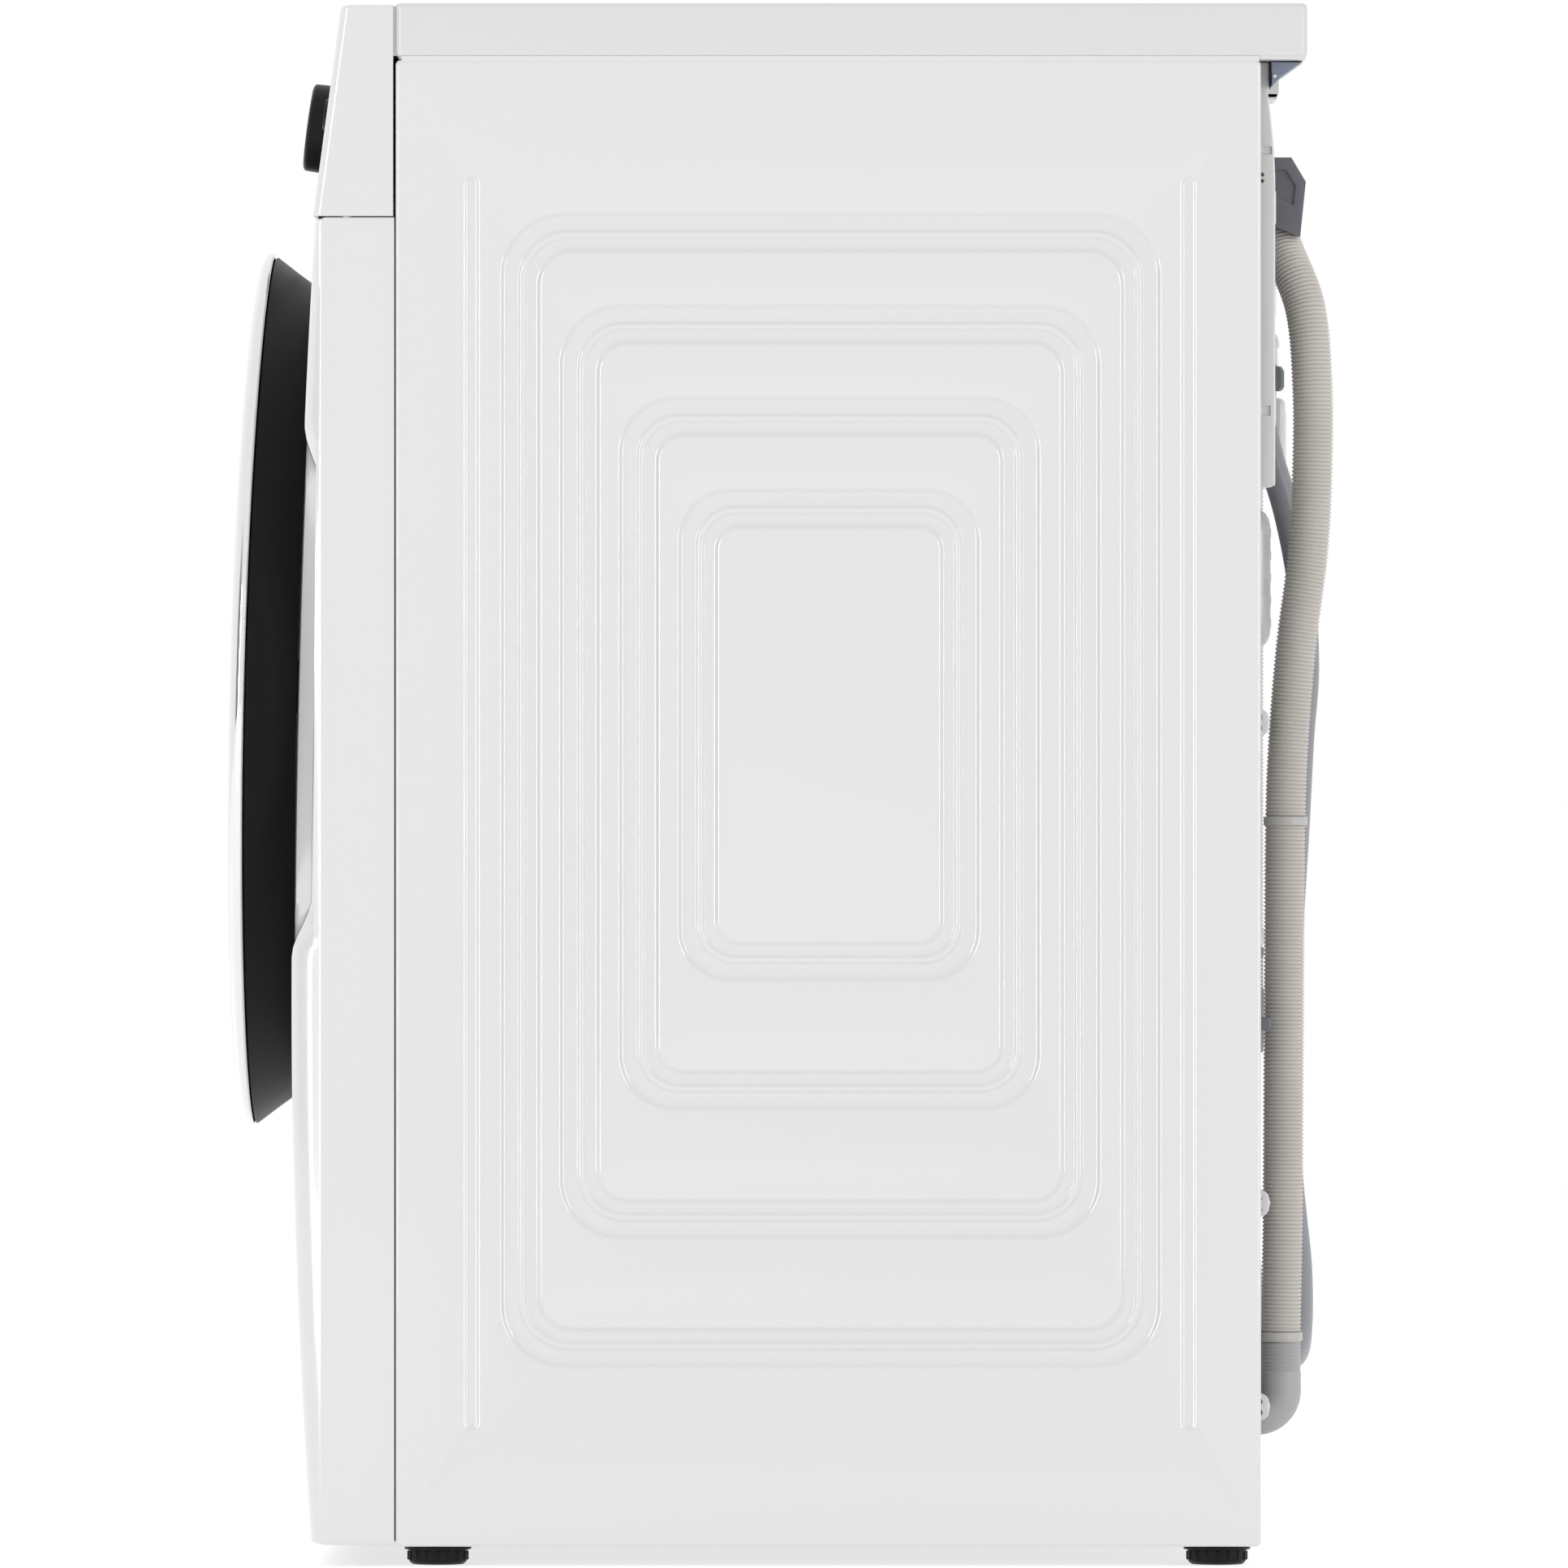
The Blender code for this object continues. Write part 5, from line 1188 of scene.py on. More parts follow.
def door():
    face = FRONT - panel_forward(AXIS_HEIGHT)
    centre = (0, face, AXIS_HEIGHT)
    around = 144
    shell = [(0.2235, 0.0008), (0.2335, 0.0150), (0.2436, 0.0285), (0.2400, 0.0288), (0.2260, 0.0100),
             (0.2200, 0.0052), (0.1580, 0.0052), (0.1580, 0.0030), (0.2160, 0.0030), (0.2200, 0.0010)]
    frame_piece = bow(lathe("door_frame_moulded", shell, "black_plastic", "door", centre=centre,
                            segments=around,
                            round_off=0.0016))
    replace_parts(frame_piece, "door_frame")
    ring = [(0.2425, 0.0291), (DOOR_RADIUS - 0.0006, 0.0291), (DOOR_RADIUS, 0.0312), (0.2448, 0.0338),
            (0.2400, 0.0360), (0.2320, 0.0374), (0.2200, 0.0379), (0.2080, 0.0372), (0.2000, 0.0352),
            (0.1968, 0.0325), (0.1968, 0.0291)]
    ring = bow(lathe("door_ring_polished", ring, "chrome", "door", centre=centre, segments=around,
                     round_off=0.0022,
                     sharp=60))
    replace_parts(ring, "door_ring")
    pane = [(0, 0.0375), (0.07, 0.0371), (0.14, 0.0350), (0.1962, 0.0296), (0.1964, 0.0324), (0.180, 0.0350),
            (0.140, 0.0386), (0.105, 0.0403), (0.070, 0.0412), (0.035, 0.0417), (0, 0.0418)]
    pane = bow(lathe("door_window_pane", pane, "dark_glass", "door", centre=centre, segments=around,
                     round_off=0.0040, sharp=60))
    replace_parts(pane, "door_window")
    bowl = [(0, -0.110), (0.045, -0.1095), (0.075, -0.108), (0.100, -0.1045), (0.118, -0.0985),
            (0.131, -0.089),
            (0.138, -0.078), (0.144, -0.055), (0.150, -0.020), (0.1545, -0.004), (0.1575, 0.0004),
            (0.1575, 0.0048),
            (0.1520, 0.0048), (0.1495, -0.004), (0.146, -0.020), (0.1395, -0.055), (0.1335, -0.076),
            (0.127, -0.086), (0.115, -0.0945), (0.098, -0.1005), (0.074, -0.104), (0.045, -0.1055),
            (0, -0.106)]
    bowl = bow(lathe("door_bowl_glass", bowl, "clear_glass", "door", centre=centre, segments=around,
                     round_off=0.0030, sharp=70))
    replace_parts(bowl, "door_bowl")

    cover = [(0.1592, 0.0006), (0.1610, 0.0000), (0.1700, -0.0004), (0.1780, 0.0006), (0.2060, 0.0006),
             (0.2130, 0.0000), (0.2190, 0.0006), (0.2190, 0.0024), (0.1592, 0.0024)]
    cover = bow(lathe("door_back_cover", cover, "pale_grey_plastic", "door", centre=centre, segments=around,
                      round_off=0.0010))
    carve(cover, cutter("latch_room", lambda b: block_into(b, (0.1950, -0.30, 0.4640),
                                                           (0.2230, -0.215, 0.4940), 0)))
    places = []
    for number in range(10):
        turn = math.radians(36 * number + 18)
        x, z = 0.1915 * math.cos(turn), AXIS_HEIGHT + 0.1915 * math.sin(turn)
        places.append((x, FRONT - panel_forward(z) - 0.0008, z))
    screws("door_screws", places, (0, 1, 0), "door", radius=0.0034, height=0.0016)

    bm = bmesh.new()
    barrel = [(0, -0.040), (0.0046, -0.040), (0.0046, 0.040), (0, 0.040)]
    lathe_into(bm, barrel, (0, 0, 1), HINGE, 32, 0.0008)
    block_into(bm, HINGE + Vector((-0.002, 0.0012, -0.034)), HINGE + Vector((0.0066, 0.0042, 0.034)), 0.0006)
    hinge = place_piece("hinge_arm_forged", bm, "stainless", "door")
    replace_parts(hinge, "hinge_arm")

    bm = bmesh.new()
    block_into(bm, HINGE + Vector((-0.012, 0.0146, -0.058)), HINGE + Vector((0.006, 0.0196, 0.058)), 0.0012)
    for reach in (-1, 1):
        block_into(bm, HINGE + Vector((-0.005, -0.003, reach * 0.0480 - 0.005)),
                   HINGE + Vector((0.005, 0.0175, reach * 0.0480 + 0.005)), 0.0010)
        lathe_into(bm, [(0, -0.0052), (0.0052, -0.0052), (0.0052, 0.0052), (0, 0.0052)], (0, 0, 1),
                   HINGE + Vector((0, 0, reach * 0.0480)), 32, 0.0008)
    bracket = bow(place_piece("hinge_bracket_forged", bm, "stainless", "cabinet"))
    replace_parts(bracket, "hinge_bracket")
    screws("hinge_screws", [tuple(HINGE + Vector((-0.0035, 0.0147, z))) for z in (-0.022, 0.0, 0.022)],
           (0, -1, 0),
           "cabinet", radius=0.0030, height=0.0014)

    bm = bmesh.new()
    outline = soften([(-0.2545, 0.471), (-0.2545, 0.487), (-0.2360, 0.487), (-0.2300, 0.4845),
                      (-0.2300, 0.4735),
                      (-0.2360, 0.471)], 0.0020, 4, True)
    prism_into(bm, outline, "X", 0.2022, 0.2088, 0.0006)
    nose = soften([(0.2026, -0.2300), (0.2130, -0.2310), (0.2130, -0.2335), (0.2095, -0.2342),
                   (0.2026, -0.2342)],
                  0.0008, 3, True)
    prism_into(bm, nose, "Z", 0.4715, 0.4865, 0.0005)
    hook = place_piece("latch_hook_forged", bm, "stainless", "latch")
    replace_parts(hook, "latch_hook")
    low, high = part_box("door_lock")
    bm = bmesh.new()
    outline = rounded_rectangle(low.x, high.x, low.z, high.z, 0.003, 5)
    prism_into(bm, outline, "Y", low.y, high.y, 0.0008)
    lock = place_piece("door_lock_housing", bm, "black_plastic", "cabinet")
    carve(lock, cutter("lock_cut", lambda b: block_into(b, (0.196, -0.27, 0.463), (0.2215, -0.221, 0.495),
                                                        0.002)))
    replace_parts(lock, "door_lock")


def gasket():
    """The rubber bellows between the panel and the tub."""
    profile = [(0.1768, -0.2500), (0.1768, -0.2465), (0.1740, -0.2450), (0.1645, -0.2425), (0.1640, -0.2360),
               (0.1650, -0.2250), (0.1710, -0.2205), (0.1775, -0.2165), (0.1778, -0.2095), (0.1775, -0.2020),
               (0.1715, -0.1930), (0.1715, -0.1785), (0.1690, -0.1785), (0.1690, -0.1940), (0.1750, -0.2030),
               (0.1752, -0.2095), (0.1750, -0.2150), (0.1690, -0.2190), (0.1628, -0.2235), (0.1618, -0.2360),
               (0.1616, -0.2440), (0.1640, -0.2462), (0.1725, -0.2502)]
    bellows = bow(lathe("door_gasket_bellows", profile, "rubber", "cabinet", (0, 1, 0), (0, 0, AXIS_HEIGHT),
                        144,
                        0.0022, 70), -0.200)
    bellows.parent = None
    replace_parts(bellows, "door_gasket")
    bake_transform(bellows)


# ---------------------------------------------------------------- drum


def drum():
    """The perforated drum: holes all over its wall, a rolled front lip and a back pressed in lobes."""
    around, rows = 108, 18
    radius, front, back = DRUM_RADIUS - 0.0002, -0.140, 0.150
    hole = 0.0019
    bm = bmesh.new()

    def at(r, y, turn):
        return (r * math.sin(turn), y, AXIS_HEIGHT + r * math.cos(turn))

    columns = 2 * around
    step = 2 * math.pi / columns
    rise = (back - front) / (2 * rows)
    grid = {}

    def corner(i, j):
        key = (i % columns, j)
        if key not in grid:
            grid[key] = bm.verts.new(at(radius, front + rise * j, step * key[0]))
        return grid[key]

    for row in range(rows):
        for cell in range(around):
            i, j = 2 * cell + row % 2, 2 * row + 1
            rim = [corner(i + u, j + v) for u, v in
                   ((1, 0), (1, 1), (0, 1), (-1, 1), (-1, 0), (-1, -1), (0, -1), (1, -1))]
            inner = []
            for k in range(8):
                turn = math.pi / 4 * k
                inner.append(bm.verts.new(at(radius, front + rise * j + hole * math.sin(turn),
                                             step * i + hole * math.cos(turn) / radius)))
            for k in range(8):
                m = (k + 1) % 8
                bm.faces.new((rim[k], rim[m], inner[m], inner[k]))

    def carry_on(start, profile, lobes=False):
        previous = start
        for r, y in profile:
            ring = []
            for i in range(columns):
                turn = step * i
                if lobes:
                    lobe = smooth_step(-0.1, 0.55, math.cos(3 * turn)) * smooth_step(0.045, 0.075, r)
                    lobe *= 1 - smooth_step(0.185, 0.212, r)
                    ring.append(bm.verts.new(at(r, y - 0.0065 * lobe, turn)))
                else:
                    ring.append(bm.verts.new(at(r, y, turn)))
            for i in range(columns):
                m = (i + 1) % columns
                bm.faces.new((previous[i], previous[m], ring[m], ring[i]))
            previous = ring
        return previous

    first = [corner(i, 0) for i in range(columns)]
    last = [corner(i, 2 * rows) for i in range(columns)]
    carry_on(first, [(0.2424, -0.1440), (0.2405, -0.1500), (0.2360, -0.1555), (0.2290, -0.1588),
                     (0.2200, -0.1600),
                     (0.2000, -0.1585), (0.1850, -0.1590), (0.1740, -0.1600), (0.1690, -0.1592),
                     (0.1668, -0.1570),
                     (0.1672, -0.1545), (0.1690, -0.1530)])
    plate = [(0.2424, 0.1530), (0.2400, 0.1570), (0.2350, 0.1600), (0.2285, 0.1618)]
    plate += [(0.2200 - 0.0095 * k, 0.1620) for k in range(21)]
    middle = carry_on(last, plate, True)
    bm.faces.new(middle)
    shell = place_piece("drum_shell_perforated", bm, "stainless", "drum", 45)
    outward = sum(face.normal.x * face.center.x * face.area for face in shell.data.polygons)
    thicken(shell, 0.0009, -1.0 if outward > 0 else 1.0)
    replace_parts(shell, "drum_shell")
    lathe("drum_centre_cap", [(0, 0.1560), (0.018, 0.1565), (0.026, 0.1585), (0.030, 0.1608), (0.028, 0.1612),
                              (0, 0.1612)],
          "grey_plastic", "drum", (0, 1, 0), (0, 0, AXIS_HEIGHT), 48, 0.001)
    for number in range(3):
        paddle(number)


def paddle(number):
    """A hollow lifter with rounded ends and a row of holes along its flanks."""
    node = f"drum_paddle_{number + 1}"
    half, tall, base = 0.030, 0.042, 0.2388
    front, back, ends = -0.130, 0.148, 0.030
    across = 24
    sections = []
    stations = [0, 0.06, 0.14, 0.26, 0.42, 0.62, 0.82, 1.0]
    lengths = [front + ends * t for t in stations] + [0.0] + [back - ends * t for t in reversed(stations)]
    for y in lengths:
        near = min(y - front, back - y) / ends
        swell = math.sin(math.pi / 2 * min(max(near, 0.0) + 0.02, 1.0)) ** 0.7
        section = []
        for k in range(across + 1):
            u = -half + 2 * half * k / across
            bell = (1 - abs(u / half) ** 2.4) ** 0.62 if abs(u) < half else 0.0
            narrow = 0.72 + 0.28 * swell
            rise = math.sqrt(base ** 2 - u ** 2) - 0.0004 - tall * swell * bell
            section.append((u * narrow, y, AXIS_HEIGHT + rise))
        foot = [(u * narrow, y, AXIS_HEIGHT + math.sqrt(base ** 2 - u ** 2)) for u in (half * 0.98, 0.0,
                                                                                       -half * 0.98)]
        sections.append(section + foot)
    lifter = loft(f"{node}_moulded", sections, "grey_plastic", "drum", 50)
    holes = []
    for k in range(7):
        y = -0.078 + 0.030 * k
        holes.append(cutter(f"paddle_hole_{k}", lambda b, y=y: lathe_into(
            b, [(0, -0.05), (0.0042, -0.05), (0.0042, 0.05), (0, 0.05)], (1, 0, 0),
            (0, y, AXIS_HEIGHT + base - 0.021),
            20)))
    carve(lifter, *holes, sharp=50)
    turn = Matrix.Translation((0, 0, AXIS_HEIGHT)) @ Matrix.Rotation(math.radians(120 * number), 4, "Y")
    lifter.data.transform(turn @ Matrix.Translation((0, 0, -AXIS_HEIGHT)))
    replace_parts(lifter, node)


# ---------------------------------------------------------------- rear


def capsule(centre, half_length, half_width, upright=False, steps=8):
    """The outline of a bar with round ends."""
    reach = max(half_length - half_width, 0.0)
    if upright:
        return (arc((centre[0], centre[1] + reach), half_width, 0, 180, steps)
                + arc((centre[0], centre[1] - reach), half_width, 180, 360, steps))
    return (arc((centre[0] + reach, centre[1]), half_width, -90, 90, steps)
            + arc((centre[0] - reach, centre[1]), half_width, 90, 270, steps))


def rear_panel():
    """The galvanised back: a flanged sheet with pressed beads, vent slots and a row of screws."""
    sheet = block("rear_panel_sheet", rear_low, rear_high, "galvanised", "cabinet", 0.0005, 2)
    cuts = [
        cutter("access_cut", lambda b: block_into(b, (-0.125, 0.25, 0.31), (0.125, 0.28, 0.575), 0.006)),
        cutter("spigot_cut", lambda b: lathe_into(
            b, [(0, -0.01), (0.0095, -0.01), (0.0095, 0.01), (0, 0.01)], (0, 1, 0),
            (INLET_X, BACK_FACE, VALVE_Z), 40)),
    ]
    slots = [((-0.235, 0.520 + 0.011 * k), 0.030) for k in range(9)]
    slots += [((0.0, 0.206 + 0.011 * k), 0.062) for k in range(6)]
    for number, (centre, half) in enumerate(slots):
        cuts.append(cutter(f"vent_{number}", lambda b, c=centre, h=half: prism_into(
            b, capsule(c, h, 0.0024), "Y", BACK_FACE - 0.01, BACK_FACE + 0.01)))
    carve(sheet, *cuts)
    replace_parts(sheet, "rear_panel")
    bm = bmesh.new()
    for x in (-0.2825, 0.2825):
        prism_into(bm, capsule((x, 0.42), 0.35, 0.0050, True), "Y", BACK_FACE - 0.0006, BACK_FACE + 0.0018,
                   0.0016)
    for z in (0.170, 0.150):
        prism_into(bm, capsule((-0.17, z), 0.075, 0.0050), "Y", BACK_FACE - 0.0006, BACK_FACE + 0.0018,
                   0.0016)
    for x in (-0.185, -0.105, -0.025, 0.055):
        prism_into(bm, capsule((x, 0.655), 0.034, 0.0050, True), "Y", BACK_FACE - 0.0006, BACK_FACE + 0.0018,
                   0.0016)
    for z in (0.035, 0.795):
        prism_into(bm, capsule((0.0, z), 0.19, 0.0045), "Y", BACK_FACE - 0.0006, BACK_FACE + 0.0016, 0.0014)
    place_piece("rear_panel_beads", bm, "galvanised", "cabinet")
    edge = [(x, z) for x in (-0.2735, 0.2785) for z in (0.04, 0.21, 0.42, 0.56)]
    edge += [(x, 0.022) for x in (-0.16, 0.0, 0.12)] + [(x, 0.809) for x in (-0.22, -0.07, 0.08)]
    screws("rear_panel_screws", [(x, BACK_FACE - 0.0001, z) for x, z in edge], (0, 1, 0), "cabinet")

    bm = bmesh.new()
    outer = rounded_rectangle(-0.135, 0.135, 0.300, 0.585, 0.010, 6)
    prism_into(bm, outer, "Y", BACK_FACE + GAP, BACK_FACE + 0.0015, 0.0004)
    sections = []
    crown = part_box("rear_access_cover")[1].y
    for y, inset in ((BACK_FACE + 0.0008, 0.0), (crown - 0.0120, 0.0004), (crown - 0.0085, 0.0010),
                     (crown - 0.0050, 0.0024), (crown - 0.0025, 0.0044), (crown - 0.0009, 0.0070),
                     (crown - 0.0001, 0.0100), (crown, 0.0135)):
        sections.append([(x, y, z) for x, z in rounded_rectangle(-0.120 + inset, 0.120 - inset, 0.499 + inset,
                                                                 0.580 - inset, 0.018 - inset * 0.9, 8)])
    loft_into(bm, sections)
    for z in (0.515, 0.5275, 0.5400, 0.5525, 0.565):
        prism_into(bm, capsule((0.0, z), 0.092, 0.0030), "Y", crown - 0.0009, crown + 0.0008, 0.0007)
    lathe_into(bm, [(0, 0.0016), (0.040, 0.0016), (0.047, 0.0034), (0.066, 0.0034), (0.073, 0.0016),
                    (0.074, 0.0006), (0, 0.0006)], (0, 1, 0), (0, BACK_FACE, 0.397), 72, 0.0008)
    for x in (-0.112, 0.112):
        prism_into(bm, capsule((x, 0.397), 0.070, 0.0045, True), "Y", BACK_FACE + 0.0006, BACK_FACE + 0.0030,
                   0.0014)
    cover = place_piece("rear_access_cover_pressed", bm, "galvanised", "cabinet")
    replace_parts(cover, "rear_access_cover")
    edge = [(x, z) for x in (-0.1295, 0.1295) for z in (0.308, 0.400, 0.490, 0.577)] + [(0.0, 0.3055),
                                                                                        (0.0, 0.5825)]
    screws("access_cover_screws", [(x, BACK_FACE + 0.0014, z) for x, z in edge], (0, 1, 0), "cabinet",
           radius=0.0030, height=0.0018)


def duct_cover():
    """The white cover over the cable run, with its slot and a ribbed lobe."""
    foot = BACK_FACE + GAP
    profile = soften([(foot, 0.588), (0.2797, 0.588), (0.2797, 0.757), (0.2790, 0.772), (0.2775, 0.788),
                      (0.2757, 0.802), (0.2764, 0.8045), (0.2764, 0.8190), (foot, 0.8190)], 0.0012, 4, True)
    bm = bmesh.new()
    prism_into(bm, profile, "X", 0.213, 0.273, 0.0008)
    cover = place_piece("rear_duct_cover_moulded", bm, "white_plastic", "cabinet")
    cuts = [cutter("duct_slot", lambda b: block_into(b, (0.2718, 0.2716, 0.7687), (0.28, 0.2779, 0.7731),
                                                     0.0004)),
            cutter("duct_window", lambda b: block_into(b, (0.2718, 0.2718, 0.6262), (0.28, 0.2772, 0.6318),
                                                       0.0004))]
    for number, z in enumerate((0.7543, 0.7577)):
        cuts.append(cutter(f"duct_dot_{number}", lambda b, z=z: lathe_into(
            b, [(0, -0.004), (0.0011, -0.004), (0.0011, 0.01), (0, 0.01)], (1, 0, 0), (0.2715, 0.2726, z),
            16)))
    carve(cover, *cuts)
    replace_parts(cover, "rear_duct_cover")
    bm = bmesh.new()
    block_into(bm, (0.020, foot, 0.590), (0.220, foot + 0.0015, 0.638), 0.0006)
    lobe_y = 0.2900
    block_into(bm, (0.020, foot + 0.0002, 0.5905), (0.122, lobe_y, 0.6395), 0.004, 5)
    for k in range(5):
        block_into(bm, (0.030 + 0.018 * k, lobe_y - 0.0005, 0.598),
                   (0.0322 + 0.018 * k, lobe_y + 0.0008, 0.632), 0.0006)
    block_into(bm, (0.126, foot + 0.001, 0.611), (0.200, foot + 0.0040, 0.617), 0.0010)
    place_piece("duct_cover_lobe", bm, "white_plastic", "cabinet")
    bm = bmesh.new()
    for z in (0.63, 0.69, 0.74):
        block_into(bm, (0.219, 0.2792, z - 0.009), (0.267, 0.2803, z + 0.009), 0.0008)
    place_piece("duct_cover_labels", bm, "white_plastic", "cabinet")
    screws("duct_cover_screws", [(0.188, foot + 0.0014, 0.600), (0.188, foot + 0.0014, 0.628)], (0, 1, 0),
           "cabinet",
           radius=0.0028, height=0.0016)


def hose_hook():
    """The rigid octagonal guide round the drain hose's top bend, with stiffening ribs."""
    bend = [point for point in smooth_route(DRAIN_ROUTE, 0.020) if 0.726 < point.z and 0.02 < point.x]
    clear, thick = DRAIN_DIAMETER / 2 + 0.0009, 0.0035

    def corners(radius):
        reach = radius / math.cos(math.pi / 8)
        turns = [math.radians(-22.5 + 45 * i) for i in range(6)]
        return [(reach * math.cos(t), reach * math.sin(t)) for t in turns]

    def section_at(point, along, outline):
        sideways = (Vector((0, 1, 0)) - along * along.y).normalized()
        outward = sideways.cross(along)
        made = []
        for u, v in outline:
            corner = point + sideways * u + outward * v
            corner.y = max(corner.y, BACK_FACE + GAP)
            made.append(corner)
        return made

    outline = corners(clear + thick) + corners(clear)[::-1]
    tangents = [(bend[min(i + 1, len(bend) - 1)] - bend[max(i - 1,
                                                            0)]).normalized() for i in range(len(bend))]
    bm = bmesh.new()
    loft_into(bm, [section_at(point, along, outline) for point, along in zip(bend, tangents)])
    hook = place_piece("hose_hook_moulded", bm, "grey_plastic", "cabinet")
    edges = hook.modifiers.new("Edges", "BEVEL")
    edges.width, edges.segments, edges.limit_method, edges.angle_limit = 0.0007, 3, "ANGLE", math.radians(14)
    freeze(hook)
    back = BACK_FACE + GAP
    cheek = [(back, 0.7400), (back, 0.7706), (0.2913, 0.7706), (0.2993, 0.7572), (0.2962, 0.7268)]
    cheek = prism("hose_hook_cheek", cheek, "X", 0.150, 0.181, "grey_plastic", "cabinet", 0.0)
    channel = [point for point in smooth_route(DRAIN_ROUTE, 0.006) if 0.660 < point.z and 0.09 < point.x]
    hollow = cutter("hook_channel", lambda b: tube_into(b, channel, [clear] * len(channel), 40))
    waist = cutter("hook_waist", lambda b: prism_into(
        b, soften([(0.2700, 0.7640), (0.2880, 0.7640), (0.2938, 0.7550), (0.2925, 0.7440), (0.2700, 0.7560)],
                  0.001, 3,
                  True), "X", 0.1795, 0.19))
    carve(cheek, hollow, waist)
    bevel = cheek.modifiers.new("Edges", "BEVEL")
    bevel.width, bevel.segments, bevel.limit_method, bevel.angle_limit = 0.0006, 3, "ANGLE", math.radians(40)
    freeze(cheek)
    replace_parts(hook, "hose_hook")
    bm = bmesh.new()
    rib = corners(clear + thick + 0.0012) + corners(clear + thick - 0.0010)[::-1]
    for before, after in zip(bend, bend[1:]):
        along = (after - before).normalized()
        middle = before.lerp(after, 0.5)
        loft_into(bm, [section_at(middle + along * reach, along, rib) for reach in (-0.0009, 0.0009)])
    place_piece("hose_hook_ribs", bm, "grey_plastic", "cabinet")
    block("hose_hook_foot", (0.060, BACK_FACE, 0.7600), (0.088, BACK_FACE + 0.0040, 0.7860), "grey_plastic",
          "cabinet", 0.0012)
    screws("hose_hook_screws", [(0.074, BACK_FACE + 0.0039, 0.7800)], (0, 1, 0), "cabinet", radius=0.0030)


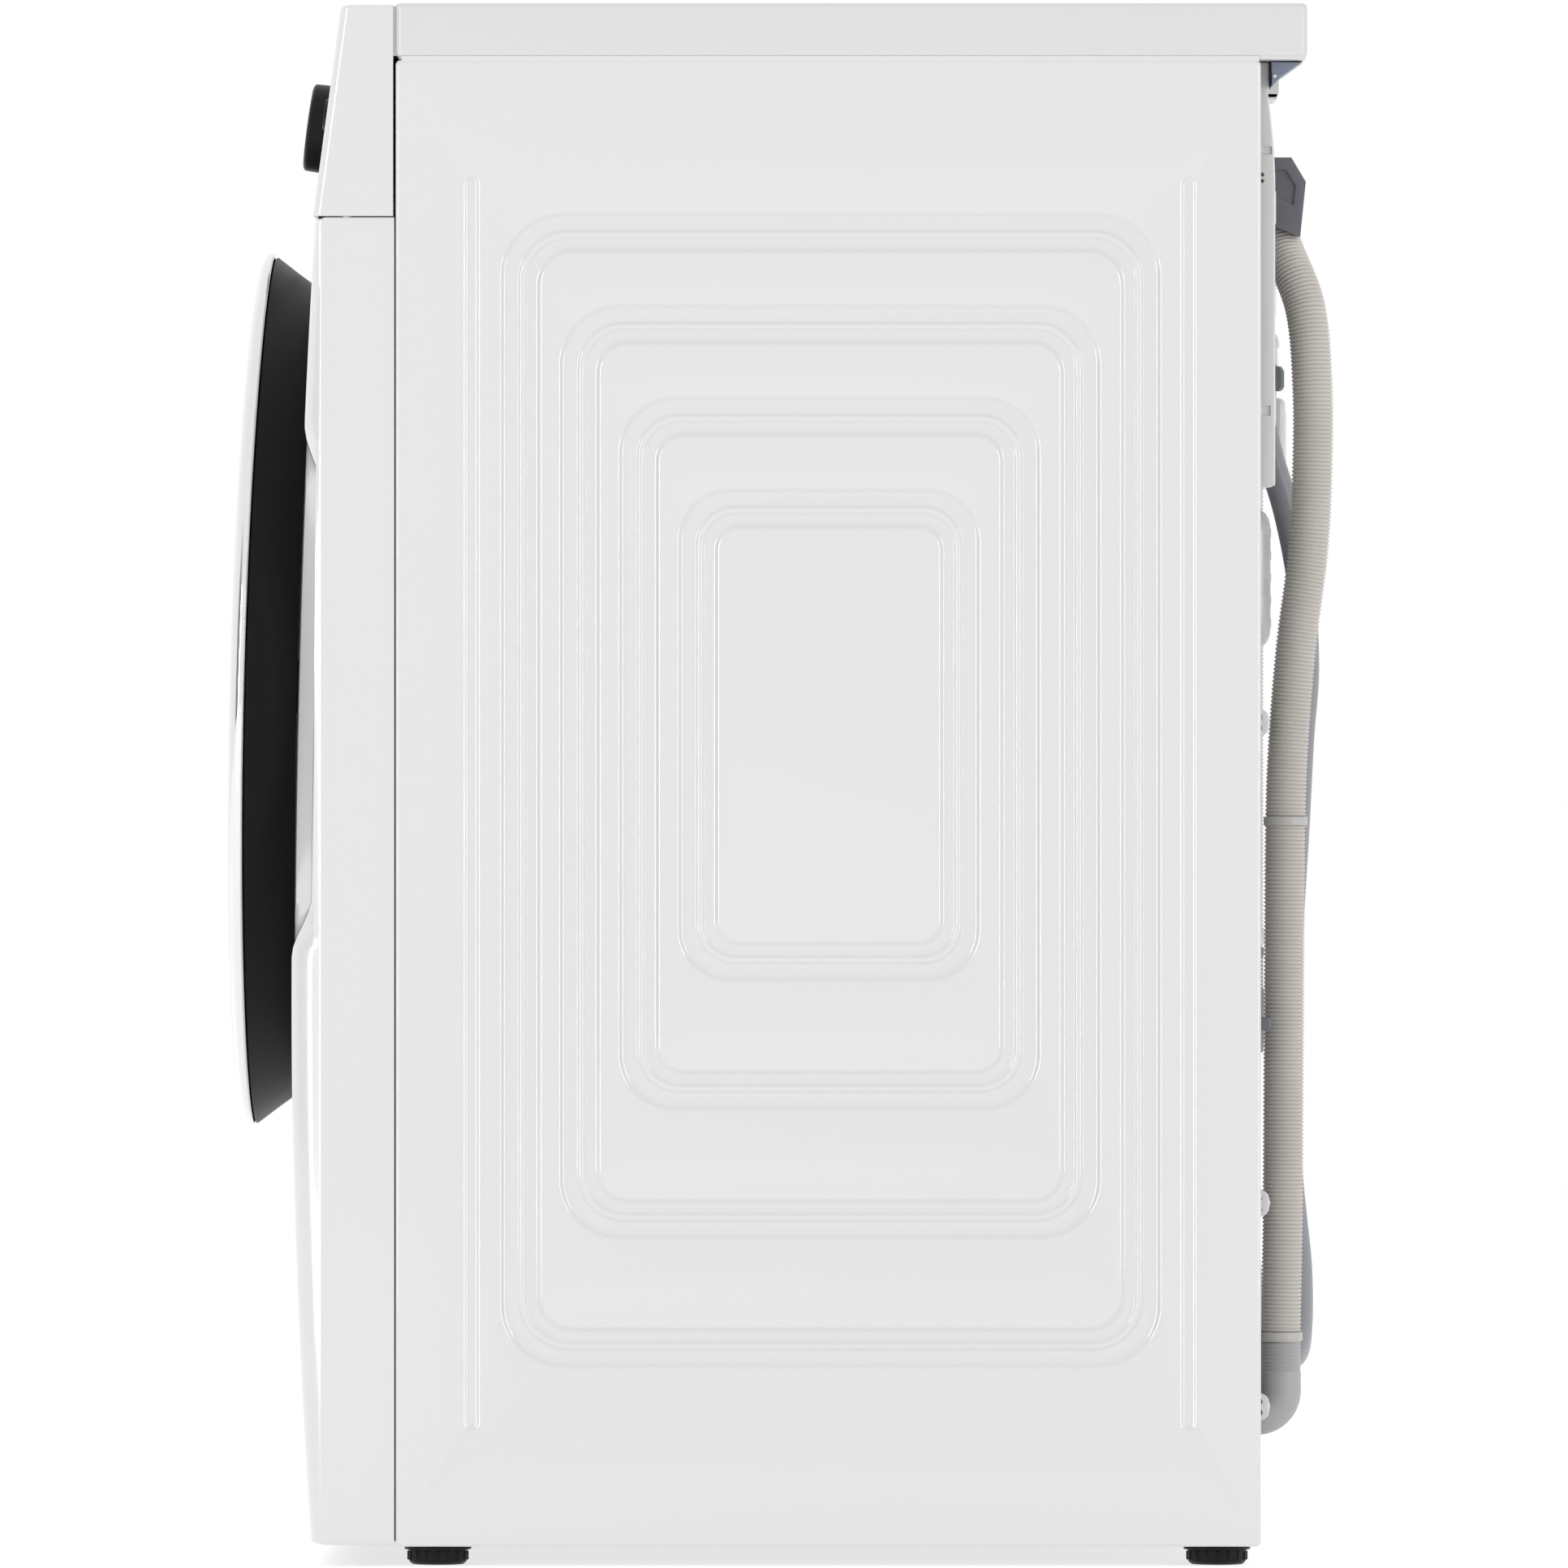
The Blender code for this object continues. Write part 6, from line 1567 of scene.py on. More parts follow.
def rear_fittings():
    """Hose clips, worktop bracket, cord gland, drain elbow and inlet valve."""
    clips = (("hose_clip_upper", 0.459), ("hose_clip_lower", 0.1955), (None, 0.0838))
    for node, z in clips:
        low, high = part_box("hose_clip_lower")
        outline = rounded_rectangle(low.y, high.y, z - 0.0073, z + 0.0073, 0.0050, 8)
        name = node or "hose_clip_bottom"
        clip = prism(f"{name}_moulded", outline, "X", low.x, high.x, "white_plastic", "cabinet", 0.0010)
        cuts = [cutter(f"{name}_hole_{k}", lambda b, k=k, z=z: prism_into(
            b, capsule((0.2716, z - 0.0030 + 0.0060 * k), 0.0026, 0.0018), "X", 0.19, 0.24)) for k in (0, 1)]
        carve(clip, *cuts)
        if node:
            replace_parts(clip, node)
    screws("hose_clip_screws", [(0.2085, 0.2777, z) for _, z in clips], (0, 1, 0), "cabinet", radius=0.0024,
           height=0.0012)
    block("hose_tab", (0.2035, BACK_FACE, 0.2905), (0.2230, 0.2788, 0.2975), "grey_plastic", "cabinet",
          0.0012)

    gusset = soften([(0.2772, 0.8192), (0.2945, 0.8192), (0.2824, 0.8106), (0.2772, 0.8050)], 0.0005, 3, True)
    low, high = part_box("worktop_bracket")
    bracket = prism("worktop_bracket_formed", gusset, "X", low.x, high.x, "bracket_steel", "cabinet", 0.0005)
    hollow = [(0.2765, 0.8180), (0.2915, 0.8180), (0.2818, 0.8116), (0.2765, 0.8064)]
    middle, wall = (low.x + high.x) / 2, 0.0015
    halves = ((low.x + wall, middle - wall / 2 - 0.00005), (middle + wall / 2 + 0.00005, high.x - wall))
    pockets = [cutter(f"bracket_pocket_{k}", lambda b, span=span: prism_into(b, hollow, "X", *span))
               for k, span in enumerate(halves)]
    carve(bracket, *pockets)
    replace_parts(bracket, "worktop_bracket")
    screws("bracket_screws", [(high.x - 0.0001, 0.2790, 0.8112)], (1, 0, 0), "cabinet", radius=0.0014,
           height=0.0012)
    under = [(0.245, 0.2850, 0.8196), (0.08, 0.2695, 0.8196), (-0.08, 0.2695, 0.8196)]
    screws("worktop_screws", under, (0, 0, -1), "cabinet", radius=0.0030, height=0.0016)

    rings = [(0, 0.0003), (0.014, 0.0003), (0.014, 0.0024), (0.0125, 0.0034), (0.0100, 0.0040)]
    for k in range(5):
        y = 0.0048 + 0.0038 * k
        rings += [(0.0088 - 0.0006 * k, y), (0.0088 - 0.0006 * k, y + 0.0020),
                  (0.0072 - 0.0006 * k, y + 0.0024),
                  (0.0072 - 0.0006 * k, y + 0.0034)]
    rings += [(0.0038, 0.0240), (0.0038, 0.006), (0, 0.006)]
    gland = lathe("cord_gland_ribbed", rings, "black_plastic", "cabinet", (0, 1, 0),
                  (-0.225, BACK_FACE, 0.700), 48,
                  0.0003)
    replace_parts(gland, "cord_gland")

    radius = DRAIN_DIAMETER / 2
    drain_x = DRAIN_ROUTE[0][0]
    path = [Vector((drain_x, BACK_FACE + GAP + 0.0018 * k, 0.0785)) for k in range(6)]
    path += [Vector((drain_x, y, z)) for y, z in arc((0.2720, 0.0915), 0.0130, -88, 0, 26)]
    path += [Vector((drain_x, 0.2850, 0.1010 + 0.0010 * k)) for k in range(18)]
    radii = [radius + 0.0018] * 3 + [radius] * (len(path) - 20)
    radii += [radius - 0.0006 * (k % 2) for k in range(17)]
    elbow = tube("drain_elbow_moulded", path, radii[:len(path)], "elbow", "cabinet", 40)
    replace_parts(elbow, "drain_elbow")

    low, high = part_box("inlet_valve")
    bm = bmesh.new()
    inside = BACK_FACE - 0.0018
    block_into(bm, (INLET_X - 0.0185, 0.226, VALVE_Z - 0.020), (INLET_X + 0.0185, inside, VALVE_Z + 0.020),
               0.003, 4)
    lathe_into(bm, [(0, -0.049), (0.011, -0.049), (0.0150, -0.045), (0.0150, -0.026), (0, -0.026)], (0, 1, 0),
               (INLET_X, BACK_FACE, VALVE_Z + 0.004), 40, 0.001)
    for k in range(7):
        lathe_into(bm, [(0.0145, 0), (0.0158, 0), (0.0158, 0.0014), (0.0145, 0.0014)], (0, 1, 0),
                   (INLET_X, 0.2170 + 0.0026 * k, VALVE_Z + 0.004), 40, 0.0003)
    for x in (-0.006, 0.006):
        block_into(bm, (INLET_X + x - 0.003, 0.2155, VALVE_Z + 0.018),
                   (INLET_X + x + 0.003, 0.2180, VALVE_Z + 0.026),
                   0.0004)
    lathe_into(bm, [(0, -0.012), (0.0085, -0.012), (0.0085, 0.0002), (0.0135, 0.0002), (0.0135, 0.0024),
                    (0.0092, 0.0040), (0.0085, 0.0060), (0.0085, 0.0168), (0.0070, 0.0182), (0, 0.0182)],
                    (0, 1, 0),
               (INLET_X, BACK_FACE, VALVE_Z), 48, 0.0006)
    lathe_into(bm, [(0, 0.6565), (0.0083, 0.6565), (0.0083, 0.6660), (0.0092, 0.6668), (0.0092, 0.6700),
                    (0.0078, 0.6738), (0, 0.6742)], (0, 0, 1), (INLET_X, 0.2765, 0), 48, 0.0006)
    valve = place_piece("inlet_valve_moulded", bm, "white_plastic", "cabinet")
    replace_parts(valve, "inlet_valve")


# ---------------------------------------------------------------- tub and drive


def fin_into(bm, centre, axis_angle, inner, outer, low, high, half):
    """A flat rib that stands out from the Y axis through centre, at an angle about it."""
    along = Vector((math.sin(axis_angle), 0, math.cos(axis_angle)))
    side = Vector((math.cos(axis_angle), 0, -math.sin(axis_angle)))
    middle = Vector(centre)
    sections = []
    for y in (low, high):
        sections.append([middle + along * r + side * s + Vector((0, y, 0))
                         for r, s in ((inner, -half), (outer, -half), (outer, half), (inner, half))])
    loft_into(bm, sections)


def tub():
    wall = 0.004
    inside = TUB_RADIUS - wall
    axis = (0, 0, AXIS_HEIGHT)
    front = [(0.172, -0.178), (inside - 0.02, -0.178), (TUB_RADIUS - 0.004, -0.166), (TUB_RADIUS, -0.158),
             (TUB_RADIUS, -0.028), (TUB_RADIUS + 0.0035, -0.026), (TUB_RADIUS + 0.0035, -0.0203),
             (inside, -0.0203),
             (inside, -0.157), (inside - 0.021, -0.174), (0.172, -0.174)]
    bm = bmesh.new()
    lathe_into(bm, front, (0, 1, 0), axis, 128, 0.0016)
    for k in range(36):
        fin_into(bm, axis, math.radians(10 * k), 0.1780, 0.2360, -0.1815, -0.1770, 0.0012)
        fin_into(bm, axis, math.radians(10 * k + 5), TUB_RADIUS - 0.001, TUB_RADIUS + 0.0030, -0.150, -0.026,
                 0.0012)
    for radius in (0.186, 0.212):
        lathe_into(bm, [(radius, -0.1812), (radius + 0.0024, -0.1812), (radius + 0.0024, -0.1770),
                        (radius, -0.1770)],
                   (0, 1, 0), axis, 96, 0.0004)
    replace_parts(place_piece("tub_front_moulded", bm, "tub_plastic", "tub"), "tub_front")

    rear = [(0.0135, 0.182), (inside, 0.182), (inside, -0.0197), (TUB_RADIUS + 0.0035, -0.0197),
            (TUB_RADIUS + 0.0035, -0.014), (TUB_RADIUS, -0.012), (TUB_RADIUS, 0.180),
            (TUB_RADIUS - 0.006, 0.187),
            (0.060, 0.187), (0.036, 0.208), (0.033, 0.210), (0.0135, 0.210)]
    bm = bmesh.new()
    lathe_into(bm, rear, (0, 1, 0), axis, 128, 0.0016)
    for k in range(24):
        fin_into(bm, axis, math.radians(15 * k), 0.050, 0.2520, 0.1860, 0.1960, 0.0014)
        fin_into(bm, axis, math.radians(15 * k), TUB_RADIUS - 0.001, TUB_RADIUS + 0.0030, -0.013, 0.180,
                 0.0012)
    for radius in (0.095, 0.150, 0.205, 0.248):
        lathe_into(bm, [(radius, 0.1860), (radius + 0.0026, 0.1860), (radius + 0.0026, 0.1950),
                        (radius, 0.1950)],
                   (0, 1, 0), axis, 96, 0.0004)
    for side in (1, -1):
        block_into(bm, (side * 0.200 - 0.011, 0.021, 0.636), (side * 0.200 + 0.011, 0.039, 0.6585), 0.003)
        block_into(bm, (side * 0.160 - 0.013, -0.033, 0.250), (side * 0.160 + 0.013, -0.007, 0.278), 0.003)
    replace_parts(place_piece("tub_rear_moulded", bm, "tub_plastic", "tub"), "tub_rear")
    bm = bmesh.new()
    for k in range(18):
        turn = math.radians(20 * k + 10)
        place = Vector((0.2632 * math.sin(turn), -0.0200, AXIS_HEIGHT + 0.2632 * math.cos(turn)))
        low, high = place - Vector((0.005, 0.008, 0.005)), place + Vector((0.005, 0.008, 0.005))
        block_into(bm, low, high, 0.0015)
    place_piece("tub_clips", bm, "stainless", "tub")

    sections = []
    for k in range(53):
        turn = math.radians(205 + 2.5 * k)
        tuck = 0.004 if k in (0, 52) else 0.0
        outline = rounded_rectangle(0.188 + tuck, 0.250 - tuck, -0.206 + tuck, -0.1818 - tuck, 0.0045, 4)
        sections.append([(r * math.cos(turn), y, AXIS_HEIGHT + r * math.sin(turn)) for r, y in outline])
    weight = loft("counterweight_cast", sections, "concrete", "tub", 50)
    holes, bolts = [], []
    for degrees in (218, 270, 322):
        turn = math.radians(degrees)
        x, z = 0.219 * math.cos(turn), AXIS_HEIGHT + 0.219 * math.sin(turn)
        bolts.append((x, -0.2010, z))
        holes.append(cutter(f"weight_hole_{degrees}", lambda b, x=x, z=z: lathe_into(
            b, [(0, -0.02), (0.011, -0.02), (0.011, 0.0045), (0, 0.0045)], (0, 1, 0), (x, -0.2060, z), 32)))
    carve(weight, *holes)
    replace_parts(weight, "counterweight")
    bm = bmesh.new()
    for x, y, z in bolts:
        hexagon = [(x + 0.0075 * math.cos(math.radians(60 * k)), z + 0.0075 * math.sin(math.radians(60 * k)))
                   for k in range(6)]
        prism_into(bm, hexagon, "Y", y - 0.0035, y + 0.0005, 0.0006)
        lathe_into(bm, [(0, 0), (0.0100, 0), (0.0100, 0.0014), (0, 0.0014)], (0, 1, 0), (x, y - 0.0002, z),
                   32, 0.0003)
    place_piece("counterweight_bolts", bm, "stainless", "tub")


def drive():
    """Motor, pulleys and the ribbed belt."""
    centre = (MOTOR_X, 0, MOTOR_Z)
    profile = [(0, 0.045), (0.016, 0.045), (0.018, 0.049), (0.038, 0.052), (0.046, 0.058), (0.047, 0.080)]
    for k in range(22):
        y = 0.082 + 0.0038 * k
        profile += [(0.0508, y), (0.0508, y + 0.0026), (0.0500, y + 0.0029), (0.0500, y + 0.0036)]
    profile += [(0.047, 0.167), (0.047, 0.186), (0.042, 0.194), (0.020, 0.199), (0.018, 0.205), (0, 0.205)]
    bm = bmesh.new()
    lathe_into(bm, profile, (0, 1, 0), centre, 72)
    for k in range(18):
        fin_into(bm, centre, math.radians(20 * k), 0.018, 0.0500, 0.188, 0.199, 0.0010)
        fin_into(bm, centre, math.radians(20 * k), 0.018, 0.0490, 0.048, 0.062, 0.0010)
    for side in (-0.5, 0.5):
        block_into(bm, (MOTOR_X + side * 0.05 - 0.007, 0.060, MOTOR_Z + 0.040),
                   (MOTOR_X + side * 0.05 + 0.007, 0.190, MOTOR_Z + 0.0505), 0.002)
    block_into(bm, (MOTOR_X - 0.020, 0.100, MOTOR_Z - 0.0560), (MOTOR_X + 0.020, 0.140, MOTOR_Z - 0.0470),
               0.002)
    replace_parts(place_piece("motor_finned", bm, "motor_metal", "tub"), "motor")
    bm = bmesh.new()
    for k in range(12):
        turn = math.radians(30 * k)
        at = Vector((MOTOR_X + 0.034 * math.cos(turn), 0, MOTOR_Z + 0.034 * math.sin(turn)))
        block_into(bm, at + Vector((-0.006, 0.054, -0.006)), at + Vector((0.006, 0.0665, 0.006)), 0.004, 4)
    place_piece("motor_windings", bm, "copper", "tub")

    grooves = 7
    pitch = (BELT_HIGH - BELT_LOW) / grooves

    def grooved(radius, low, high, count):
        made = []
        for k in range(count):
            start = low + (high - low) * k / count
            made += [(radius, start), (radius, start + pitch * 0.30), (radius - 0.0013, start + pitch * 0.5),
                     (radius, start + pitch * 0.70)]
        return made + [(radius, high)]

    small = [(0, 0.2075), (0.0070, 0.2075), (0.0070, BELT_LOW - 0.002),
             (MOTOR_PULLEY_RADIUS + 0.0006, BELT_LOW - 0.002),
             (MOTOR_PULLEY_RADIUS + 0.0006, BELT_LOW)]
    small += grooved(MOTOR_PULLEY_RADIUS, BELT_LOW, BELT_HIGH, grooves)
    small += [(MOTOR_PULLEY_RADIUS, BELT_HIGH + 0.002), (0.0075, BELT_HIGH + 0.002),
              (0.0065, BELT_HIGH - 0.002),
              (0, BELT_HIGH - 0.002)]
    bm = bmesh.new()
    lathe_into(bm, small, (0, 1, 0), centre, 48)
    for k in range(12):
        fin_into(bm, (MOTOR_X, 0, MOTOR_Z), math.radians(30 * k), 0.0060, 0.0082, 0.2080, 0.2150, 0.0006)
    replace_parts(place_piece("motor_pulley_grooved", bm, "stainless", "motor_pulley", 25),
                "motor_pulley")

    low, high, rim = BELT_LOW + 0.0005, BELT_HIGH - 0.0005, PULLEY_RADIUS
    pulley = [(0.0128, low), (0.030, low), (0.034, low + 0.006), (rim - 0.010, low + 0.006),
              (rim - 0.006, low),
              (rim, low)] + grooved(rim, low, high, grooves)[1:]
    pulley += [(rim - 0.006, high), (rim - 0.010, low + 0.009), (0.034, low + 0.009), (0.030, high),
               (0.0128, high)]
    wheel = lathe("drum_pulley_spoked", pulley, "galvanised", "drum", (0, 1, 0), (0, 0, AXIS_HEIGHT), 120, 0,
                  25)
    windows = []
    for k in range(6):
        middle = 60 * k
        outline = arc((0, AXIS_HEIGHT), 0.124, middle - 20, middle + 20, 16)
        outline += arc((0, AXIS_HEIGHT), 0.050, middle + 11, middle - 11, 8)
        windows.append(cutter(f"pulley_window_{k}", lambda b, o=soften(outline, 0.007, 4, True): prism_into(
            b, o, "Y", 0.215, 0.240)))
    carve(wheel, *windows, sharp=25)
    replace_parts(wheel, "drum_pulley")

    away = Vector((MOTOR_X, MOTOR_Z - AXIS_HEIGHT))
    heading = math.degrees(math.atan2(away.y, away.x))
    swing = math.degrees(math.acos((PULLEY_RADIUS - MOTOR_PULLEY_RADIUS) / away.length))
    lower, upper = 0.0004, 0.0034
    section = []
    for k in range(grooves):
        start = BELT_LOW + pitch * k
        section += [(lower + 0.0012, start), (lower, start + pitch * 0.35), (lower, start + pitch * 0.65)]
    section += [(lower + 0.0012, BELT_HIGH), (upper, BELT_HIGH), (upper, BELT_LOW)]
    bm = bmesh.new()
    rings = []
    for extra, y in section:
        loop = arc((0, AXIS_HEIGHT), PULLEY_RADIUS + extra, heading + swing, heading + 360 - swing, 120)
        loop += arc((MOTOR_X, MOTOR_Z), MOTOR_PULLEY_RADIUS + extra, heading - swing, heading + swing, 20)
        rings.append([bm.verts.new((x, y, z)) for x, z in loop])
    for ring, following in zip(rings, rings[1:] + rings[:1]):
        for i in range(len(ring)):
            j = (i + 1) % len(ring)
            bm.faces.new((ring[i], ring[j], following[j], following[i]))
    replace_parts(place_piece("drive_belt_ribbed", bm, "rubber", "tub", 25), "drive_belt")

    bm = bmesh.new()
    lathe_into(bm, [(0, 0.1700), (0.0125, 0.1700), (0.0125, 0.2365), (0.0110, 0.2380), (0, 0.2380)],
               (0, 1, 0),
               (0, 0, AXIS_HEIGHT), 48, 0.0004)
    lathe_into(bm, [(0, 0.1630), (0.040, 0.1630), (0.045, 0.1660), (0.045, 0.1720), (0.030, 0.1780),
                    (0.0125, 0.1800),
                    (0, 0.1800)], (0, 1, 0), (0, 0, AXIS_HEIGHT), 64, 0.0016)
    for k in range(3):
        arm_into(bm, math.radians(30 + 120 * k))
    spider = place_piece("drum_spider_cast", bm, "motor_metal", "drum")
    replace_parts(spider, "drum_spider")
    hexagon = [(0.0085 * math.cos(math.radians(60 * k)),
                AXIS_HEIGHT + 0.0085 * math.sin(math.radians(60 * k)))
               for k in range(6)]
    prism("drum_pulley_bolt", hexagon, "Y", 0.2378, 0.2430, "stainless", "drum", 0.0007)


def arm_into(bm, turn):
    """One arm of the spider: a tapering channel with a foot at its end."""
    sections = []
    for reach, half, thick in ((0.020, 0.022, 0.0090), (0.060, 0.0180, 0.0088), (0.120, 0.0140, 0.0080),
                               (0.180, 0.0120, 0.0070), (0.2000, 0.0150, 0.0064), (0.2140, 0.0160, 0.0060)):
        outline = rounded_rectangle(-half, half, 0.1645, 0.1645 + thick, 0.0024, 3)
        sections.append([(reach, y, across) for across, y in outline])
    start = len(bm.verts)
    loft_into(bm, sections)
    bm.verts.ensure_lookup_table()
    fresh = bm.verts[start:]
    place = Matrix.Translation((0, 0, AXIS_HEIGHT)) @ Matrix.Rotation(turn, 4, "Y")
    bmesh.ops.transform(bm, verts=fresh, matrix=place)


def drying_duct():
    bm = bmesh.new()
    block_into(bm, (-0.095, -0.150, 0.7430), (0.060, 0.080, 0.7880), 0.010, 5)
    for k in range(7):
        block_into(bm, (-0.090, -0.135 + 0.030 * k, 0.7870), (0.055, -0.132 + 0.030 * k, 0.7900), 0.0008)
    block_into(bm, (-0.099, -0.154, 0.7640), (0.064, 0.084, 0.7672), 0.0012)
    lathe_into(bm, [(0, 0.7430), (0.062, 0.7430), (0.066, 0.7470), (0.066, 0.7640), (0.0690, 0.7645),
                    (0.0690, 0.7672), (0.066, 0.7680), (0.066, 0.7860), (0.058, 0.7930), (0.030, 0.7945),
                    (0.026, 0.7960), (0, 0.7960)], (0, 0, 1), (0.005, 0.115, 0), 72, 0.0016)
    duct = place_piece("drying_duct_pressed", bm, "galvanised", "tub")
    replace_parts(duct, "drying_duct")
    places = [(x, y, 0.7670) for x in (-0.0965, 0.0615) for y in (-0.14, -0.08, -0.02, 0.04)]
    screws("drying_duct_screws", places, (0, 0, 1), "tub", radius=0.0030)


def suspension():
    """Coil springs that stretch between cabinet and tub, their hangers, and the friction dampers."""
    for side, name in ((1, "right"), (-1, "left")):
        x, y = side * 0.20, 0.03
        top, bottom, coil, wire, turns = 0.800, 0.655, 0.0066, 0.0013, 20
        points = [Vector((x, y, top)), Vector((x, y, top - 0.006)), Vector((x + coil * 0.6, y, top - 0.010))]
        count = turns * 16
        for k in range(count + 1):
            turn = 2 * math.pi * k / 16
            z = top - 0.014 - (top - bottom - 0.028) * k / count
            points.append(Vector((x + coil * math.cos(turn), y + coil * math.sin(turn), z)))
        points += [Vector((x + coil * 0.6, y, bottom + 0.010)), Vector((x, y, bottom + 0.006)),
                   Vector((x, y, bottom))]
        spring = tube(f"spring_{name}_coil", points, [wire] * len(points), "spring_steel", "cabinet", 10)
        spring.parent = None
        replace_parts(spring, f"spring_{name}")
        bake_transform(spring)
        bm = bmesh.new()
        block_into(bm, (min(x - side * 0.012, side * 0.2925), 0.018, 0.7990),
                   (max(x - side * 0.012, side * 0.2925), 0.042, 0.8012), 0.0006)
        block_into(bm, (min(side * 0.2905, side * 0.2925), 0.018, 0.775),
                   (max(side * 0.2905, side * 0.2925), 0.042,
                                                                          0.8012), 0.0006)
        lathe_into(bm, [(0, 0.7972), (0.0042, 0.7972), (0.0050, 0.7990), (0.0042, 0.8030), (0, 0.8030)],
                   (0, 0, 1),
                   (x, y, 0), 24, 0.0006)
        place_piece(f"spring_hanger_{name}", bm, "galvanised", "cabinet")

        x, y = side * 0.16, -0.02
        rod = [(0, 0.085), (0.0070, 0.085), (0.0080, 0.0865), (0.0080, 0.238), (0.0065, 0.2395),
               (0.0065, 0.2435),
               (0.0110, 0.2450), (0.0110, 0.2600), (0.0095, 0.2620), (0, 0.2620)]
        rod = lathe(f"damper_rod_{name}_turned", rod, "stainless", "tub", (0, 0, 1), (x, y, 0), 40, 0.0005)
        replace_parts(rod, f"damper_rod_{name}")
        shell = [(0, 0.0475), (0.0110, 0.0475), (0.0130, 0.0500)]
        for k in range(6):
            z = 0.062 + 0.006 * k
            shell += [(0.0130, z), (0.0142, z + 0.0008), (0.0142, z + 0.0022), (0.0130, z + 0.0030)]
        shell += [(0.0130, 0.155), (0.0150, 0.158), (0.0150, 0.172), (0.0140, 0.175), (0.0095, 0.175),
                  (0.0095, 0.0525), (0, 0.0525)]
        shell = lathe(f"damper_tube_{name}_moulded", shell, "black_plastic", "cabinet", (0, 0, 1), (x, y, 0),
                      40,
                      0.0005)
        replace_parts(shell, f"damper_tube_{name}")
        bm = bmesh.new()
        block_into(bm, (x - 0.020, y - 0.016, 0.0150), (x + 0.020, y + 0.016, 0.0190), 0.0012)
        for reach in (-1, 1):
            block_into(bm, (x + reach * 0.0160 - 0.0020, y - 0.010, 0.0170),
                       (x + reach * 0.0160 + 0.0020, y + 0.010,
                                                                             0.0600), 0.0012)
        lathe_into(bm, [(0, -0.020), (0.0035, -0.020), (0.0035, 0.020), (0, 0.020)], (1, 0, 0),
                   (x, y, 0.0505), 24,
                   0.0006)
        place_piece(f"damper_foot_{name}", bm, "galvanised", "cabinet")


# ---------------------------------------------------------------- base


def base():
    low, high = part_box("base_tray")
    tray = block("base_tray_moulded", low, high, "grey_plastic", "cabinet", 0.003, 3)
    cuts = [cutter("tray_hollow", lambda b: block_into(b, low + Vector((0.003, 0.003, 0.0035)),
                                                       high + Vector((-0.003, -0.003, 0.02)), 0.002))]
    for x in (-FOOT_X, FOOT_X):
        for y in FOOT_Y:
            cuts.append(cutter("stud_cut", lambda b, x=x, y=y: lathe_into(
                b, [(0, -0.01), (0.0056, -0.01), (0.0056, 0.03), (0, 0.03)], (0, 0, 1), (x, y, 0), 32)))
    carve(tray, *cuts)
    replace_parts(tray, "base_tray")
    bm = bmesh.new()
    floor = low.z + 0.0030
    for k in range(7):
        y = low.y + 0.055 + 0.055 * k
        block_into(bm, (low.x + 0.002, y, floor), (high.x - 0.002, y + 0.0026, 0.034), 0.0008)
    for k in (-1, 1):
        block_into(bm, (k * 0.215 - 0.0013, low.y + 0.004, floor),
                   (k * 0.215 + 0.0013, high.y - 0.004, 0.036), 0.0008)
    for k in range(7):
        y = low.y + 0.055 + 0.055 * k
        block_into(bm, (low.x + 0.045, y - 0.001, low.z - 0.0008), (high.x - 0.045, y + 0.004, low.z + 0.001),
                   0.0006)
    place_piece("base_tray_ribs", bm, "grey_plastic", "cabinet")
    bm = bmesh.new()
    for x in (-FOOT_X, FOOT_X):
        for y in FOOT_Y:
            lathe_into(bm, [(0.0060, floor - 0.001), (0.0150, floor - 0.001), (0.0120, 0.0280),
                            (0.0060, 0.0280)],
                       (0, 0, 1), (x, y, 0), 40, 0.0008)
    place_piece("foot_bosses", bm, "grey_plastic", "cabinet")

    for x, across in ((FOOT_X, "right"), (-FOOT_X, "left")):
        for y, along in zip(FOOT_Y, ("front", "rear")):
            foot(f"foot_{along}_{across}", x, y)


def foot(node, x, y):
    """A levelling foot: ribbed pad, rim, hexagonal neck and a threaded stud."""
    profile = [(0, 0.0), (0.0060, 0.0), (0.0066, 0.0008), (0.0078, 0.0008), (0.0084, 0.0), (0.0140, 0.0),
               (0.0156, 0.0014), (0.0160, 0.0030), (0.0160, 0.0074), (0.0165, 0.0079), (0.0180, 0.0081),
               (0.0183, 0.0086), (0.0183, 0.0098), (0.0178, 0.0103), (0.0072, 0.0104), (0.0046, 0.0106)]
    z = 0.0110
    while z < 0.0385:
        profile += [(0.0043, z), (0.0050, z + 0.00045), (0.0050, z + 0.00070), (0.0043, z + 0.00125)]
        z += 0.00125
    profile += [(0.0040, 0.0400), (0, 0.0400)]
    bm = bmesh.new()
    lathe_into(bm, profile, (0, 0, 1), (x, y, 0), 48)
    for k in range(16):
        turn = 2 * math.pi * k / 16
        at = Vector((x + 0.01595 * math.cos(turn), y + 0.01595 * math.sin(turn), 0))
        block_into(bm, at + Vector((-0.0008, -0.0008, 0.0022)), at + Vector((0.0008, 0.0008, 0.0072)), 0.0005,
                   2)
    pad = place_piece(f"{node}_ribbed", bm, "black_plastic", node, 30)
    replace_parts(pad, node)


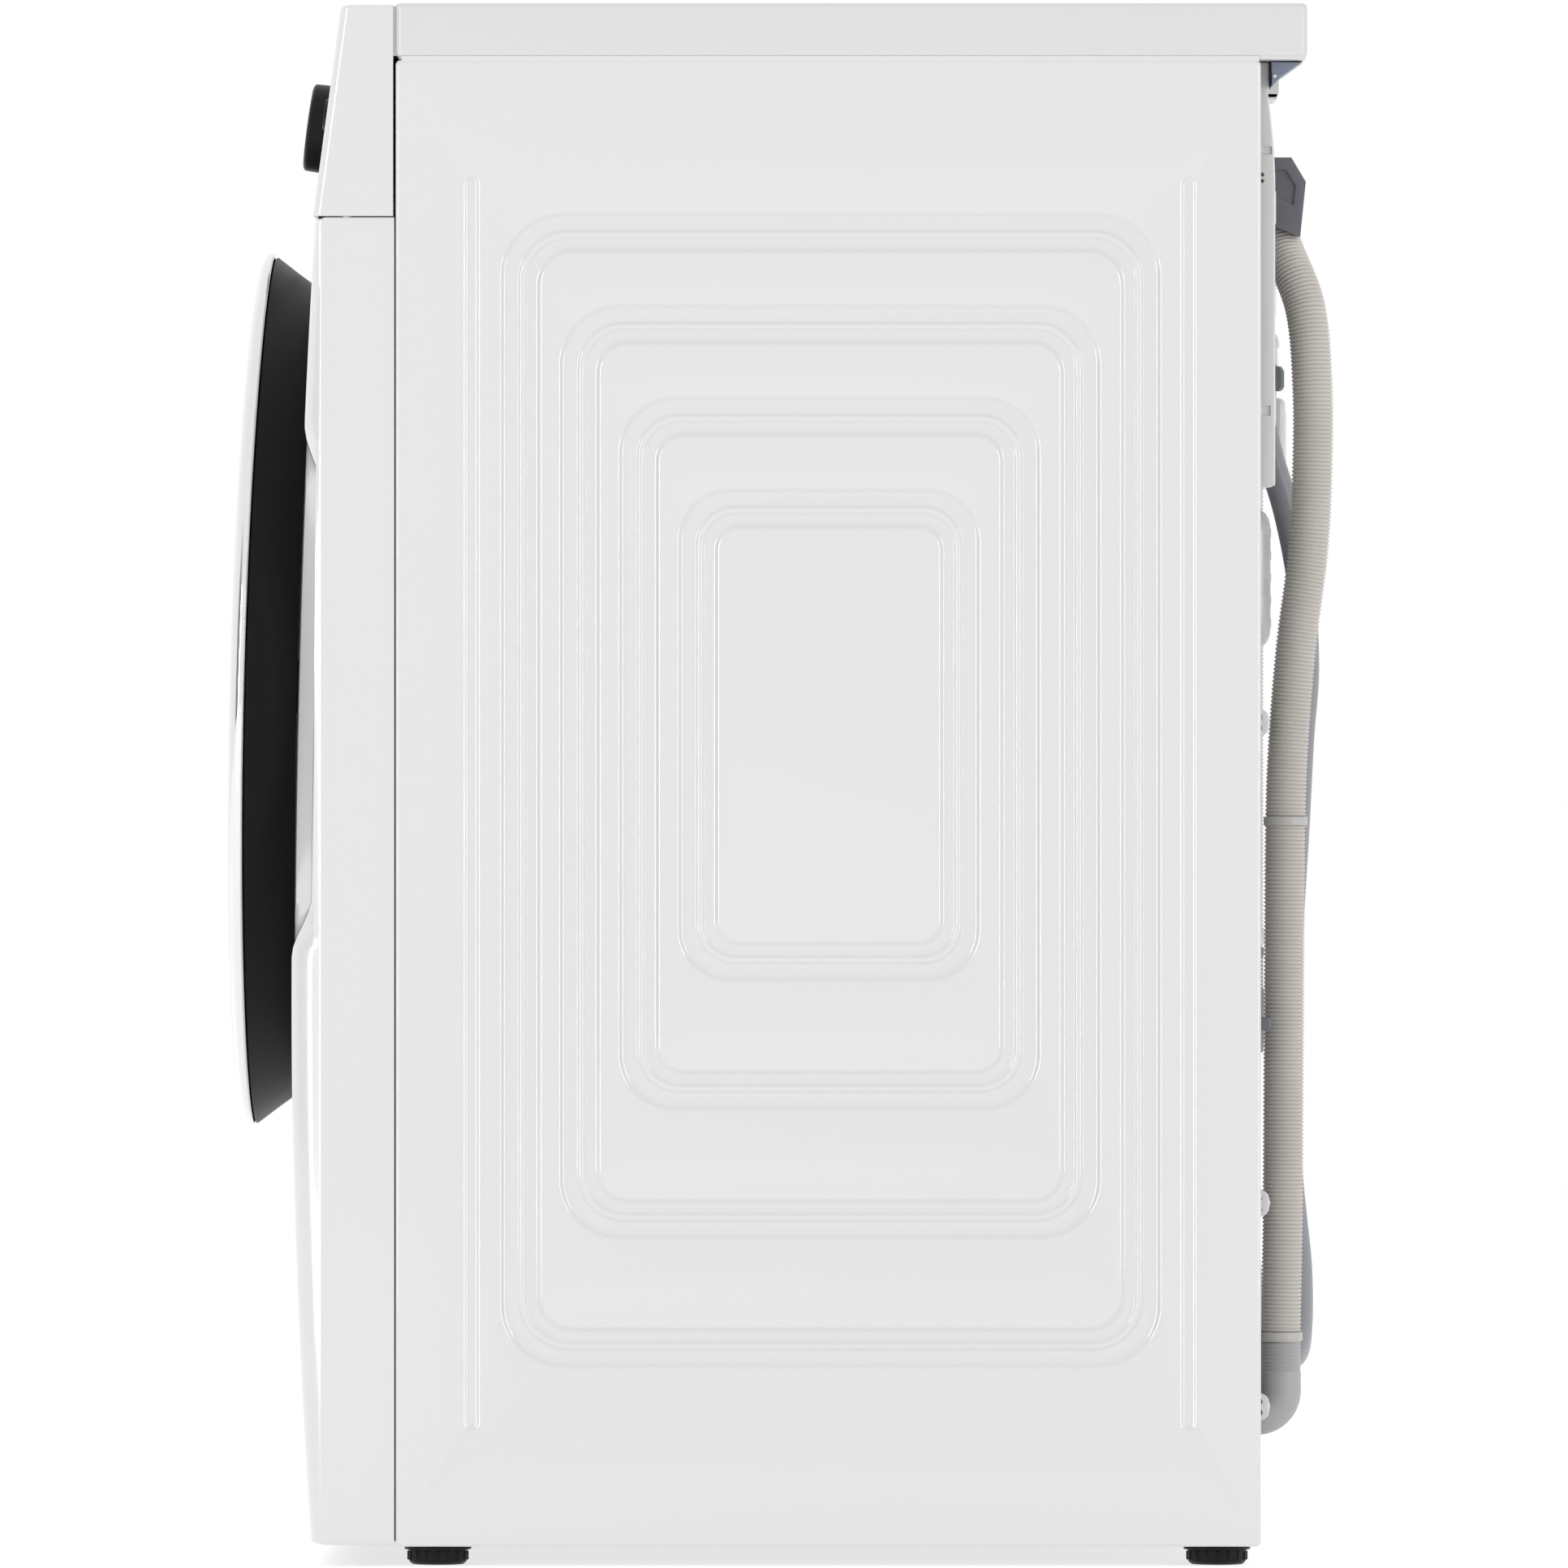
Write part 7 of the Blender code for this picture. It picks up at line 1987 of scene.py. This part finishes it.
def drain_pump():
    centre = (PUMP_X, 0, PUMP_Z)
    body = [(0, -0.110), (0.010, -0.110), (0.012, -0.113), (0.026, -0.115), (0.030, -0.119)]
    for k in range(9):
        y = -0.126 - 0.006 * k
        body += [(0.0300, y), (0.0288, y - 0.0010), (0.0288, y - 0.0024), (0.0300, y - 0.0034)]
    body += [(0.0300, -0.192), (0.0282, -0.198), (0.024, -0.205), (0.024, -0.225), (0.0262, -0.2265),
             (0.0262, -0.2320), (0.024, -0.2335), (0.024, -0.2355), (0, -0.2355)]
    bm = bmesh.new()
    lathe_into(bm, body, (0, 1, 0), centre, 64)
    lathe_into(bm, [(0, 0), (0.0095, 0), (0.0095, 0.030), (0.0112, 0.031), (0.0112, 0.034), (0.0095, 0.036),
                    (0, 0.036)],
               (0, 0, 1), (PUMP_X, -0.185, PUMP_Z + 0.020), 32, 0.0006)
    lathe_into(bm, [(0, 0), (0.0080, 0), (0.0080, 0.030), (0.0095, 0.031), (0.0095, 0.034), (0, 0.036)],
               (-1, 0, 0),
               (PUMP_X - 0.022, -0.165, PUMP_Z), 32, 0.0006)
    block_into(bm, (PUMP_X - 0.014, -0.150, PUMP_Z + 0.026), (PUMP_X + 0.014, -0.122, PUMP_Z + 0.037), 0.0020)
    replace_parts(place_piece("drain_pump_moulded", bm, "white_plastic", "cabinet"),
                "drain_pump")
    bm = bmesh.new()
    lathe_into(bm, [(0, -0.2360), (0.0250, -0.2360), (0.0260, -0.2366), (0.0260, -0.2386), (0.0250, -0.2395),
                    (0.0180, -0.2395), (0.0172, -0.2388), (0.0164, -0.2395), (0, -0.2395)], (0, 1, 0), centre,
                    64)
    block_into(bm, (PUMP_X - 0.021, -0.2450, PUMP_Z - 0.004), (PUMP_X + 0.021, -0.2390, PUMP_Z + 0.004),
               0.0018, 4)
    for k in range(24):
        fin_into(bm, centre, math.radians(15 * k), 0.0252, 0.0266, -0.2388, -0.2364, 0.0008)
    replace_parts(place_piece("filter_cap_moulded", bm, "pale_grey_plastic", "filter"),
                "filter_cap")


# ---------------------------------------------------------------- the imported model's own pieces


def finish_packed_pieces():
    """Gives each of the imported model's pieces the finish its record names."""
    for part in frame["record"]["subparts"]:
        piece = NODES.get(part["node"])
        if piece is None or part.get("material_slot") not in MAT:
            continue
        piece.data.materials.clear()
        piece.data.materials.append(MAT[part["material_slot"]])


drain_hose()
inlet_hose()
side_panel(1, "side_panel_right", "side_panel_right_sheet")
side_panel(-1, "side_panel_left", "side_panel_left_sheet")
worktop()
front_panel()
fascia()
drawer()
door()
gasket()
drum()
rear_panel()
duct_cover()
hose_hook()
rear_fittings()
tub()
drive()
drying_duct()
suspension()
base()
drain_pump()
finish_packed_pieces()
studio()
